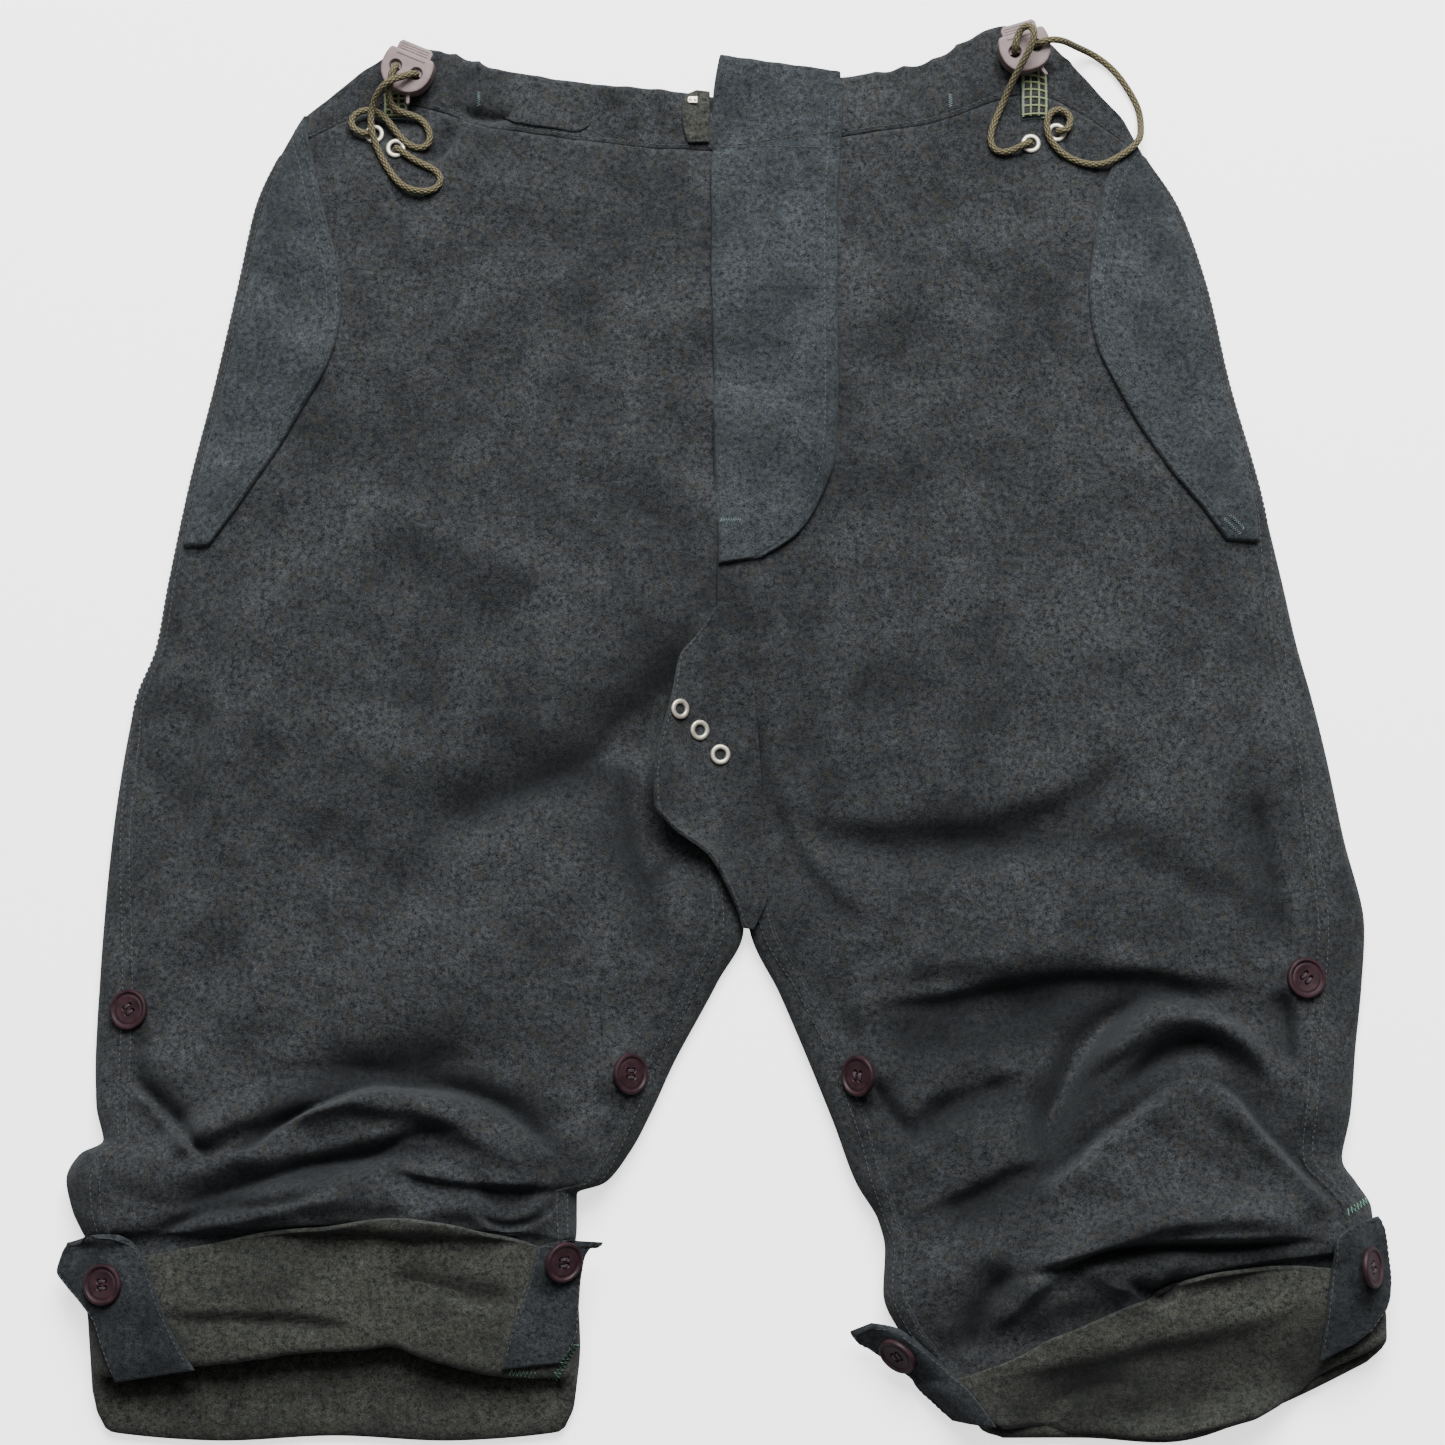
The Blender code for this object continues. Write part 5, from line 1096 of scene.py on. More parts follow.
def link_mesh(name: str, points: Array, faces: Array | list, uv: Array | None = None,
              sharp: float | None = None) -> bpy.types.Object:
    """An object from points in the tables' millimetres.

    Args:
        name: its name.
        points: its corners.
        faces: corners of each face.
        uv: a map with a row for each corner, or None.
        sharp: angle in degrees past which edges are sharp, or None.

    Returns:
        The object.
    """
    points = np.asarray(points, float) + (*PLAN_SHIFT, 0.0)
    mesh = bpy.data.meshes.new(name)
    mesh.from_pydata((points * MM).tolist(), [], [list(map(int, face)) for face in faces])
    if uv is not None:
        layer = mesh.uv_layers.new(name="way")
        corners = np.empty(len(mesh.loops), int)
        mesh.loops.foreach_get("vertex_index", corners)
        layer.data.foreach_set("uv", np.asarray(uv, np.float32)[corners].ravel())
    mesh.shade_smooth()
    if sharp is not None:
        mesh.set_sharp_from_angle(angle=math.radians(sharp))
    made = linked(name, mesh)
    return made


def grid_faces(at: Array) -> Array:
    """Faces between the corners of a grid of point numbers."""
    return np.stack([at[:-1, :-1], at[:-1, 1:], at[1:, 1:], at[1:, :-1]], axis=-1).reshape(-1, 4)


def turned_out(points: Array, faces: Array) -> Array:
    """Faces of a closed form, turned outwards."""
    a, b, c, d = (points[faces[:, number]] for number in range(4))
    volume = (a * np.cross(b, c)).sum() + (a * np.cross(c, d)).sum()
    return faces if volume > 0 else faces[:, ::-1]


def cloth_solid(name: str, outer: Array, inner: Array) -> bpy.types.Object:
    """A closed wall of cloth between two grids of points."""
    rows, columns = outer.shape[:2]
    count = rows * columns
    points = np.concatenate([outer.reshape(-1, 3), inner.reshape(-1, 3)])
    at = np.arange(count).reshape(rows, columns)
    rim = np.concatenate([at[0, :], at[1:, -1], at[-1, -2::-1], at[-2:0:-1, 0]])
    after = np.roll(rim, -1)
    faces = np.concatenate([
        grid_faces(at), grid_faces(at + count)[:, ::-1],
        np.stack([after, rim, rim + count, after + count], axis=1)])
    return link_mesh(name, points, turned_out(points, faces))


def cloth_ring(name: str, loops: Array) -> bpy.types.Object:
    """A closed ring of cloth from loops of points, the last joined to the first."""
    rows, columns = loops.shape[:2]
    at = np.arange(rows * columns).reshape(rows, columns)
    at = np.concatenate([at, at[:1]])
    at = np.concatenate([at, at[:, :1]], axis=1)
    points = loops.reshape(-1, 3)
    return link_mesh(name, points, turned_out(points, grid_faces(at)))


def spread(rows: Sequence[tuple], count: int) -> Array:
    """A table's rows as smooth columns, at evenly spaced places through it."""
    values = np.array([list(row) for row in rows], float)
    places = np.linspace(0, len(rows) - 1, count)
    return np.moveaxis(read_rows(values, places), -1, 0)


def softened(values: Array, reach: int) -> Array:
    """Values with their corners rounded off, each the mean of those within reach."""
    spread_out = np.pad(values, reach, mode="reflect", reflect_type="odd")
    window = np.hanning(2 * reach + 3)[1:-1]
    return np.convolve(spread_out, window / window.sum(), mode="valid")


def between(first: Array, second: Array, parts: Array) -> Array:
    """Values from a first to a second column, row by row."""
    return first[:, None] + (second - first)[:, None] * parts


def edge_parts(count: int, edge: float = 0.012) -> Array:
    """Parts from 0 to 1 that lie closer by both ends."""
    inner = np.linspace(edge * 2, 1 - edge * 2, count)
    return np.concatenate([[0, edge * 0.35, edge], inner, [1 - edge, 1 - edge * 0.35, 1]])


def rounded(away: Array, radius: float) -> Array:
    """A rounded edge: 0 at the edge and 1 from a radius inwards."""
    part = np.clip(away / radius, 0, 1)
    return np.sqrt(1 - (1 - part) ** 2)


def reach_of(grid: Array) -> tuple[float, float]:
    """The longest row and the longest column of a grid, in metres."""
    width = np.linalg.norm(np.diff(grid, axis=1), axis=2).sum(axis=1).max()
    length = np.linalg.norm(np.diff(grid, axis=0), axis=2).sum(axis=0).max()
    return float(width) * MM, float(length) * MM


class Support:
    """The top surface of everything made so far, to lay other pieces on."""

    def __init__(self) -> None:
        """Gather the scene's cloth."""
        points, faces, start = [], [], 0
        for made in bpy.context.scene.objects:
            if made.type == "MESH" and made.name.endswith("_cloth"):
                mesh = made.data
                places = np.empty(len(mesh.vertices) * 3)
                mesh.vertices.foreach_get("co", places)
                points.append(places.reshape(-1, 3) / MM - (*PLAN_SHIFT, 0.0))
                faces += [[start + index for index in face.vertices] for face in mesh.polygons]
                start += len(mesh.vertices)
        self.tree = BVHTree.FromPolygons(np.concatenate(points).tolist(), faces)

    def height(self, x: float, y: float) -> float | None:
        """Height of the top surface at a place, or None where nothing lies."""
        hit = self.tree.ray_cast(Vector((x, y, 200)), Vector((0, 0, -1)))[0]
        return None if hit is None else hit.z

    def most(self, x: float, y: float, reach: float) -> float | None:
        """The greatest height within reach of a place."""
        spots = [(0.0, 0.0)] + [
            (ring * reach * math.cos(way * math.pi / 4), ring * reach * math.sin(way * math.pi / 4))
            for ring in (0.5, 1.0) for way in range(8)]
        heights = [self.height(x + a, y + b) for a, b in spots]
        heights = [height for height in heights if height is not None]
        return max(heights) if heights else None


def smooth_grid(values: Array, times: int) -> Array:
    """A grid of heights, each moved to the middle of its neighbours some times."""
    for _ in range(times):
        padded = np.pad(values, 1, mode="edge")
        values = (padded[:-2, 1:-1] + padded[2:, 1:-1] + padded[1:-1, :-2] + padded[1:-1, 2:]) / 4
    return values


def grid_normals(points: Array) -> Array:
    """Upward normals of a grid of points."""
    down, across = np.gradient(points, axis=0), np.gradient(points, axis=1)
    normal = np.cross(down, across)
    normal /= np.maximum(np.linalg.norm(normal, axis=-1, keepdims=True), 1e-9)
    return normal * np.where(normal[..., 2:] < 0, -1, 1)


@dataclass
class Panels:
    """Front and back panels of both legs, with felled seams where the back laps the front."""

    spacing: float = 2.3
    tuck: float = 6.0
    felled: float = 8.5
    felled_rise: float = 0.9

    def front(self, word: str) -> bpy.types.Object:
        """Build one front."""
        leg = LEGS[word]
        stations = np.concatenate([leg.stations(BAND_SEAM + 0.006, 11.5, self.spacing * 1.35)[:-1],
                                   leg.stations(11.5, HEM - 0.35, self.spacing * 0.75)])
        section, span = leg.columns(stations), leg.span(stations)
        start = section.outseam - self.tuck
        end = span - np.maximum(section.inseam - self.tuck * (section.inseam > 8), 0.02)
        count = math.ceil((end - start).max() / self.spacing)
        around = between(start, end, np.linspace(0, 1, count + 1))
        seam = 0.4 * np.exp(-((stations - BAND_SEAM) * 24 / 1.8) ** 2)
        outer = leg.surface(stations[:, None], around, -seam[:, None])
        made = cloth_solid(f"front_{word}_cloth", outer,
                           leg.surface(stations[:, None], around, -WALL))
        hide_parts(f"front_{word}")
        return made

    def back_ways(self, leg: LegForm, stations: Array) -> Array:
        """Ways around of a back's columns, close on the wraps and wider underneath."""
        section = leg.columns(stations)
        _, outer_arc, inner_arc, span = leg.arcs(section)
        inseam = np.maximum(section.inseam, 0.02)
        closed = section.closed * np.clip(section.inseam / 12, 0, 1)
        low_end = -span + (1 - closed) * 30 + closed * (inner_arc + 2)
        last = -span + (1 - closed) * 0.02 - closed * inseam
        pieces = (between(section.outseam, -outer_arc - 2, np.linspace(0, 1, 22)),
                  between(-outer_arc - 2, low_end, np.linspace(0, 1, 34)[1:]),
                  between(low_end, last, np.linspace(0, 1, 22)[1:]))
        return np.concatenate(pieces, axis=1)

    def felled_lift(self, leg: LegForm, stations: Array, around: Array) -> Array:
        """How far a back lies over the fronts by its seams, with dips along the stitches."""
        section, span = leg.columns(stations), leg.span(stations)
        from_out = section.outseam[:, None] - around
        from_in = around + span[:, None] + section.inseam[:, None]
        lift = np.zeros(around.shape)
        for away, there in ((from_out, np.ones(len(stations))), (from_in, section.inseam > 8)):
            rise = self.felled_rise * (1 - ease((away - self.felled + 3) / 3))
            dips = sum(np.exp(-((away - stitch) / 0.7) ** 2) for stitch in (1.6, 6.4))
            lift = lift + (rise - 0.3 * dips * (away < self.felled)) * there[:, None]
        return lift

    def back(self, word: str) -> bpy.types.Object:
        """Build one back."""
        leg = LEGS[word]
        stations = leg.stations(BAND_SEAM, HEM - 0.35, self.spacing * 1.25)
        around = self.back_ways(leg, stations)
        lift = self.felled_lift(leg, stations, around)
        outer = leg.surface(stations[:, None], around, lift)
        outer[..., 2] = np.maximum(outer[..., 2], 0.0)
        made = cloth_solid(f"back_{word}_cloth", outer,
                           leg.surface(stations[:, None], around, -WALL))
        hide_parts(f"back_{word}")
        return made

    def build(self, wardrobe: Wardrobe) -> None:
        """Make all four and dress them."""
        for word in LEGS:
            wardrobe.dress(self.front(word), "charcoal_felt")
            wardrobe.dress(self.back(word), "charcoal_felt")
            LOG.info("front and back %s", word)


@dataclass
class Waistband:
    """The waistband, a pressed casing with gathers where the elastic pulls."""

    spacing: float = 1.7

    def top_edge(self, stations: Array) -> Array:
        """Rounding of the folded top edge, as a depth below the surface."""
        return 1.4 * (1 - rounded((stations - WAIST) * 26, 1.6))

    def build(self, wardrobe: Wardrobe) -> None:
        """Make the band over both fronts and backs."""
        for word, leg in LEGS.items():
            stations = leg.stations(WAIST, BAND_SEAM - 0.006, self.spacing)
            section, span = leg.columns(stations), leg.span(stations)
            parts = np.linspace(0, 1, 130)
            around = between(section.outseam, span - 0.02, parts)
            points = leg.skin(stations[:, None], around)
            pucker = 0.6 * ripple(points[..., 0], points[..., 1] * 0.3, leg.seed + 31, 5, 13)
            seam = np.exp(-(((stations - 0.93) * 26) / 1.1) ** 2)[:, None]
            ends = ease(stations / 0.25) * ease((1.0 - stations) / 0.3)
            lift = pucker * ends[:, None] - 0.45 * seam
            lift = lift - 0.4 * np.exp(-((stations - BAND_SEAM) * 26 / 1.8) ** 2)[:, None]
            lift = lift - self.top_edge(stations)[:, None]
            outer = leg.surface(stations[:, None], around, lift)
            front = cloth_solid(f"waistband_front_{word}_cloth", outer,
                                leg.surface(stations[:, None], around, -BAND_WALL))
            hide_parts(f"waistband_front_{word}")
            wardrobe.dress(front, "charcoal_felt")
            around = between(section.outseam + 0.5, -span + 0.02, np.linspace(0, 1, 70))
            outer = leg.surface(stations[:, None], around, -self.top_edge(stations)[:, None] * 0.5)
            outer[..., 2] = np.maximum(outer[..., 2], 0.0)
            back = cloth_solid(f"waistband_back_{word}_cloth", outer,
                               leg.surface(stations[:, None], around, -BAND_WALL))
            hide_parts(f"waistband_back_{word}")
            wardrobe.dress(back, "charcoal_felt")
            LOG.info("waistband %s", word)


def facing_grid(leg: LegForm, station: Array, around: Array, thickness: float, edge: float,
                dips: Array | float = 0.0) -> tuple[Array, Array]:
    """Outer and inner points of a piece that lies on a leg.

    Args:
        leg: the leg under it.
        station, around: its places.
        thickness: its thickness.
        edge: radius of its rounded edges.
        dips: how far its outer face is pressed in.

    Returns:
        The two grids.
    """
    inner = leg.surface(station, around, LIFT)
    away = edge_distance(inner)
    lift = LIFT + 0.3 + (thickness - 0.3) * rounded(away, edge) - dips
    return leg.surface(station, around, lift), inner


def edge_distance(points: Array) -> Array:
    """How far each point of a grid is from its rim, along its rows and columns."""
    def both_ways(axis: int) -> Array:
        """How far each point is from both ends along one axis."""
        steps = np.linalg.norm(np.diff(points, axis=axis), axis=2)
        pad = [(0, 0), (0, 0)]
        pad[axis] = (1, 0)
        ahead = np.cumsum(np.pad(steps, pad), axis=axis)
        return np.minimum(ahead, np.take(ahead, [-1], axis=axis) - ahead)
    return np.minimum(both_ways(0), both_ways(1))


def press(away: Array, place: float, width: float = 0.8, depth: float = 0.35) -> Array:
    """The dip that a row of stitches presses into cloth at a distance from an edge."""
    return depth * np.exp(-((away - place) / width) ** 2)


@dataclass
class Fly:
    """The fly: a placket that lies on the left front and an underlap with its hook."""

    stitch_in: float = 6.5
    band_row: float = 1.0
    underlap_wall: float = 1.5

    def placket(self, wardrobe: Wardrobe) -> None:
        """Make the placket."""
        rows, columns = 150, 30
        station_1, x_1, station_2, x_2 = spread(PLACKET, rows)
        parts = edge_parts(columns)
        station, x = between(station_1, station_2, parts), between(x_1, x_2, parts)
        around = LEFT.around_at(station, x)
        flat = LEFT.surface(station, around, LIFT)
        width = np.linalg.norm(np.diff(flat, axis=1), axis=2)
        from_right = np.cumsum(np.pad(width, ((0, 0), (1, 0)))[:, ::-1], axis=1)[:, ::-1]
        from_right = from_right - from_right[:, -1:]
        dips = press(from_right, self.stitch_in, 1.1, 0.4)
        dips = dips + press((station - self.band_row) * 28, 0.0, 1.6, 0.5)
        creases = 0.28 * ripple(flat[..., 0] * 0.7, flat[..., 1], 47, 14, 40)
        outer, inner = facing_grid(LEFT, station, around, DOUBLE, 1.3, dips - creases)
        made = cloth_solid("fly_placket_cloth", outer, inner)
        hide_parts("fly_placket")
        wardrobe.dress(made, "facing_felt")

    def build(self, wardrobe: Wardrobe) -> None:
        """Make the placket and the underlap."""
        under = StripCloth("fly_underlap", UNDERLAP, self.underlap_wall, 6, 3, 1.5, 0.6, 0.6)
        under.build(Support(), wardrobe, "reverse_felt", "waistband_front_right_cloth")
        self.placket(wardrobe)
        LOG.info("fly")


@dataclass
class PocketFlap:
    """A long curved pocket flap with a stitched free edge, sewn into the outseam."""

    word: str
    rows: Sequence[FlapRow]
    stitches: tuple[float, float] = (2.2, 7.0)

    def build(self, wardrobe: Wardrobe) -> None:
        """Make the flap."""
        leg = LEGS[self.word]
        station, free_x = spread(self.rows, 130)
        free_x = softened(free_x, 7)
        start = leg.columns(station).outseam + 0.15
        around = between(start, leg.around_at(station, free_x), edge_parts(26))
        flat = leg.surface(station[:, None], around, LIFT)
        steps = np.pad(np.linalg.norm(np.diff(flat, axis=1), axis=2), ((0, 0), (1, 0)))
        from_seam = np.cumsum(steps, axis=1)
        from_free = from_seam[:, -1:] - from_seam
        dips = sum(press(from_free, place) for place in self.stitches) + press(from_seam, 1.2, 1.0)
        waves = 0.3 * ripple(flat[..., 0], flat[..., 1] * 0.6, leg.seed + 61, 16, 46)
        outer, inner = facing_grid(leg, station[:, None], around, DOUBLE, 1.2, dips - waves)
        name = f"pocket_flap_{self.word}"
        made = cloth_solid(f"{name}_cloth", outer, inner)
        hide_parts(name)
        wardrobe.dress(made, "facing_felt")
        LOG.info("pocket flap %s", self.word)


@dataclass
class WaistPatch:
    """A small patch with round ends on the waist."""

    word: str
    patch: PatchRow
    finish: str
    roundness: float = 0.18

    def build(self, wardrobe: Wardrobe) -> None:
        """Make the patch."""
        leg, patch = LEGS[self.word], self.patch
        part = np.linspace(-1, 1, 44)
        corner = np.clip((np.abs(part) - 1 + self.roundness) / self.roundness, 0, 0.995)
        reach = 0.35 + 0.65 * np.sqrt(1 - corner ** 2)
        x = (patch.x_1 + patch.x_2) / 2 + (patch.x_2 - patch.x_1) / 2 * part
        middle = (patch.station_1 + patch.station_2) / 2
        half = (patch.station_2 - patch.station_1) / 2
        station = middle + half * reach * np.linspace(-1, 1, 26)[:, None]
        x = np.broadcast_to(x, station.shape)
        around = leg.around_at(station, x)
        flat = leg.surface(station, around, patch.lift)
        away = edge_distance(flat)
        lift = patch.lift + 0.2 + (patch.thickness - 0.2) * rounded(away, 0.9)
        outer = leg.surface(station, around, lift - press(away, 1.8, 0.6, 0.2))
        made = cloth_solid(f"{patch.name}_cloth", outer, flat)
        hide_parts(patch.name)
        wardrobe.dress(made, self.finish)
        LOG.info(patch.name)


class CuffRow(NamedTuple):
    """Where a cuff's top edge and its hem fold lie at a part of the leg's width."""

    part: float
    top: float
    hem: float


RIGHT_CUFF = (
    CuffRow(0, 20.3, 0), CuffRow(0.15, 20.4, 0.05), CuffRow(0.33, 20.0, 0.15),
    CuffRow(0.5, 18.9, 0.2), CuffRow(0.57, 18.5, 0.05), CuffRow(0.62, 18.25, -0.32),
    CuffRow(0.67, 18.2, 0.0), CuffRow(0.75, 18.6, 0.2), CuffRow(0.83, 19.3, 0.22),
    CuffRow(0.91, 20.2, 0.12), CuffRow(1, 20.4, 0),
)
LEFT_CUFF = (
    CuffRow(0, 20.2, 0), CuffRow(0.14, 20.2, 0), CuffRow(0.25, 19.7, 0.05),
    CuffRow(0.36, 19.05, 0.1), CuffRow(0.44, 19.2, 0.1), CuffRow(0.52, 20.3, 0.05),
    CuffRow(0.59, 19.7, 0), CuffRow(0.73, 19.85, 0), CuffRow(0.82, 20.3, 0.05),
    CuffRow(0.92, 20.5, 0.05), CuffRow(1, 20.4, 0),
)


@dataclass
class Cuff:
    """A turned-up cuff: outer layer, fold at the hem and the turn inside."""

    word: str
    rows: tuple[CuffRow, ...]
    spacing: float = 2.2
    over_wool: float = 2.9

    def profile(self) -> list[tuple[float, float, float]]:
        """Part of the way down, step past the hem row and depth, around the cuff's section."""
        inner = CUFF_TURN + WALL
        ways = np.concatenate([[0, 0.004, 0.012, 0.025], np.linspace(0.045, 1, 27)])
        outer = [(way, 0.0, 1.1 * (1 - float(rounded(np.array(way * 55), 1.3)))) for way in ways]
        turn = [(1.0, 0.35 * math.sin(a), inner / 2 * (1 - math.cos(a)))
                for a in np.linspace(0, math.pi, 13)[1:-1]]
        up = [(1.0, -step, inner) for step in np.linspace(0, 1.6, 8)]
        down = [(1.0, -step, CUFF_TURN) for step in np.linspace(1.6, 0, 6)]
        inside = up + [(1.0, -1.7, inner - 0.4), (1.0, -1.7, CUFF_TURN + 0.3)] + down + [
            (1.0, 0.15, (CUFF_TURN + CUFF_LAYER) / 2), (1.0, 0.05, CUFF_LAYER)]
        return outer + turn + inside + [(way, 0.0, CUFF_LAYER) for way in ways[::-3]]

    def build(self, wardrobe: Wardrobe) -> None:
        """Make the cuff."""
        leg = LEGS[self.word]
        over = np.linspace(0, 1, round(290 / self.spacing), endpoint=False)
        under = np.linspace(-1, 0, 60, endpoint=False)
        parts = np.concatenate([over, under])
        table = np.array(self.rows)
        top = np.interp(np.abs(parts), table[:, 0], softened(table[:, 1], 1))
        top = np.where(parts < 0, 20.35, top)
        hem = np.where(parts < 0, 0.0, np.interp(np.abs(parts), table[:, 0], table[:, 2]))
        top, hem = (softened(np.tile(line, 3), 4)[len(parts):2 * len(parts)] for line in (top, hem))
        loops = []
        for way, step, depth in self.profile():
            station = top + (22.85 - top) * way + hem * way ** 3 + step
            lift = leg.columns(station).inset - depth
            lift = lift + self.over_wool * ease((20.6 - station) / 2.4)
            loop = leg.surface(station, parts * leg.span(station), lift)
            loop[:, 2] = np.maximum(loop[:, 2], 0.0)
            loops.append(loop)
        loops = np.stack(loops)
        made = cloth_ring(f"cuff_{self.word}_cloth", loops)
        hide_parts(f"cuff_{self.word}")
        wardrobe.dress(made, "reverse_felt")
        LOG.info("cuff %s", self.word)


@dataclass
class StripCloth:
    """A piece that lies over what is under it, row by row from its left to its right edge."""

    name: str
    rows: Sequence[StripRow]
    thickness: float
    coarse_rows: int
    coarse_columns: int
    reach: float
    lift: float
    edge: float
    stitch: float = 0.0
    spacing: float = 1.6
    blend: float = 0.0

    def build(self, under: Support, wardrobe: Wardrobe, finish: str, rests_on: str) -> Array:
        """Lay the piece on what is under it.

        Args:
            under: what it lies on.
            wardrobe: the finishes.
            finish: the one it has.
            rests_on: the piece that carries it; not used.

        Returns:
            Its outer points.
        """
        x_1, y_1, z_1, x_2, y_2, z_2 = spread(self.rows, self.coarse_rows)
        parts = np.linspace(0, 1, self.coarse_columns)
        x, y, z = (between(first, second, parts)
                   for first, second in ((x_1, x_2), (y_1, y_2), (z_1, z_2)))
        for place in np.ndindex(x.shape):
            height = under.most(x[place], y[place], self.reach)
            if height is not None:
                z[place] = max(z[place], height + self.lift)
        z = np.maximum(z, smooth_grid(z, 1))
        low = np.stack([x, y, z], axis=-1)
        width, length = (value / MM for value in reach_of(low))
        many_rows = max(12, round(length / self.spacing))
        many_columns = max(8, round(width / self.spacing))
        fine = read_rows(low.reshape(len(low), -1), np.linspace(0, len(low) - 1, many_rows))
        fine = fine.reshape(many_rows, len(parts), 3).transpose(1, 0, 2)
        places = edge_parts(many_columns) * (len(parts) - 1)
        fine = read_rows(fine.reshape(len(parts), -1), places)
        fine = fine.reshape(len(places), many_rows, 3).transpose(1, 0, 2)
        ends = edge_parts(many_rows) * (many_rows - 1)
        fine = read_rows(fine.reshape(many_rows, -1), ends).reshape(len(ends), len(places), 3)
        for place in np.ndindex(fine.shape[:2]):
            height = under.height(fine[place][0], fine[place][1])
            if height is not None:
                fine[place][2] = max(fine[place][2], height + self.lift * (0.3 if self.blend else 0.6))
        fine[..., 2] = np.maximum(fine[..., 2], smooth_grid(fine[..., 2], 2))
        away = edge_distance(fine)
        depth = self.thickness * (0.15 + 0.85 * rounded(away, self.edge))
        if self.stitch:
            depth = depth - press(away, self.stitch)
        if self.blend:
            steps = np.pad(np.linalg.norm(np.diff(fine, axis=1), axis=2), ((0, 0), (1, 0)))
            way = np.cumsum(steps, axis=1)
            depth = depth * (0.05 + 0.95 * ease((way[:, -1:] - way) / self.blend))
        outer = fine + grid_normals(fine) * depth[..., None]
        made = cloth_solid(f"{self.name}_cloth", outer, fine)
        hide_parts(self.name)
        wardrobe.dress(made, finish)
        LOG.info(self.name)
        return outer


def join_rings(form: bmesh.types.BMesh, rings: Sequence[list]) -> None:
    """Faces from each ring of corners to the next."""
    sides = len(rings[0])
    for low, high in zip(rings, rings[1:]):
        for number in range(sides):
            after = (number + 1) % sides
            form.faces.new((low[number], low[after], high[after], high[number]))


def lathe(profile: Sequence[tuple[float, float]], sides: int) -> bmesh.types.BMesh:
    """A closed form turned about Z from radii and heights."""
    form = bmesh.new()
    rings = []
    for radius, height in profile:
        turns = [2 * math.pi * number / sides for number in range(sides)]
        rings.append([form.verts.new((radius * math.cos(a), radius * math.sin(a), height))
                      for a in turns])
    join_rings(form, rings)
    return form


def capped(form: bmesh.types.BMesh) -> bmesh.types.BMesh:
    """Close a form's open ends."""
    bmesh.ops.holes_fill(form, edges=[edge for edge in form.edges if edge.is_boundary])
    bmesh.ops.recalc_face_normals(form, faces=form.faces)
    return form


def prism(outline: Sequence[tuple[float, float]], low: float, high: float) -> bmesh.types.BMesh:
    """An outline pushed up from a low to a high level."""
    form = bmesh.new()
    base = form.faces.new([form.verts.new((x, y, low)) for x, y in outline])
    raised = bmesh.ops.extrude_face_region(form, geom=[base])["geom"]
    corners = [item for item in raised if isinstance(item, bmesh.types.BMVert)]
    bmesh.ops.translate(form, vec=(0, 0, high - low), verts=corners)
    bmesh.ops.recalc_face_normals(form, faces=form.faces)
    return form


def bevel_all(form: bmesh.types.BMesh, width: float, segments: int = 2,
              angle: float = 30.0) -> bmesh.types.BMesh:
    """Round every edge that is sharper than an angle in degrees."""
    sharp = [edge for edge in form.edges
             if len(edge.link_faces) == 2 and edge.calc_face_angle() > math.radians(angle)]
    bmesh.ops.bevel(form, geom=sharp, offset=width, segments=segments, affect="EDGES", profile=0.6)
    return form


def moved(form: bmesh.types.BMesh, place: tuple[float, float, float],
          turn: Quaternion | None = None) -> bmesh.types.BMesh:
    """A form turned and then moved."""
    matrix = Matrix.Translation(place) @ (turn.to_matrix().to_4x4() if turn else Matrix())
    form.transform(matrix)
    return form


def as_mesh(name: str, forms: Sequence[bmesh.types.BMesh], sharp: float = 35.0) -> bpy.types.Mesh:
    """One mesh from some forms in millimetres."""
    mesh = bpy.data.meshes.new(name)
    whole = bmesh.new()
    for form in forms:
        piece = bpy.data.meshes.new("part")
        form.to_mesh(piece)
        form.free()
        whole.from_mesh(piece)
        bpy.data.meshes.remove(piece)
    whole.to_mesh(mesh)
    whole.free()
    mesh.shade_smooth()
    mesh.set_sharp_from_angle(angle=math.radians(sharp))
    return mesh


def carved(name: str, solid: bmesh.types.BMesh,
           cutters: Sequence[bmesh.types.BMesh]) -> bmesh.types.BMesh:
    """A form with cutters taken out of it."""
    made = linked(name, as_mesh(name, [solid]))
    for number, cutter in enumerate(cutters):
        tool = linked("tool", as_mesh("tool", [cutter]))
        cut = made.modifiers.new(f"cut_{number}", "BOOLEAN")
        cut.object, cut.operation, cut.solver = tool, "DIFFERENCE", "EXACT"
        apply_modifiers(made)
        bpy.data.objects.remove(tool)
    form = bmesh.new()
    form.from_mesh(made.data)
    bpy.data.objects.remove(made)
    return form


def set_down(name: str, mesh: bpy.types.Mesh, place: Vector, turn: Quaternion) -> bpy.types.Object:
    """A copy of a mesh in millimetres, turned and put at a place, with the place in its mesh."""
    copy = mesh.copy()
    copy.name = name
    shift = Vector((*PLAN_SHIFT, 0.0))
    copy.transform(Matrix.Translation((place + shift) * MM) @ turn.to_matrix().to_4x4()
                   @ Matrix.Diagonal((MM, MM, MM, 1.0)))
    return linked(name, copy)


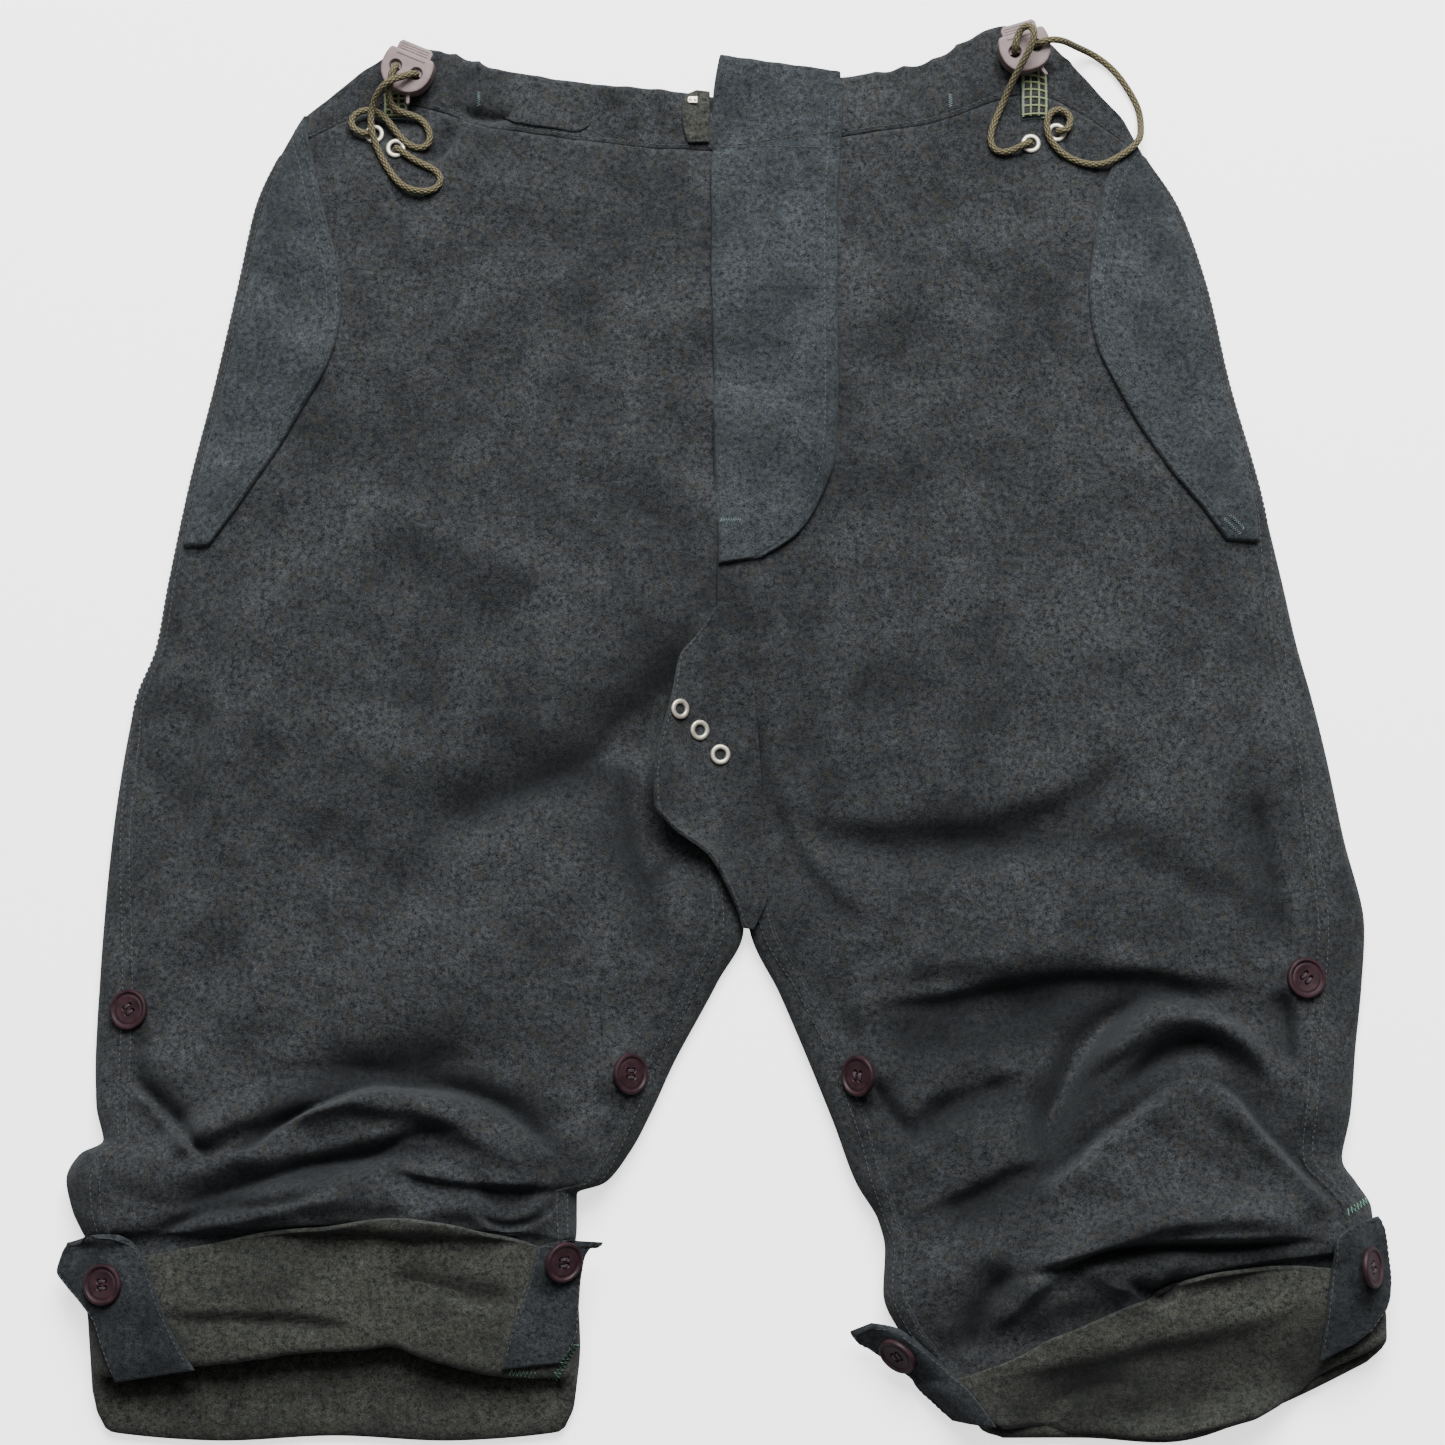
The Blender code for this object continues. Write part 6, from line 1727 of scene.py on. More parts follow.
class Seat:
    """Where a flat round trim lies, from its solid and the cloth under it."""

    def __init__(self, node: str) -> None:
        """Find the place and the turn of the solid's underside."""
        mesh = bpy.data.objects[node].data
        points = np.empty(len(mesh.vertices) * 3)
        mesh.vertices.foreach_get("co", points)
        points = points.reshape(-1, 3) / MM - (*PLAN_SHIFT, 0.0)
        centre = (points.max(axis=0) + points.min(axis=0)) / 2
        axis = Vector(np.linalg.svd(points - points.mean(axis=0))[2][2])
        if axis.z < 0:
            axis.negate()
        self.turn = axis.to_track_quat("Z", "Y")
        local = (points - centre) @ np.array(self.turn.to_matrix())
        self.place = Vector(centre) + axis * float(local[:, 2].min())

    def rest(self, under: Support, radius: float, clearance: float = 0.25) -> Seat:
        """Move up or down until the trim just clears the cloth."""
        gaps = []
        for ring in (0.2, 0.5, 0.8, 1.0):
            for way in np.linspace(0, 2 * math.pi, 16, endpoint=False):
                flat = Vector((ring * radius * math.cos(way), ring * radius * math.sin(way), 0))
                point = self.place + self.turn @ flat
                height = under.height(point.x, point.y)
                if height is not None:
                    gaps.append(point.z - height)
        if gaps:
            self.place.z += clearance - min(gaps)
        return self


@dataclass
class ButtonPull:
    """How sewn buttons draw the cloth to their undersides."""

    seats: list[Seat]
    under: Support
    inner: float = 8.5
    outer: float = 21.0
    gap: float = 0.3
    depth: float = 10.0
    most: float = 5.0

    def shift(self, points: Array) -> Array:
        """How far points of the cloth rise, in millimetres."""
        rise = np.zeros(len(points))
        for seat in self.seats:
            normal = seat.turn @ Vector((0, 0, 1))
            off = points[:, :2] - np.array(seat.place)[:2]
            slope = -(off @ np.array(normal)[:2]) / normal.z
            away = np.hypot(np.linalg.norm(off, axis=1), slope)
            for index in np.flatnonzero(away < self.outer):
                top = self.under.height(points[index, 0], points[index, 1])
                if top is None:
                    continue
                full = seat.place.z + slope[index] - self.gap - top
                full = min(self.most, max(-self.most, full))
                near = ease(np.array((self.outer - away[index]) / (self.outer - self.inner)))
                high = ease(np.array((points[index, 2] - top + self.depth) / (self.depth / 2)))
                rise[index] += full * float(near) * float(high)
        return rise

    def draw(self) -> None:
        """Move every piece of cloth."""
        for made in bpy.context.scene.objects:
            if made.type == "MESH" and made.name.endswith("_cloth"):
                places = np.empty(len(made.data.vertices) * 3)
                made.data.vertices.foreach_get("co", places)
                places = places.reshape(-1, 3)
                places[:, 2] += self.shift(places / MM - (*PLAN_SHIFT, 0.0)) * MM
                made.data.vertices.foreach_set("co", places.ravel())
                made.data.update()


@dataclass
class Buttons:
    """Four-hole horn buttons with a rounded rim, a sunk middle and thread through the holes."""

    radius: float = 10.0
    height: float = 3.0
    rim: float = 1.9
    hole: float = 1.05
    hole_out: float = 2.3
    sides: int = 48

    def horn(self) -> bpy.types.Mesh:
        """The button's mesh."""
        r, h, inner = self.radius, self.height, self.radius - self.rim
        profile = ((r - 1.6, 0), (r - 0.5, 0.25), (r - 0.08, 1.0), (r, 1.6), (r - 0.12, 2.3),
                   (r - 0.5, 2.8), (r - 1.0, h), (inner + 0.35, h - 0.05), (inner, h - 0.35),
                   (inner - 0.35, h - 0.8), (inner - 0.9, h - 0.95), (inner - 1.5, h - 0.75),
                   (inner - 1.9, h - 0.7), (inner - 2.5, h - 0.85), (2.5, h - 1.0))
        solid = capped(lathe(profile, self.sides))
        out = self.hole_out / math.sqrt(2)
        flare = ((self.hole + 0.5, h + 0.6), (self.hole + 0.45, h - 0.95), (self.hole, h - 1.4),
                 (self.hole, -1.0))
        cutters = [moved(capped(lathe(flare, 14)), (x, y, 0.0))
                   for x in (-out, out) for y in (-out, out)]
        return as_mesh("horn", [carved("horn", solid, cutters)], 28)

    def thread(self) -> bpy.types.Mesh:
        """The strands over the middle, two to each pair of holes."""
        out = self.hole_out / math.sqrt(2)
        forms = []
        for x in (-out, out):
            for aside in (-0.32, 0.34):
                ways = np.linspace(0, math.pi, 13)
                line = [(x + aside, -out * math.cos(a), self.height - 1.5 + 0.95 * math.sin(a))
                        for a in ways]
                forms.append(rod(line, 0.27, 7))
        return as_mesh("strands", forms)

    def build(self, frame: dict, under: Support, wardrobe: Wardrobe) -> None:
        """Sew on every button."""
        horn, thread = self.horn(), self.thread()
        turns = iter(np.random.default_rng(5).uniform(0, math.pi / 2, 16))
        for node in sorted(name for name in frame["nodes"] if name.startswith("button_")):
            seat = Seat(node).rest(under, self.radius)
            turn = seat.turn @ Quaternion((0, 0, 1), float(next(turns)))
            made = set_down(f"{node}_horn", horn, seat.place, turn)
            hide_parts(node)
            wardrobe.dress(made, "plum_horn")
            wardrobe.dress(set_down(f"{node}_thread", thread, seat.place, turn), "plum_thread")
        LOG.info("buttons")


def rod(line: Sequence[tuple[float, float, float]], radius: float, sides: int) -> bmesh.types.BMesh:
    """A closed round rod along a line."""
    points = np.array(line, float)
    tangent = np.gradient(points, axis=0)
    tangent /= np.linalg.norm(tangent, axis=1, keepdims=True)
    side = np.cross(tangent[0], (0.3, 0.2, 1.0))
    form, rings = bmesh.new(), []
    for place, way in zip(points, tangent):
        side = side - way * np.dot(side, way)
        side /= np.linalg.norm(side)
        up = np.cross(way, side)
        turns = np.linspace(0, 2 * math.pi, sides, endpoint=False)
        rings.append([form.verts.new(place + radius * (math.cos(a) * side + math.sin(a) * up))
                      for a in turns])
    join_rings(form, rings)
    return capped(form)


@dataclass
class Eyelets:
    """Pressed metal eyelets with a rolled rim."""

    radius: float = 5.0
    hole: float = 2.6
    height: float = 1.0
    sides: int = 40

    def build(self, frame: dict, under: Support, wardrobe: Wardrobe) -> None:
        """Press in every eyelet."""
        middle, half = (self.radius + self.hole) / 2, (self.radius - self.hole) / 2
        roll = [(middle + half * math.cos(a), 0.12 + self.height * max(0.0, math.sin(a)) ** 0.8)
                for a in np.linspace(0, math.pi, 13)]
        profile = roll + [(self.hole, -0.2), (self.radius - 0.3, -0.2), roll[0]]
        form = lathe(profile, self.sides)
        bmesh.ops.remove_doubles(form, verts=form.verts, dist=0.001)
        bmesh.ops.recalc_face_normals(form, faces=form.faces)
        mesh = as_mesh("eyelet", [form], 50)
        for node in sorted(name for name in frame["nodes"] if name.startswith("eyelet_")):
            seat = Seat(node).rest(under, self.radius, 0.22)
            made = set_down(f"{node}_rim", mesh, seat.place, seat.turn)
            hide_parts(node)
            wardrobe.dress(made, "ivory_nickel")
        LOG.info("eyelets")


@dataclass
class Hook:
    """The small bright hook plate at the top of the fly."""

    width: float = 4.8
    depth: float = 3.4
    wall: float = 0.7

    def build(self, under: Support, wardrobe: Wardrobe) -> None:
        """Make the plate with its two bosses."""
        x, y = self.width / 2, self.depth / 2
        plate = bevel_all(prism([(-x, -y), (x - 0.8, -y), (x, -y + 0.8), (x, y - 0.8),
                                 (x - 0.8, y), (-x, y)], 0, self.wall), 0.2)
        boss = [(0.75 * math.cos(a), self.wall - 0.1 + 0.55 * math.sin(a))
                for a in np.linspace(0, math.pi / 2 - 0.1, 6)]
        forms = [plate] + [moved(capped(lathe(boss, 20)), (place, 0.0, 0.0))
                           for place in (-1.25, 1.05)]
        seat = Seat("fly_hook").rest(under, 2.2)
        made = set_down("fly_hook_plate", as_mesh("hook", forms), seat.place, seat.turn)
        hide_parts("fly_hook")
        wardrobe.dress(made, "ivory_nickel")
        LOG.info("hook")


class LockPlace(NamedTuple):
    """Where a cord lock lies, in millimetres and degrees."""

    word: str
    x: float
    y: float
    z: float
    turn: float
    tip: float


@dataclass
class CordLocks:
    """Cord locks with two cord holes, a mouth at the top and a ridged sprung plunger."""

    places: tuple[LockPlace, ...] = (
        LockPlace("right", -157.5, 326, 22.83, -23, 4), LockPlace("left", 151, 337, 22.44, 17, 4))
    half_depth: float = 5.0
    hole: float = 2.75
    hole_out: float = 5.6

    def body(self) -> bpy.types.Mesh:
        """The body's mesh."""
        half = [(0, -11), (3.6, -10.8), (6.6, -9.9), (9.2, -8.1), (11.3, -5.4), (12.5, -2.4),
                (13, 0.6), (12.9, 3.4), (12.5, 5.8), (11.9, 7.8), (11.0, 8.8), (9.9, 9)]
        outline = half + [(-x, y) for x, y in half[:0:-1]]
        solid = bevel_all(prism(outline, -self.half_depth, self.half_depth), 1.2, 4, 60)
        mouth = bevel_all(prism([(-9.3, -5), (9.3, -5), (9.3, 14), (-9.3, 14)], -3.2, 3.2), 0.5, 2)
        flare = ((self.hole + 1.3, self.half_depth + 0.6), (self.hole + 0.7, self.half_depth - 0.1),
                 (self.hole + 0.15, self.half_depth - 0.9), (self.hole, self.half_depth - 1.6))
        flare = flare + tuple((radius, -height) for radius, height in flare[::-1])
        holes = [moved(capped(lathe(flare, 28)), (x, 0.0, 0.0))
                 for x in (-self.hole_out, self.hole_out)]
        form = carved("lock_body", solid, [mouth, *holes])
        tongue = bevel_all(prism([(3.8, -8), (6.2, -8), (6.5, -11), (7.5, -14.2), (7.2, -15),
                                  (6.0, -14.6), (4.6, -11)], -1.2, 1.4), 0.35)
        ledge = bevel_all(prism([(-7.5, 6.4), (7.5, 6.4), (7.5, 7.4), (-7.5, 7.4)], 4.6, 5.35), 0.25)
        return as_mesh("lock_body", [form, tongue, ledge], 32)

    def plunger(self) -> bpy.types.Mesh:
        """The plunger's mesh, with ridges on its head."""
        block = bevel_all(prism([(-9, -0.7), (9, -0.7), (9, 12.4), (7.6, 14), (-7.6, 14),
                                 (-9, 12.4)], -2.9, 2.9), 0.45, 3)
        ridges = []
        for level in (2.75, -2.75):
            for y in (9.9, 11.2, 12.5):
                line = [(x, y, level) for x in np.linspace(-7.4, 7.4, 9)]
                ridges.append(rod(line, 0.42, 10))
        return as_mesh("lock_plunger", [block, *ridges], 32)

    def build(self, wardrobe: Wardrobe) -> None:
        """Set both locks on their cords."""
        body, plunger = self.body(), self.plunger()
        for spot in self.places:
            turn = (Matrix.Rotation(math.radians(spot.turn), 3, "Z")
                    @ Matrix.Rotation(math.radians(spot.tip), 3, "X")).to_quaternion()
            place = Vector((spot.x, spot.y, spot.z))
            made = set_down(f"cord_lock_{spot.word}_shell", body, place, turn)
            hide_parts(f"cord_lock_{spot.word}")
            wardrobe.dress(made, "dusty_pink")
            made = set_down(f"lock_plunger_{spot.word}_cap", plunger, place, turn)
            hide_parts(f"lock_plunger_{spot.word}")
            wardrobe.dress(made, "dusty_pink", f"plunger_{spot.word}")
        LOG.info("cord locks")


def start_tree(name: str, sizes: dict[str, float], result: str) -> tuple:
    """Start a Geometry Nodes tree that works on lines.

    Args:
        name: the tree's name.
        sizes: its number inputs with their defaults in metres.
        result: the name of its output.

    Returns:
        The tree, its sheet, its inputs and the lines as a curve.
    """
    tree = bpy.data.node_groups.new(name, "GeometryNodeTree")
    tree.interface.new_socket("Lines", in_out="INPUT", socket_type="NodeSocketGeometry")
    for label, value in sizes.items():
        socket = tree.interface.new_socket(label, in_out="INPUT", socket_type="NodeSocketFloat")
        socket.default_value = value
    tree.interface.new_socket("Thread", in_out="INPUT", socket_type="NodeSocketMaterial")
    tree.interface.new_socket(result, in_out="OUTPUT", socket_type="NodeSocketGeometry")
    sheet = NodeSheet(tree)
    given = sheet.add("NodeGroupInput").outputs
    curve = sheet.add("GeometryNodeMeshToCurve", {"Mesh": given["Lines"]}).outputs[0]
    return tree, sheet, given, curve


def end_tree(sheet: NodeSheet, form: bpy.types.NodeSocket, thread: bpy.types.NodeSocket,
             result: str) -> None:
    """End a tree with plain smooth faces in its thread's material."""
    real = sheet.add("GeometryNodeRealizeInstances", {0: form}).outputs[0]
    smooth = sheet.add("GeometryNodeSetShadeSmooth", {0: real}).outputs[0]
    dressed = sheet.add("GeometryNodeSetMaterial", {
        "Geometry": smooth, "Material": thread}).outputs[0]
    sheet.add("NodeGroupOutput", {result: dressed})


class StitchTree:
    """Geometry Nodes that lay one short stitch at even steps along lines."""

    def __init__(self) -> None:
        """Build the tree."""
        self.tree, sheet, given, curve = start_tree(
            "stitch_rows", {"Pitch": 0.0028, "Length": 0.0021, "Width": 0.0005}, "Stitches")
        points = sheet.add("GeometryNodeCurveToPoints", {
            "Curve": curve, "Length": given["Pitch"]}, mode="LENGTH").outputs
        ball = sheet.add("GeometryNodeMeshUVSphere", {
            "Segments": 6, "Rings": 4, "Radius": 0.5}).outputs[0]
        turned = sheet.add("FunctionNodeAlignRotationToVector", {
            "Vector": points["Tangent"]}, axis="Z").outputs[0]
        size = sheet.add("ShaderNodeCombineXYZ", {
            0: given["Width"], 1: given["Width"], 2: given["Length"]}).outputs[0]
        laid = sheet.add("GeometryNodeInstanceOnPoints", {
            "Points": points["Points"], "Instance": ball, "Rotation": turned, "Scale": size})
        end_tree(sheet, laid.outputs[0], given["Thread"], "Stitches")

    def sew(self, name: str, lines: Sequence[Array], thread: bpy.types.Material,
            pitch: float, length: float, width: float) -> bpy.types.Object:
        """Lay stitches along lines.

        Args:
            name: the piece's name.
            lines: rows of points in millimetres.
            thread: the material.
            pitch, length, width: step, length and width of a stitch in millimetres.

        Returns:
            The stitches as one plain mesh.
        """
        return run_tree(name, lines, self.tree, {
            "Pitch": pitch * MM, "Length": length * MM, "Width": width * MM, "Thread": thread})


class ThreadTree:
    """Geometry Nodes that turn lines into round threads."""

    def __init__(self) -> None:
        """Build the tree."""
        self.tree, sheet, given, curve = start_tree("thread_runs", {"Radius": 0.0004}, "Threads")
        ring = sheet.add("GeometryNodeCurvePrimitiveCircle", {
            "Resolution": 7, "Radius": given["Radius"]}).outputs[0]
        tube = sheet.add("GeometryNodeCurveToMesh", {
            "Curve": curve, "Profile Curve": ring, "Fill Caps": True}).outputs[0]
        end_tree(sheet, tube, given["Thread"], "Threads")

    def run(self, name: str, lines: Sequence[Array], thread: bpy.types.Material,
            radius: float) -> bpy.types.Object:
        """Threads of a radius in millimetres along lines."""
        return run_tree(name, lines, self.tree, {"Radius": radius * MM, "Thread": thread})


def run_tree(name: str, lines: Sequence[Array], tree: bpy.types.NodeTree,
             values: dict[str, object]) -> bpy.types.Object:
    """The result of a tree on lines, as a plain mesh.

    Args:
        name: the piece's name.
        lines: rows of points in millimetres.
        tree: the Geometry Nodes tree.
        values: its inputs by name.

    Returns:
        The piece.
    """
    points, edges = [], []
    for line in lines:
        start = len(points)
        points += ((np.asarray(line) + (*PLAN_SHIFT, 0.0)) * MM).tolist()
        edges += [(start + number, start + number + 1) for number in range(len(line) - 1)]
    mesh = bpy.data.meshes.new(name)
    mesh.from_pydata(points, edges, [])
    made = linked(name, mesh)
    work = made.modifiers.new("work", "NODES")
    work.node_group = tree
    for item in tree.interface.items_tree:
        if item.in_out == "INPUT" and item.name in values:
            work[item.identifier] = values[item.name]
    apply_modifiers(made)
    return made


def on_cloth(under: Support, line: Array, lift: float) -> Array:
    """A line of the plan laid on the cloth at a lift."""
    points = [(x, y, height + lift) for x, y in line
              if (height := under.height(x, y)) is not None]
    return np.array(points)


@dataclass
class Sewing:
    """All stitch rows, tacks, lattices and overlocked edges."""

    pull: ButtonPull
    pitch: float = 2.9
    length: float = 2.3
    width: float = 0.62
    sunk: float = 0.05

    def seam_lines(self) -> list[Array]:
        """Both rows of each felled seam and the row under the waistband."""
        lines = []
        for leg in LEGS.values():
            stations = leg.stations(BAND_SEAM + 0.1, 19.9, 3.0)
            section, span = leg.columns(stations), leg.span(stations)
            for away in (1.6, 6.4):
                lift = 0.9 - 0.3 + self.sunk
                around = section.outseam - away
                lines.append(leg.surface(stations, around, lift))
                inner = stations > 10
                around = (-span - section.inseam + away)[inner]
                lines.append(leg.surface(stations[inner], around, lift))
        for line in lines:
            line[:, 2] += self.pull.shift(line)
        return lines

    def flap_lines(self, under: Support) -> list[Array]:
        """Rows along the flaps' free edges."""
        lines = []
        for leg, rows in ((RIGHT, RIGHT_FLAP), (LEFT, LEFT_FLAP)):
            station, free_x = spread(rows, 90)
            around = leg.around_at(station, softened(free_x, 5))
            for inward in (2.2, 7.0):
                flat = leg.surface(station, around - inward, LIFT)[:, :2]
                keep = slice(2, -3)
                lines.append(on_cloth(under, flat[keep], self.sunk))
        return lines

    def placket_lines(self, under: Support) -> list[Array]:
        """The curved row of the fly and the row across its top."""
        _, _, station_2, x_2 = spread(PLACKET, 90)
        around = LEFT.around_at(station_2, x_2 - 6.5)
        curve = LEFT.surface(station_2, around, LIFT)[12:-2, :2]
        top = smooth_line([(-3, 289), (20, 289), (40, 288), (58, 288)])
        return [on_cloth(under, curve, self.sunk), on_cloth(under, top, self.sunk)]

    def band_lines(self, under: Support) -> list[Array]:
        """The row just over the waistband's lower seam."""
        lines = []
        for leg in LEGS.values():
            span = float(leg.span(np.array([0.93]))[0])
            around = np.arange(9.0, span - 1.0, 2.0)
            flat = leg.surface(np.full(around.shape, 0.93), around, 0.0)[:, :2]
            lines.append(on_cloth(under, flat, self.sunk))
        return lines

    def edge_rows(self, under: Support, grid: Array, inward: float) -> list[Array]:
        """Rows along both long edges of a strip."""
        away = np.cumsum(np.pad(np.linalg.norm(np.diff(grid, axis=1), axis=2),
                                ((0, 0), (1, 0))), axis=1)
        lines = []
        for from_edge in (away, away[:, -1:] - away):
            picked = np.argmin(np.abs(from_edge - inward), axis=1)
            line = grid[np.arange(len(grid)), picked, :2]
            lines.append(on_cloth(under, line[6:-6], self.sunk))
        return lines

    def zigzag(self, first: tuple[float, float], second: tuple[float, float], width: float,
               pitch: float) -> Array:
        """A close zigzag between two points of the plan."""
        start, end = np.array(first, float), np.array(second, float)
        way = end - start
        count = max(4, round(np.linalg.norm(way) / pitch))
        side = np.array((-way[1], way[0])) / np.linalg.norm(way) * width / 2
        parts = np.linspace(0, 1, count)[:, None]
        flip = np.where(np.arange(count) % 2, 1, -1)[:, None]
        return start + way * parts + side * flip

    def build(self, strips: dict[str, Array], wardrobe: Wardrobe) -> None:
        """Sew everything."""
        under = Support()
        stitches, threads = StitchTree(), ThreadTree()
        charcoal = self.seam_lines() + self.band_lines(under)
        charcoal += self.edge_rows(under, strips["gusset"], 2.4)[:1]
        self.sew(stitches, "seam_stitches", charcoal, wardrobe, "seam_thread")
        facing = self.flap_lines(under) + self.placket_lines(under)
        for name, grid in strips.items():
            if name.startswith("tab_"):
                facing += self.edge_rows(under, grid, 2.6)
        self.sew(stitches, "facing_stitches", facing, wardrobe, "seam_thread")
        places = (((254, 92), (246, 99), 1.6), ((-122, 318), (-122, 311), 1.5),
                  ((114, 317), (114, 310), 1.5), ((-1, 97), (9, 97), 1.5),
                  ((249, 101), (256, 95), 1.5))
        tacks = [self.zigzag(start, end, width, 0.55) for start, end, width in places]
        self.thread(threads, "bar_tacks", [on_cloth(under, line, 0.25) for line in tacks],
                    0.3, wardrobe, "blue_thread")
        self.lattices(under, threads, wardrobe)
        self.overlock(under, threads, wardrobe)
        LOG.info("sewing")

    def sew(self, tree: StitchTree, name: str, lines: list[Array], wardrobe: Wardrobe,
            finish: str) -> None:
        """Sew rows in one thread."""
        made = tree.sew(name, [line for line in lines if len(line) > 2], wardrobe.made[finish],
                        self.pitch, self.length, self.width)
        wardrobe.dress(made, finish)

    def thread(self, tree: ThreadTree, name: str, lines: list[Array], radius: float,
               wardrobe: Wardrobe, finish: str) -> None:
        """Lay threads in one colour."""
        made = tree.run(name, [line for line in lines if len(line) > 1], wardrobe.made[finish],
                        radius)
        wardrobe.dress(made, finish)

    def lattices(self, under: Support, tree: ThreadTree, wardrobe: Wardrobe) -> None:
        """The stitched lattice by each lock."""
        for word, patch in (("right", LATTICE_RIGHT), ("left", LATTICE_LEFT)):
            leg = LEGS[word]
            bars, rim = [], []
            for x in np.linspace(patch.x_1 + 1.5, patch.x_2 - 1.5, 4):
                station = np.linspace(patch.station_1 + 0.02, patch.station_2 - 0.02, 16)
                bars.append(leg.surface(station, leg.around_at(station, x), patch.lift + 1.35)[:, :2])
            for place in np.linspace(patch.station_1 + 0.04, patch.station_2 - 0.04,
                                     5 if word == "right" else 7):
                x = np.linspace(patch.x_1 + 0.8, patch.x_2 - 0.8, 12)
                station = np.full(x.shape, place)
                bars.append(leg.surface(station, leg.around_at(station, x), patch.lift + 1.35)[:, :2])
            corners = [(patch.station_1, patch.x_1 + 1), (patch.station_1, patch.x_2 - 1),
                       (patch.station_2, patch.x_2 - 1), (patch.station_2, patch.x_1 + 1),
                       (patch.station_1, patch.x_1 + 1)]
            for (s_1, a_1), (s_2, a_2) in zip(corners, corners[1:]):
                station, x = np.linspace(s_1, s_2, 14), np.linspace(a_1, a_2, 14)
                rim.append(leg.surface(station, leg.around_at(station, x), 1.0)[:, :2])
            self.thread(tree, f"lattice_threads_{word}", [on_cloth(under, bar, 0.25) for bar in bars],
                        0.55, wardrobe, "lattice_green")
            self.thread(tree, f"lattice_rim_{word}", [on_cloth(under, bar, 0.15) for bar in rim],
                        0.4, wardrobe, "blue_thread")

    def overlock(self, under: Support, tree: ThreadTree, wardrobe: Wardrobe) -> None:
        """Green overlock that shows at the hems."""
        runs = (((-101, -313), (-79, -316)), ((-79, -315), (-70, -300)), ((298, -238), (313, -230)),
                ((322, -252), (326, -288)))
        lines = [on_cloth(under, self.zigzag(first, second, 3.0, 0.9), 0.2) for first, second in runs]
        self.thread(tree, "hem_overlock", lines, 0.3, wardrobe, "hem_green")


class Studio:
    """Pale floor, soft light and the photograph's camera."""

    target = Vector((-0.17, -3.6, 10.0)) * MM
    eye = Vector((-0.17, -249.9, 1762.8)) * MM
    half: float = 4.0
    drop: float = -0.0002
    bounced = (0.42, 0.42, 0.42, 1)
    filmed = (0.95, 0.95, 0.945, 1)
    glow: float = 1.5

    def camera(self) -> None:
        """Place the camera."""
        data = bpy.data.cameras.new("camera")
        data.lens, data.sensor_width = 90.0, 36.0
        made = linked("camera", data)
        made.location = self.eye
        made.rotation_euler = (self.target - self.eye).to_track_quat("-Z", "Y").to_euler()
        bpy.context.scene.camera = made

    def floor(self) -> None:
        """Lay the floor, which is grey for bounced light, and paler and aglow for the camera."""
        mesh = bpy.data.meshes.new("floor")
        half, low = self.half, self.drop
        mesh.from_pydata([(-half, -half, low), (half, -half, low), (half, half, low),
                          (-half, half, low)], [], [(0, 1, 2, 3)])
        made = linked("floor", mesh)
        finish, sheet = new_material("pale_floor")
        seen = sheet.add("ShaderNodeLightPath").outputs["Is Camera Ray"]
        shader = sheet.add("ShaderNodeBsdfPrincipled", {
            "Base Color": sheet.mixed(seen, self.bounced, self.filmed),
            "Emission Color": (1, 1, 1, 1), "Roughness": 0.9,
            "Emission Strength": sheet.maths("MULTIPLY", seen, self.glow)})
        sheet.add("ShaderNodeOutputMaterial", {"Surface": shader.outputs[0]})
        mesh.materials.append(finish)

    def lamp(self, name: str, place: tuple, aim: tuple, size: float, power: float) -> None:
        """Hang one soft square light."""
        data = bpy.data.lights.new(name, "AREA")
        data.size, data.energy = size, power
        made = linked(name, data)
        made.location = place
        way = Vector(aim) - Vector(place)
        made.rotation_euler = way.to_track_quat("-Z", "Y").to_euler()

    def build(self) -> None:
        """Make everything that isn't the object."""
        self.camera()
        self.floor()
        self.lamp("window", (0.20, 1.9, 2.3), (0, 0, 0), 1.9, 272)
        self.lamp("overhead", (-0.3, 0.1, 2.6), (0, 0, 0), 1.6, 10)
        world = bpy.data.worlds.new("room")
        world.use_nodes = True
        backdrop = world.node_tree.nodes["Background"]
        backdrop.inputs["Color"].default_value = (1, 1, 1, 1)
        backdrop.inputs["Strength"].default_value = 0.16
        bpy.context.scene.world = world


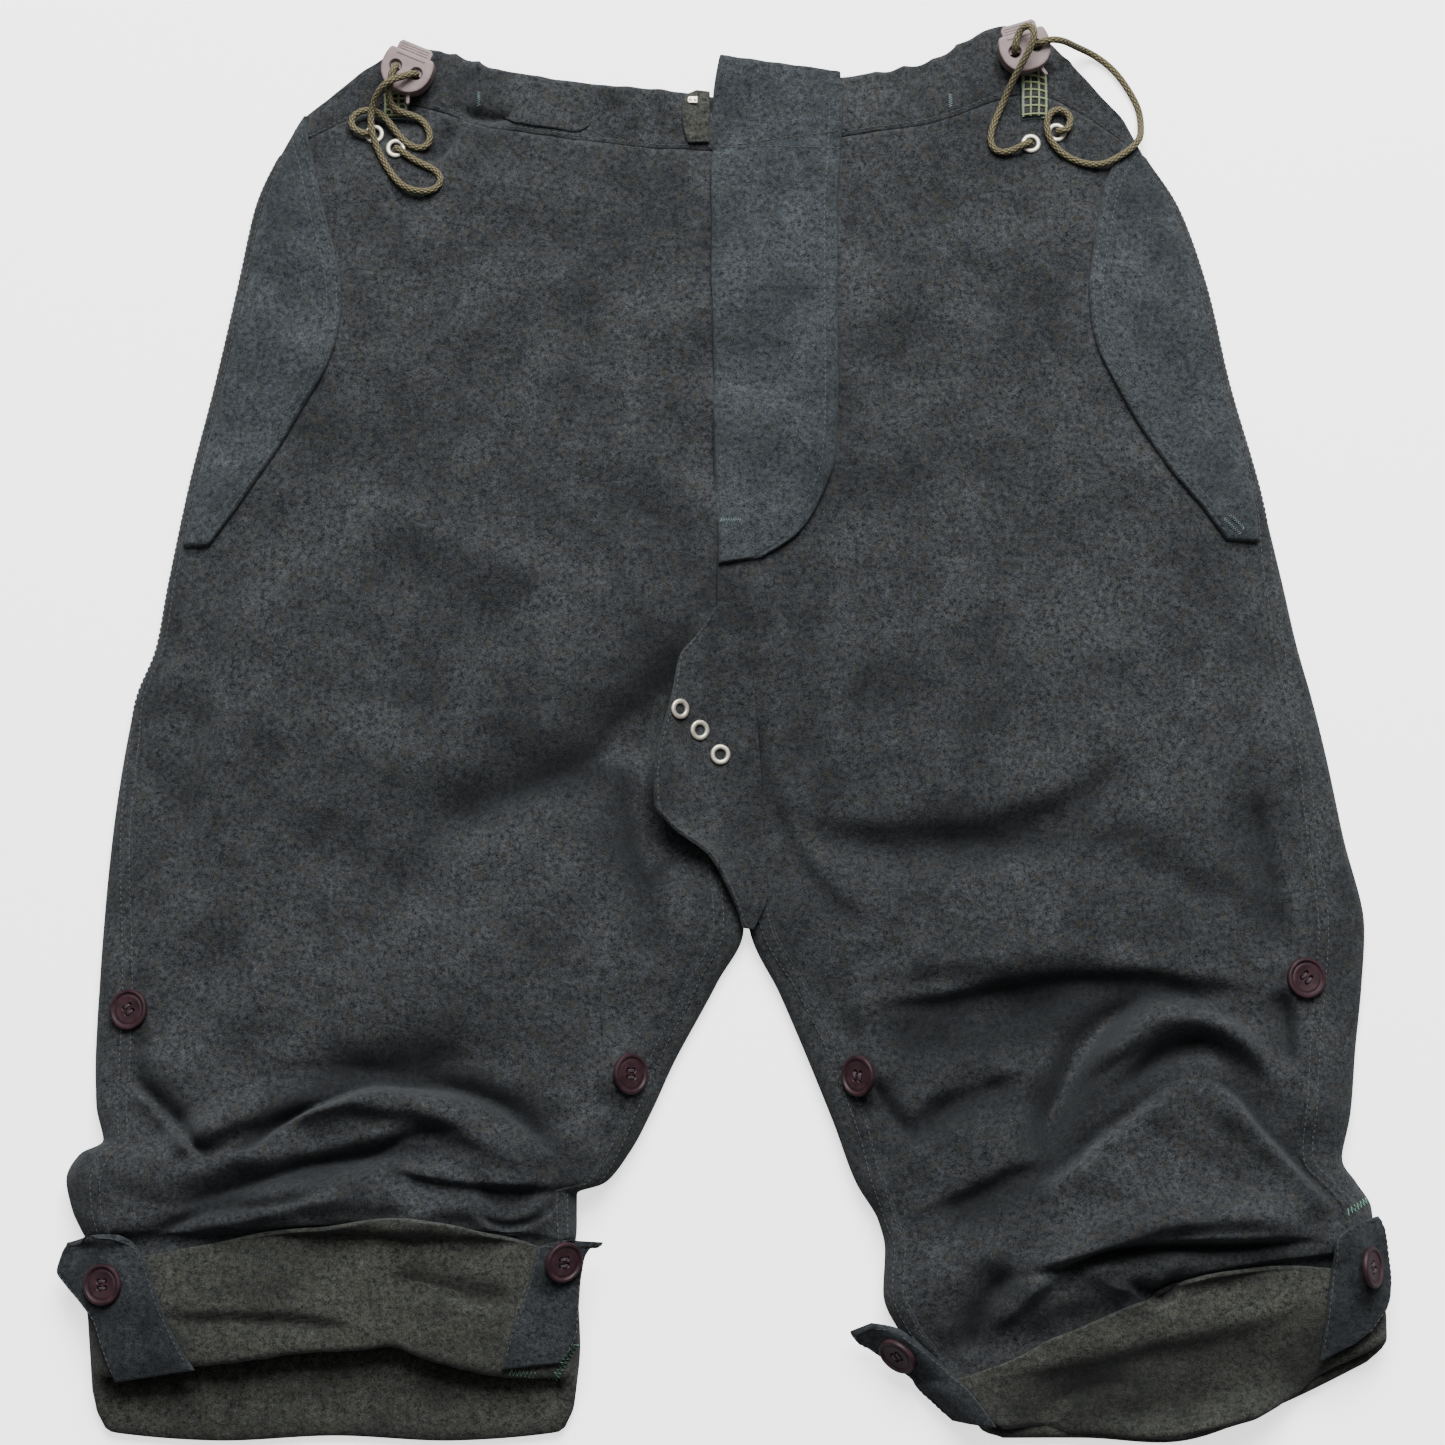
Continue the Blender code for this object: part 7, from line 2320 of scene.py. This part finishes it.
@dataclass
class ElasticCords:
    """The free elastic cords of both adjusters, from lock hole to eyelet."""

    step: float = 0.9
    sides: int = 14
    strands: float = 6.0
    pitch: float = 3.2
    soften: int = 3
    held: int = 4
    sink: float = 0.2

    def path(self, points: Sequence[tuple]) -> Array:
        """A smooth line through a cord's points with its tight bends eased."""
        knots = np.array(points, float)
        for _ in range(self.soften):
            eased = knots.copy()
            eased[1:-1] = 0.5 * knots[1:-1] + 0.25 * (knots[:-2] + knots[2:])
            eased[:, 2] = np.maximum(eased[:, 2], knots[:, 2] - self.sink)
            eased[:self.held], eased[-self.held:] = knots[:self.held], knots[-self.held:]
            knots = eased
        reach = np.concatenate([[0], np.cumsum(np.linalg.norm(np.diff(knots, axis=0), axis=1))])
        slopes = np.gradient(knots, reach, axis=0)
        fine = [knots[:1]]
        for number, gap in enumerate(np.diff(reach)):
            part = np.linspace(0, 1, 9)[1:, None]
            fine.append(hermite(knots[number], knots[number + 1], slopes[number] * gap,
                                slopes[number + 1] * gap, part))
        line = np.concatenate(fine)
        length = np.concatenate([[0], np.cumsum(np.linalg.norm(np.diff(line, axis=0), axis=1))])
        places = np.linspace(0, length[-1], round(length[-1] / self.step) + 1)
        return np.stack([np.interp(places, length, line[:, axis]) for axis in range(3)], axis=1)

    def tube(self, name: str, line: Array) -> bpy.types.Object:
        """A closed tube along a line, with its own map for the braid."""
        tangent = np.gradient(line, axis=0)
        tangent /= np.linalg.norm(tangent, axis=1, keepdims=True)
        side = np.cross(tangent[0], (0.0, 0.0, 1.0))
        if np.linalg.norm(side) < 0.1:
            side = np.cross(tangent[0], (1.0, 0.0, 0.0))
        rings = []
        turns = np.linspace(0, 2 * math.pi, self.sides, endpoint=False)
        for place, way in zip(line, tangent):
            side = side - way * np.dot(side, way)
            side /= np.linalg.norm(side)
            up = np.cross(way, side)
            rings.append(place + CORD_DIAMETER / 2 * (np.cos(turns)[:, None] * side
                                                      + np.sin(turns)[:, None] * up))
        points = np.concatenate([np.concatenate(rings), line[:1], line[-1:]])
        rows, count = len(line), len(line) * self.sides
        at = np.arange(count).reshape(rows, self.sides)
        closed = np.concatenate([at, at[:, :1]], axis=1)
        faces = [tuple(face) for face in grid_faces(closed)]
        for number in range(self.sides):
            after = (number + 1) % self.sides
            faces.append((at[0, after], at[0, number], count))
            faces.append((at[-1, number], at[-1, after], count + 1))
        made = link_mesh(name, points, faces)
        form = bmesh.new()
        form.from_mesh(made.data)
        bmesh.ops.recalc_face_normals(form, faces=form.faces)
        layer = form.loops.layers.uv.new("way")
        for face in form.faces:
            columns = [corner.vert.index % self.sides for corner in face.loops
                       if corner.vert.index < count]
            wraps = max(columns) == self.sides - 1 and min(columns) == 0
            for corner in face.loops:
                index = corner.vert.index
                row, column = divmod(min(index, count - 1), self.sides)
                if wraps and column == 0:
                    column = self.sides
                corner[layer].uv = (column / self.sides * self.strands,
                                    row * self.step / self.pitch)
        form.to_mesh(made.data)
        form.free()
        made.data.shade_smooth()
        return made

    def build(self, wardrobe: Wardrobe) -> None:
        """Make all four."""
        for node, points in CORDS.items():
            line = self.path(points)
            made = self.tube(f"{node}_braid", line)
            wardrobe.dress(made, "khaki_braid")
            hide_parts(node)


def paint_crease_shade() -> None:
    """Note on the cloth how deep in a crease it lies, as the mask of the painted shade there."""
    for word, leg in LEGS.items():
        for kind in ("front", "back", "cuff"):
            mesh = bpy.data.objects[f"{kind}_{word}_cloth"].data
            at = np.empty(len(mesh.vertices) * 3)
            mesh.vertices.foreach_get("co", at)
            at = at.reshape(-1, 3) / MM - np.array((*PLAN_SHIFT, 0.0))
            x, y = at[:, 0], at[:, 1]
            depth = -PAINTED_SHADE_FOLD_SHARE * leg.fold_shift(x, y)[:, 2]
            for crease, path in leg.creases:
                depth = depth - leg.crease_rise(crease, path, x, y)
            # painted shade: full at the given crease depth, and none on the low cloth that lies near the
            # floor
            painted_shade = np.clip(depth / PAINTED_SHADE_FULL_DEPTH, 0, 1) * ease((at[:, 2] - PAINTED_SHADE_LOWEST) / PAINTED_SHADE_RAMP)
            mesh.attributes.new("hollow", "FLOAT", "POINT").data.foreach_set("value", painted_shade)


def main() -> None:
    """Build and dress every piece in order."""
    logging.basicConfig(level=logging.INFO, format="%(message)s")
    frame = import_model()
    Studio().build()
    wardrobe = Wardrobe()
    ElasticCords().build(wardrobe)
    Panels().build(wardrobe)
    Waistband().build(wardrobe)
    Fly().build(wardrobe)
    PocketFlap("right", RIGHT_FLAP).build(wardrobe)
    PocketFlap("left", LEFT_FLAP).build(wardrobe)
    WaistPatch("right", CASING, "charcoal_felt", 0.42).build(wardrobe)
    WaistPatch("right", LATTICE_RIGHT, "charcoal_felt").build(wardrobe)
    WaistPatch("left", LATTICE_LEFT, "charcoal_felt").build(wardrobe)
    Cuff("right", RIGHT_CUFF).build(wardrobe)
    Cuff("left", LEFT_CUFF).build(wardrobe)
    under = Support()
    strips = {"gusset": StripCloth("gusset", GUSSET, WALL, 12, 6, 7.0, LIFT, 1.0, 2.4, blend=18.0).build(
        under, wardrobe, "charcoal_felt", "front_right_cloth")}
    for name, rows in TABS.items():
        strips[name] = StripCloth(name, rows, DOUBLE, 10, 5, 3.5, 0.8, 1.3, 2.6).build(
            under, wardrobe, "tab_felt", f"cuff_{name.split('_')[1]}_cloth")
    buttons = sorted(name for name in frame["nodes"] if name.startswith("button_"))
    pull = ButtonPull([Seat(name) for name in buttons], Support())
    pull.draw()
    # painted shade in the creases is noted on the cloth here
    paint_crease_shade()
    under = Support()
    Buttons().build(frame, under, wardrobe)
    Eyelets().build(frame, under, wardrobe)
    Hook().build(under, wardrobe)
    CordLocks().build(wardrobe)
    Sewing(pull).build(strips, wardrobe)


if __name__ == "__main__":
    main()
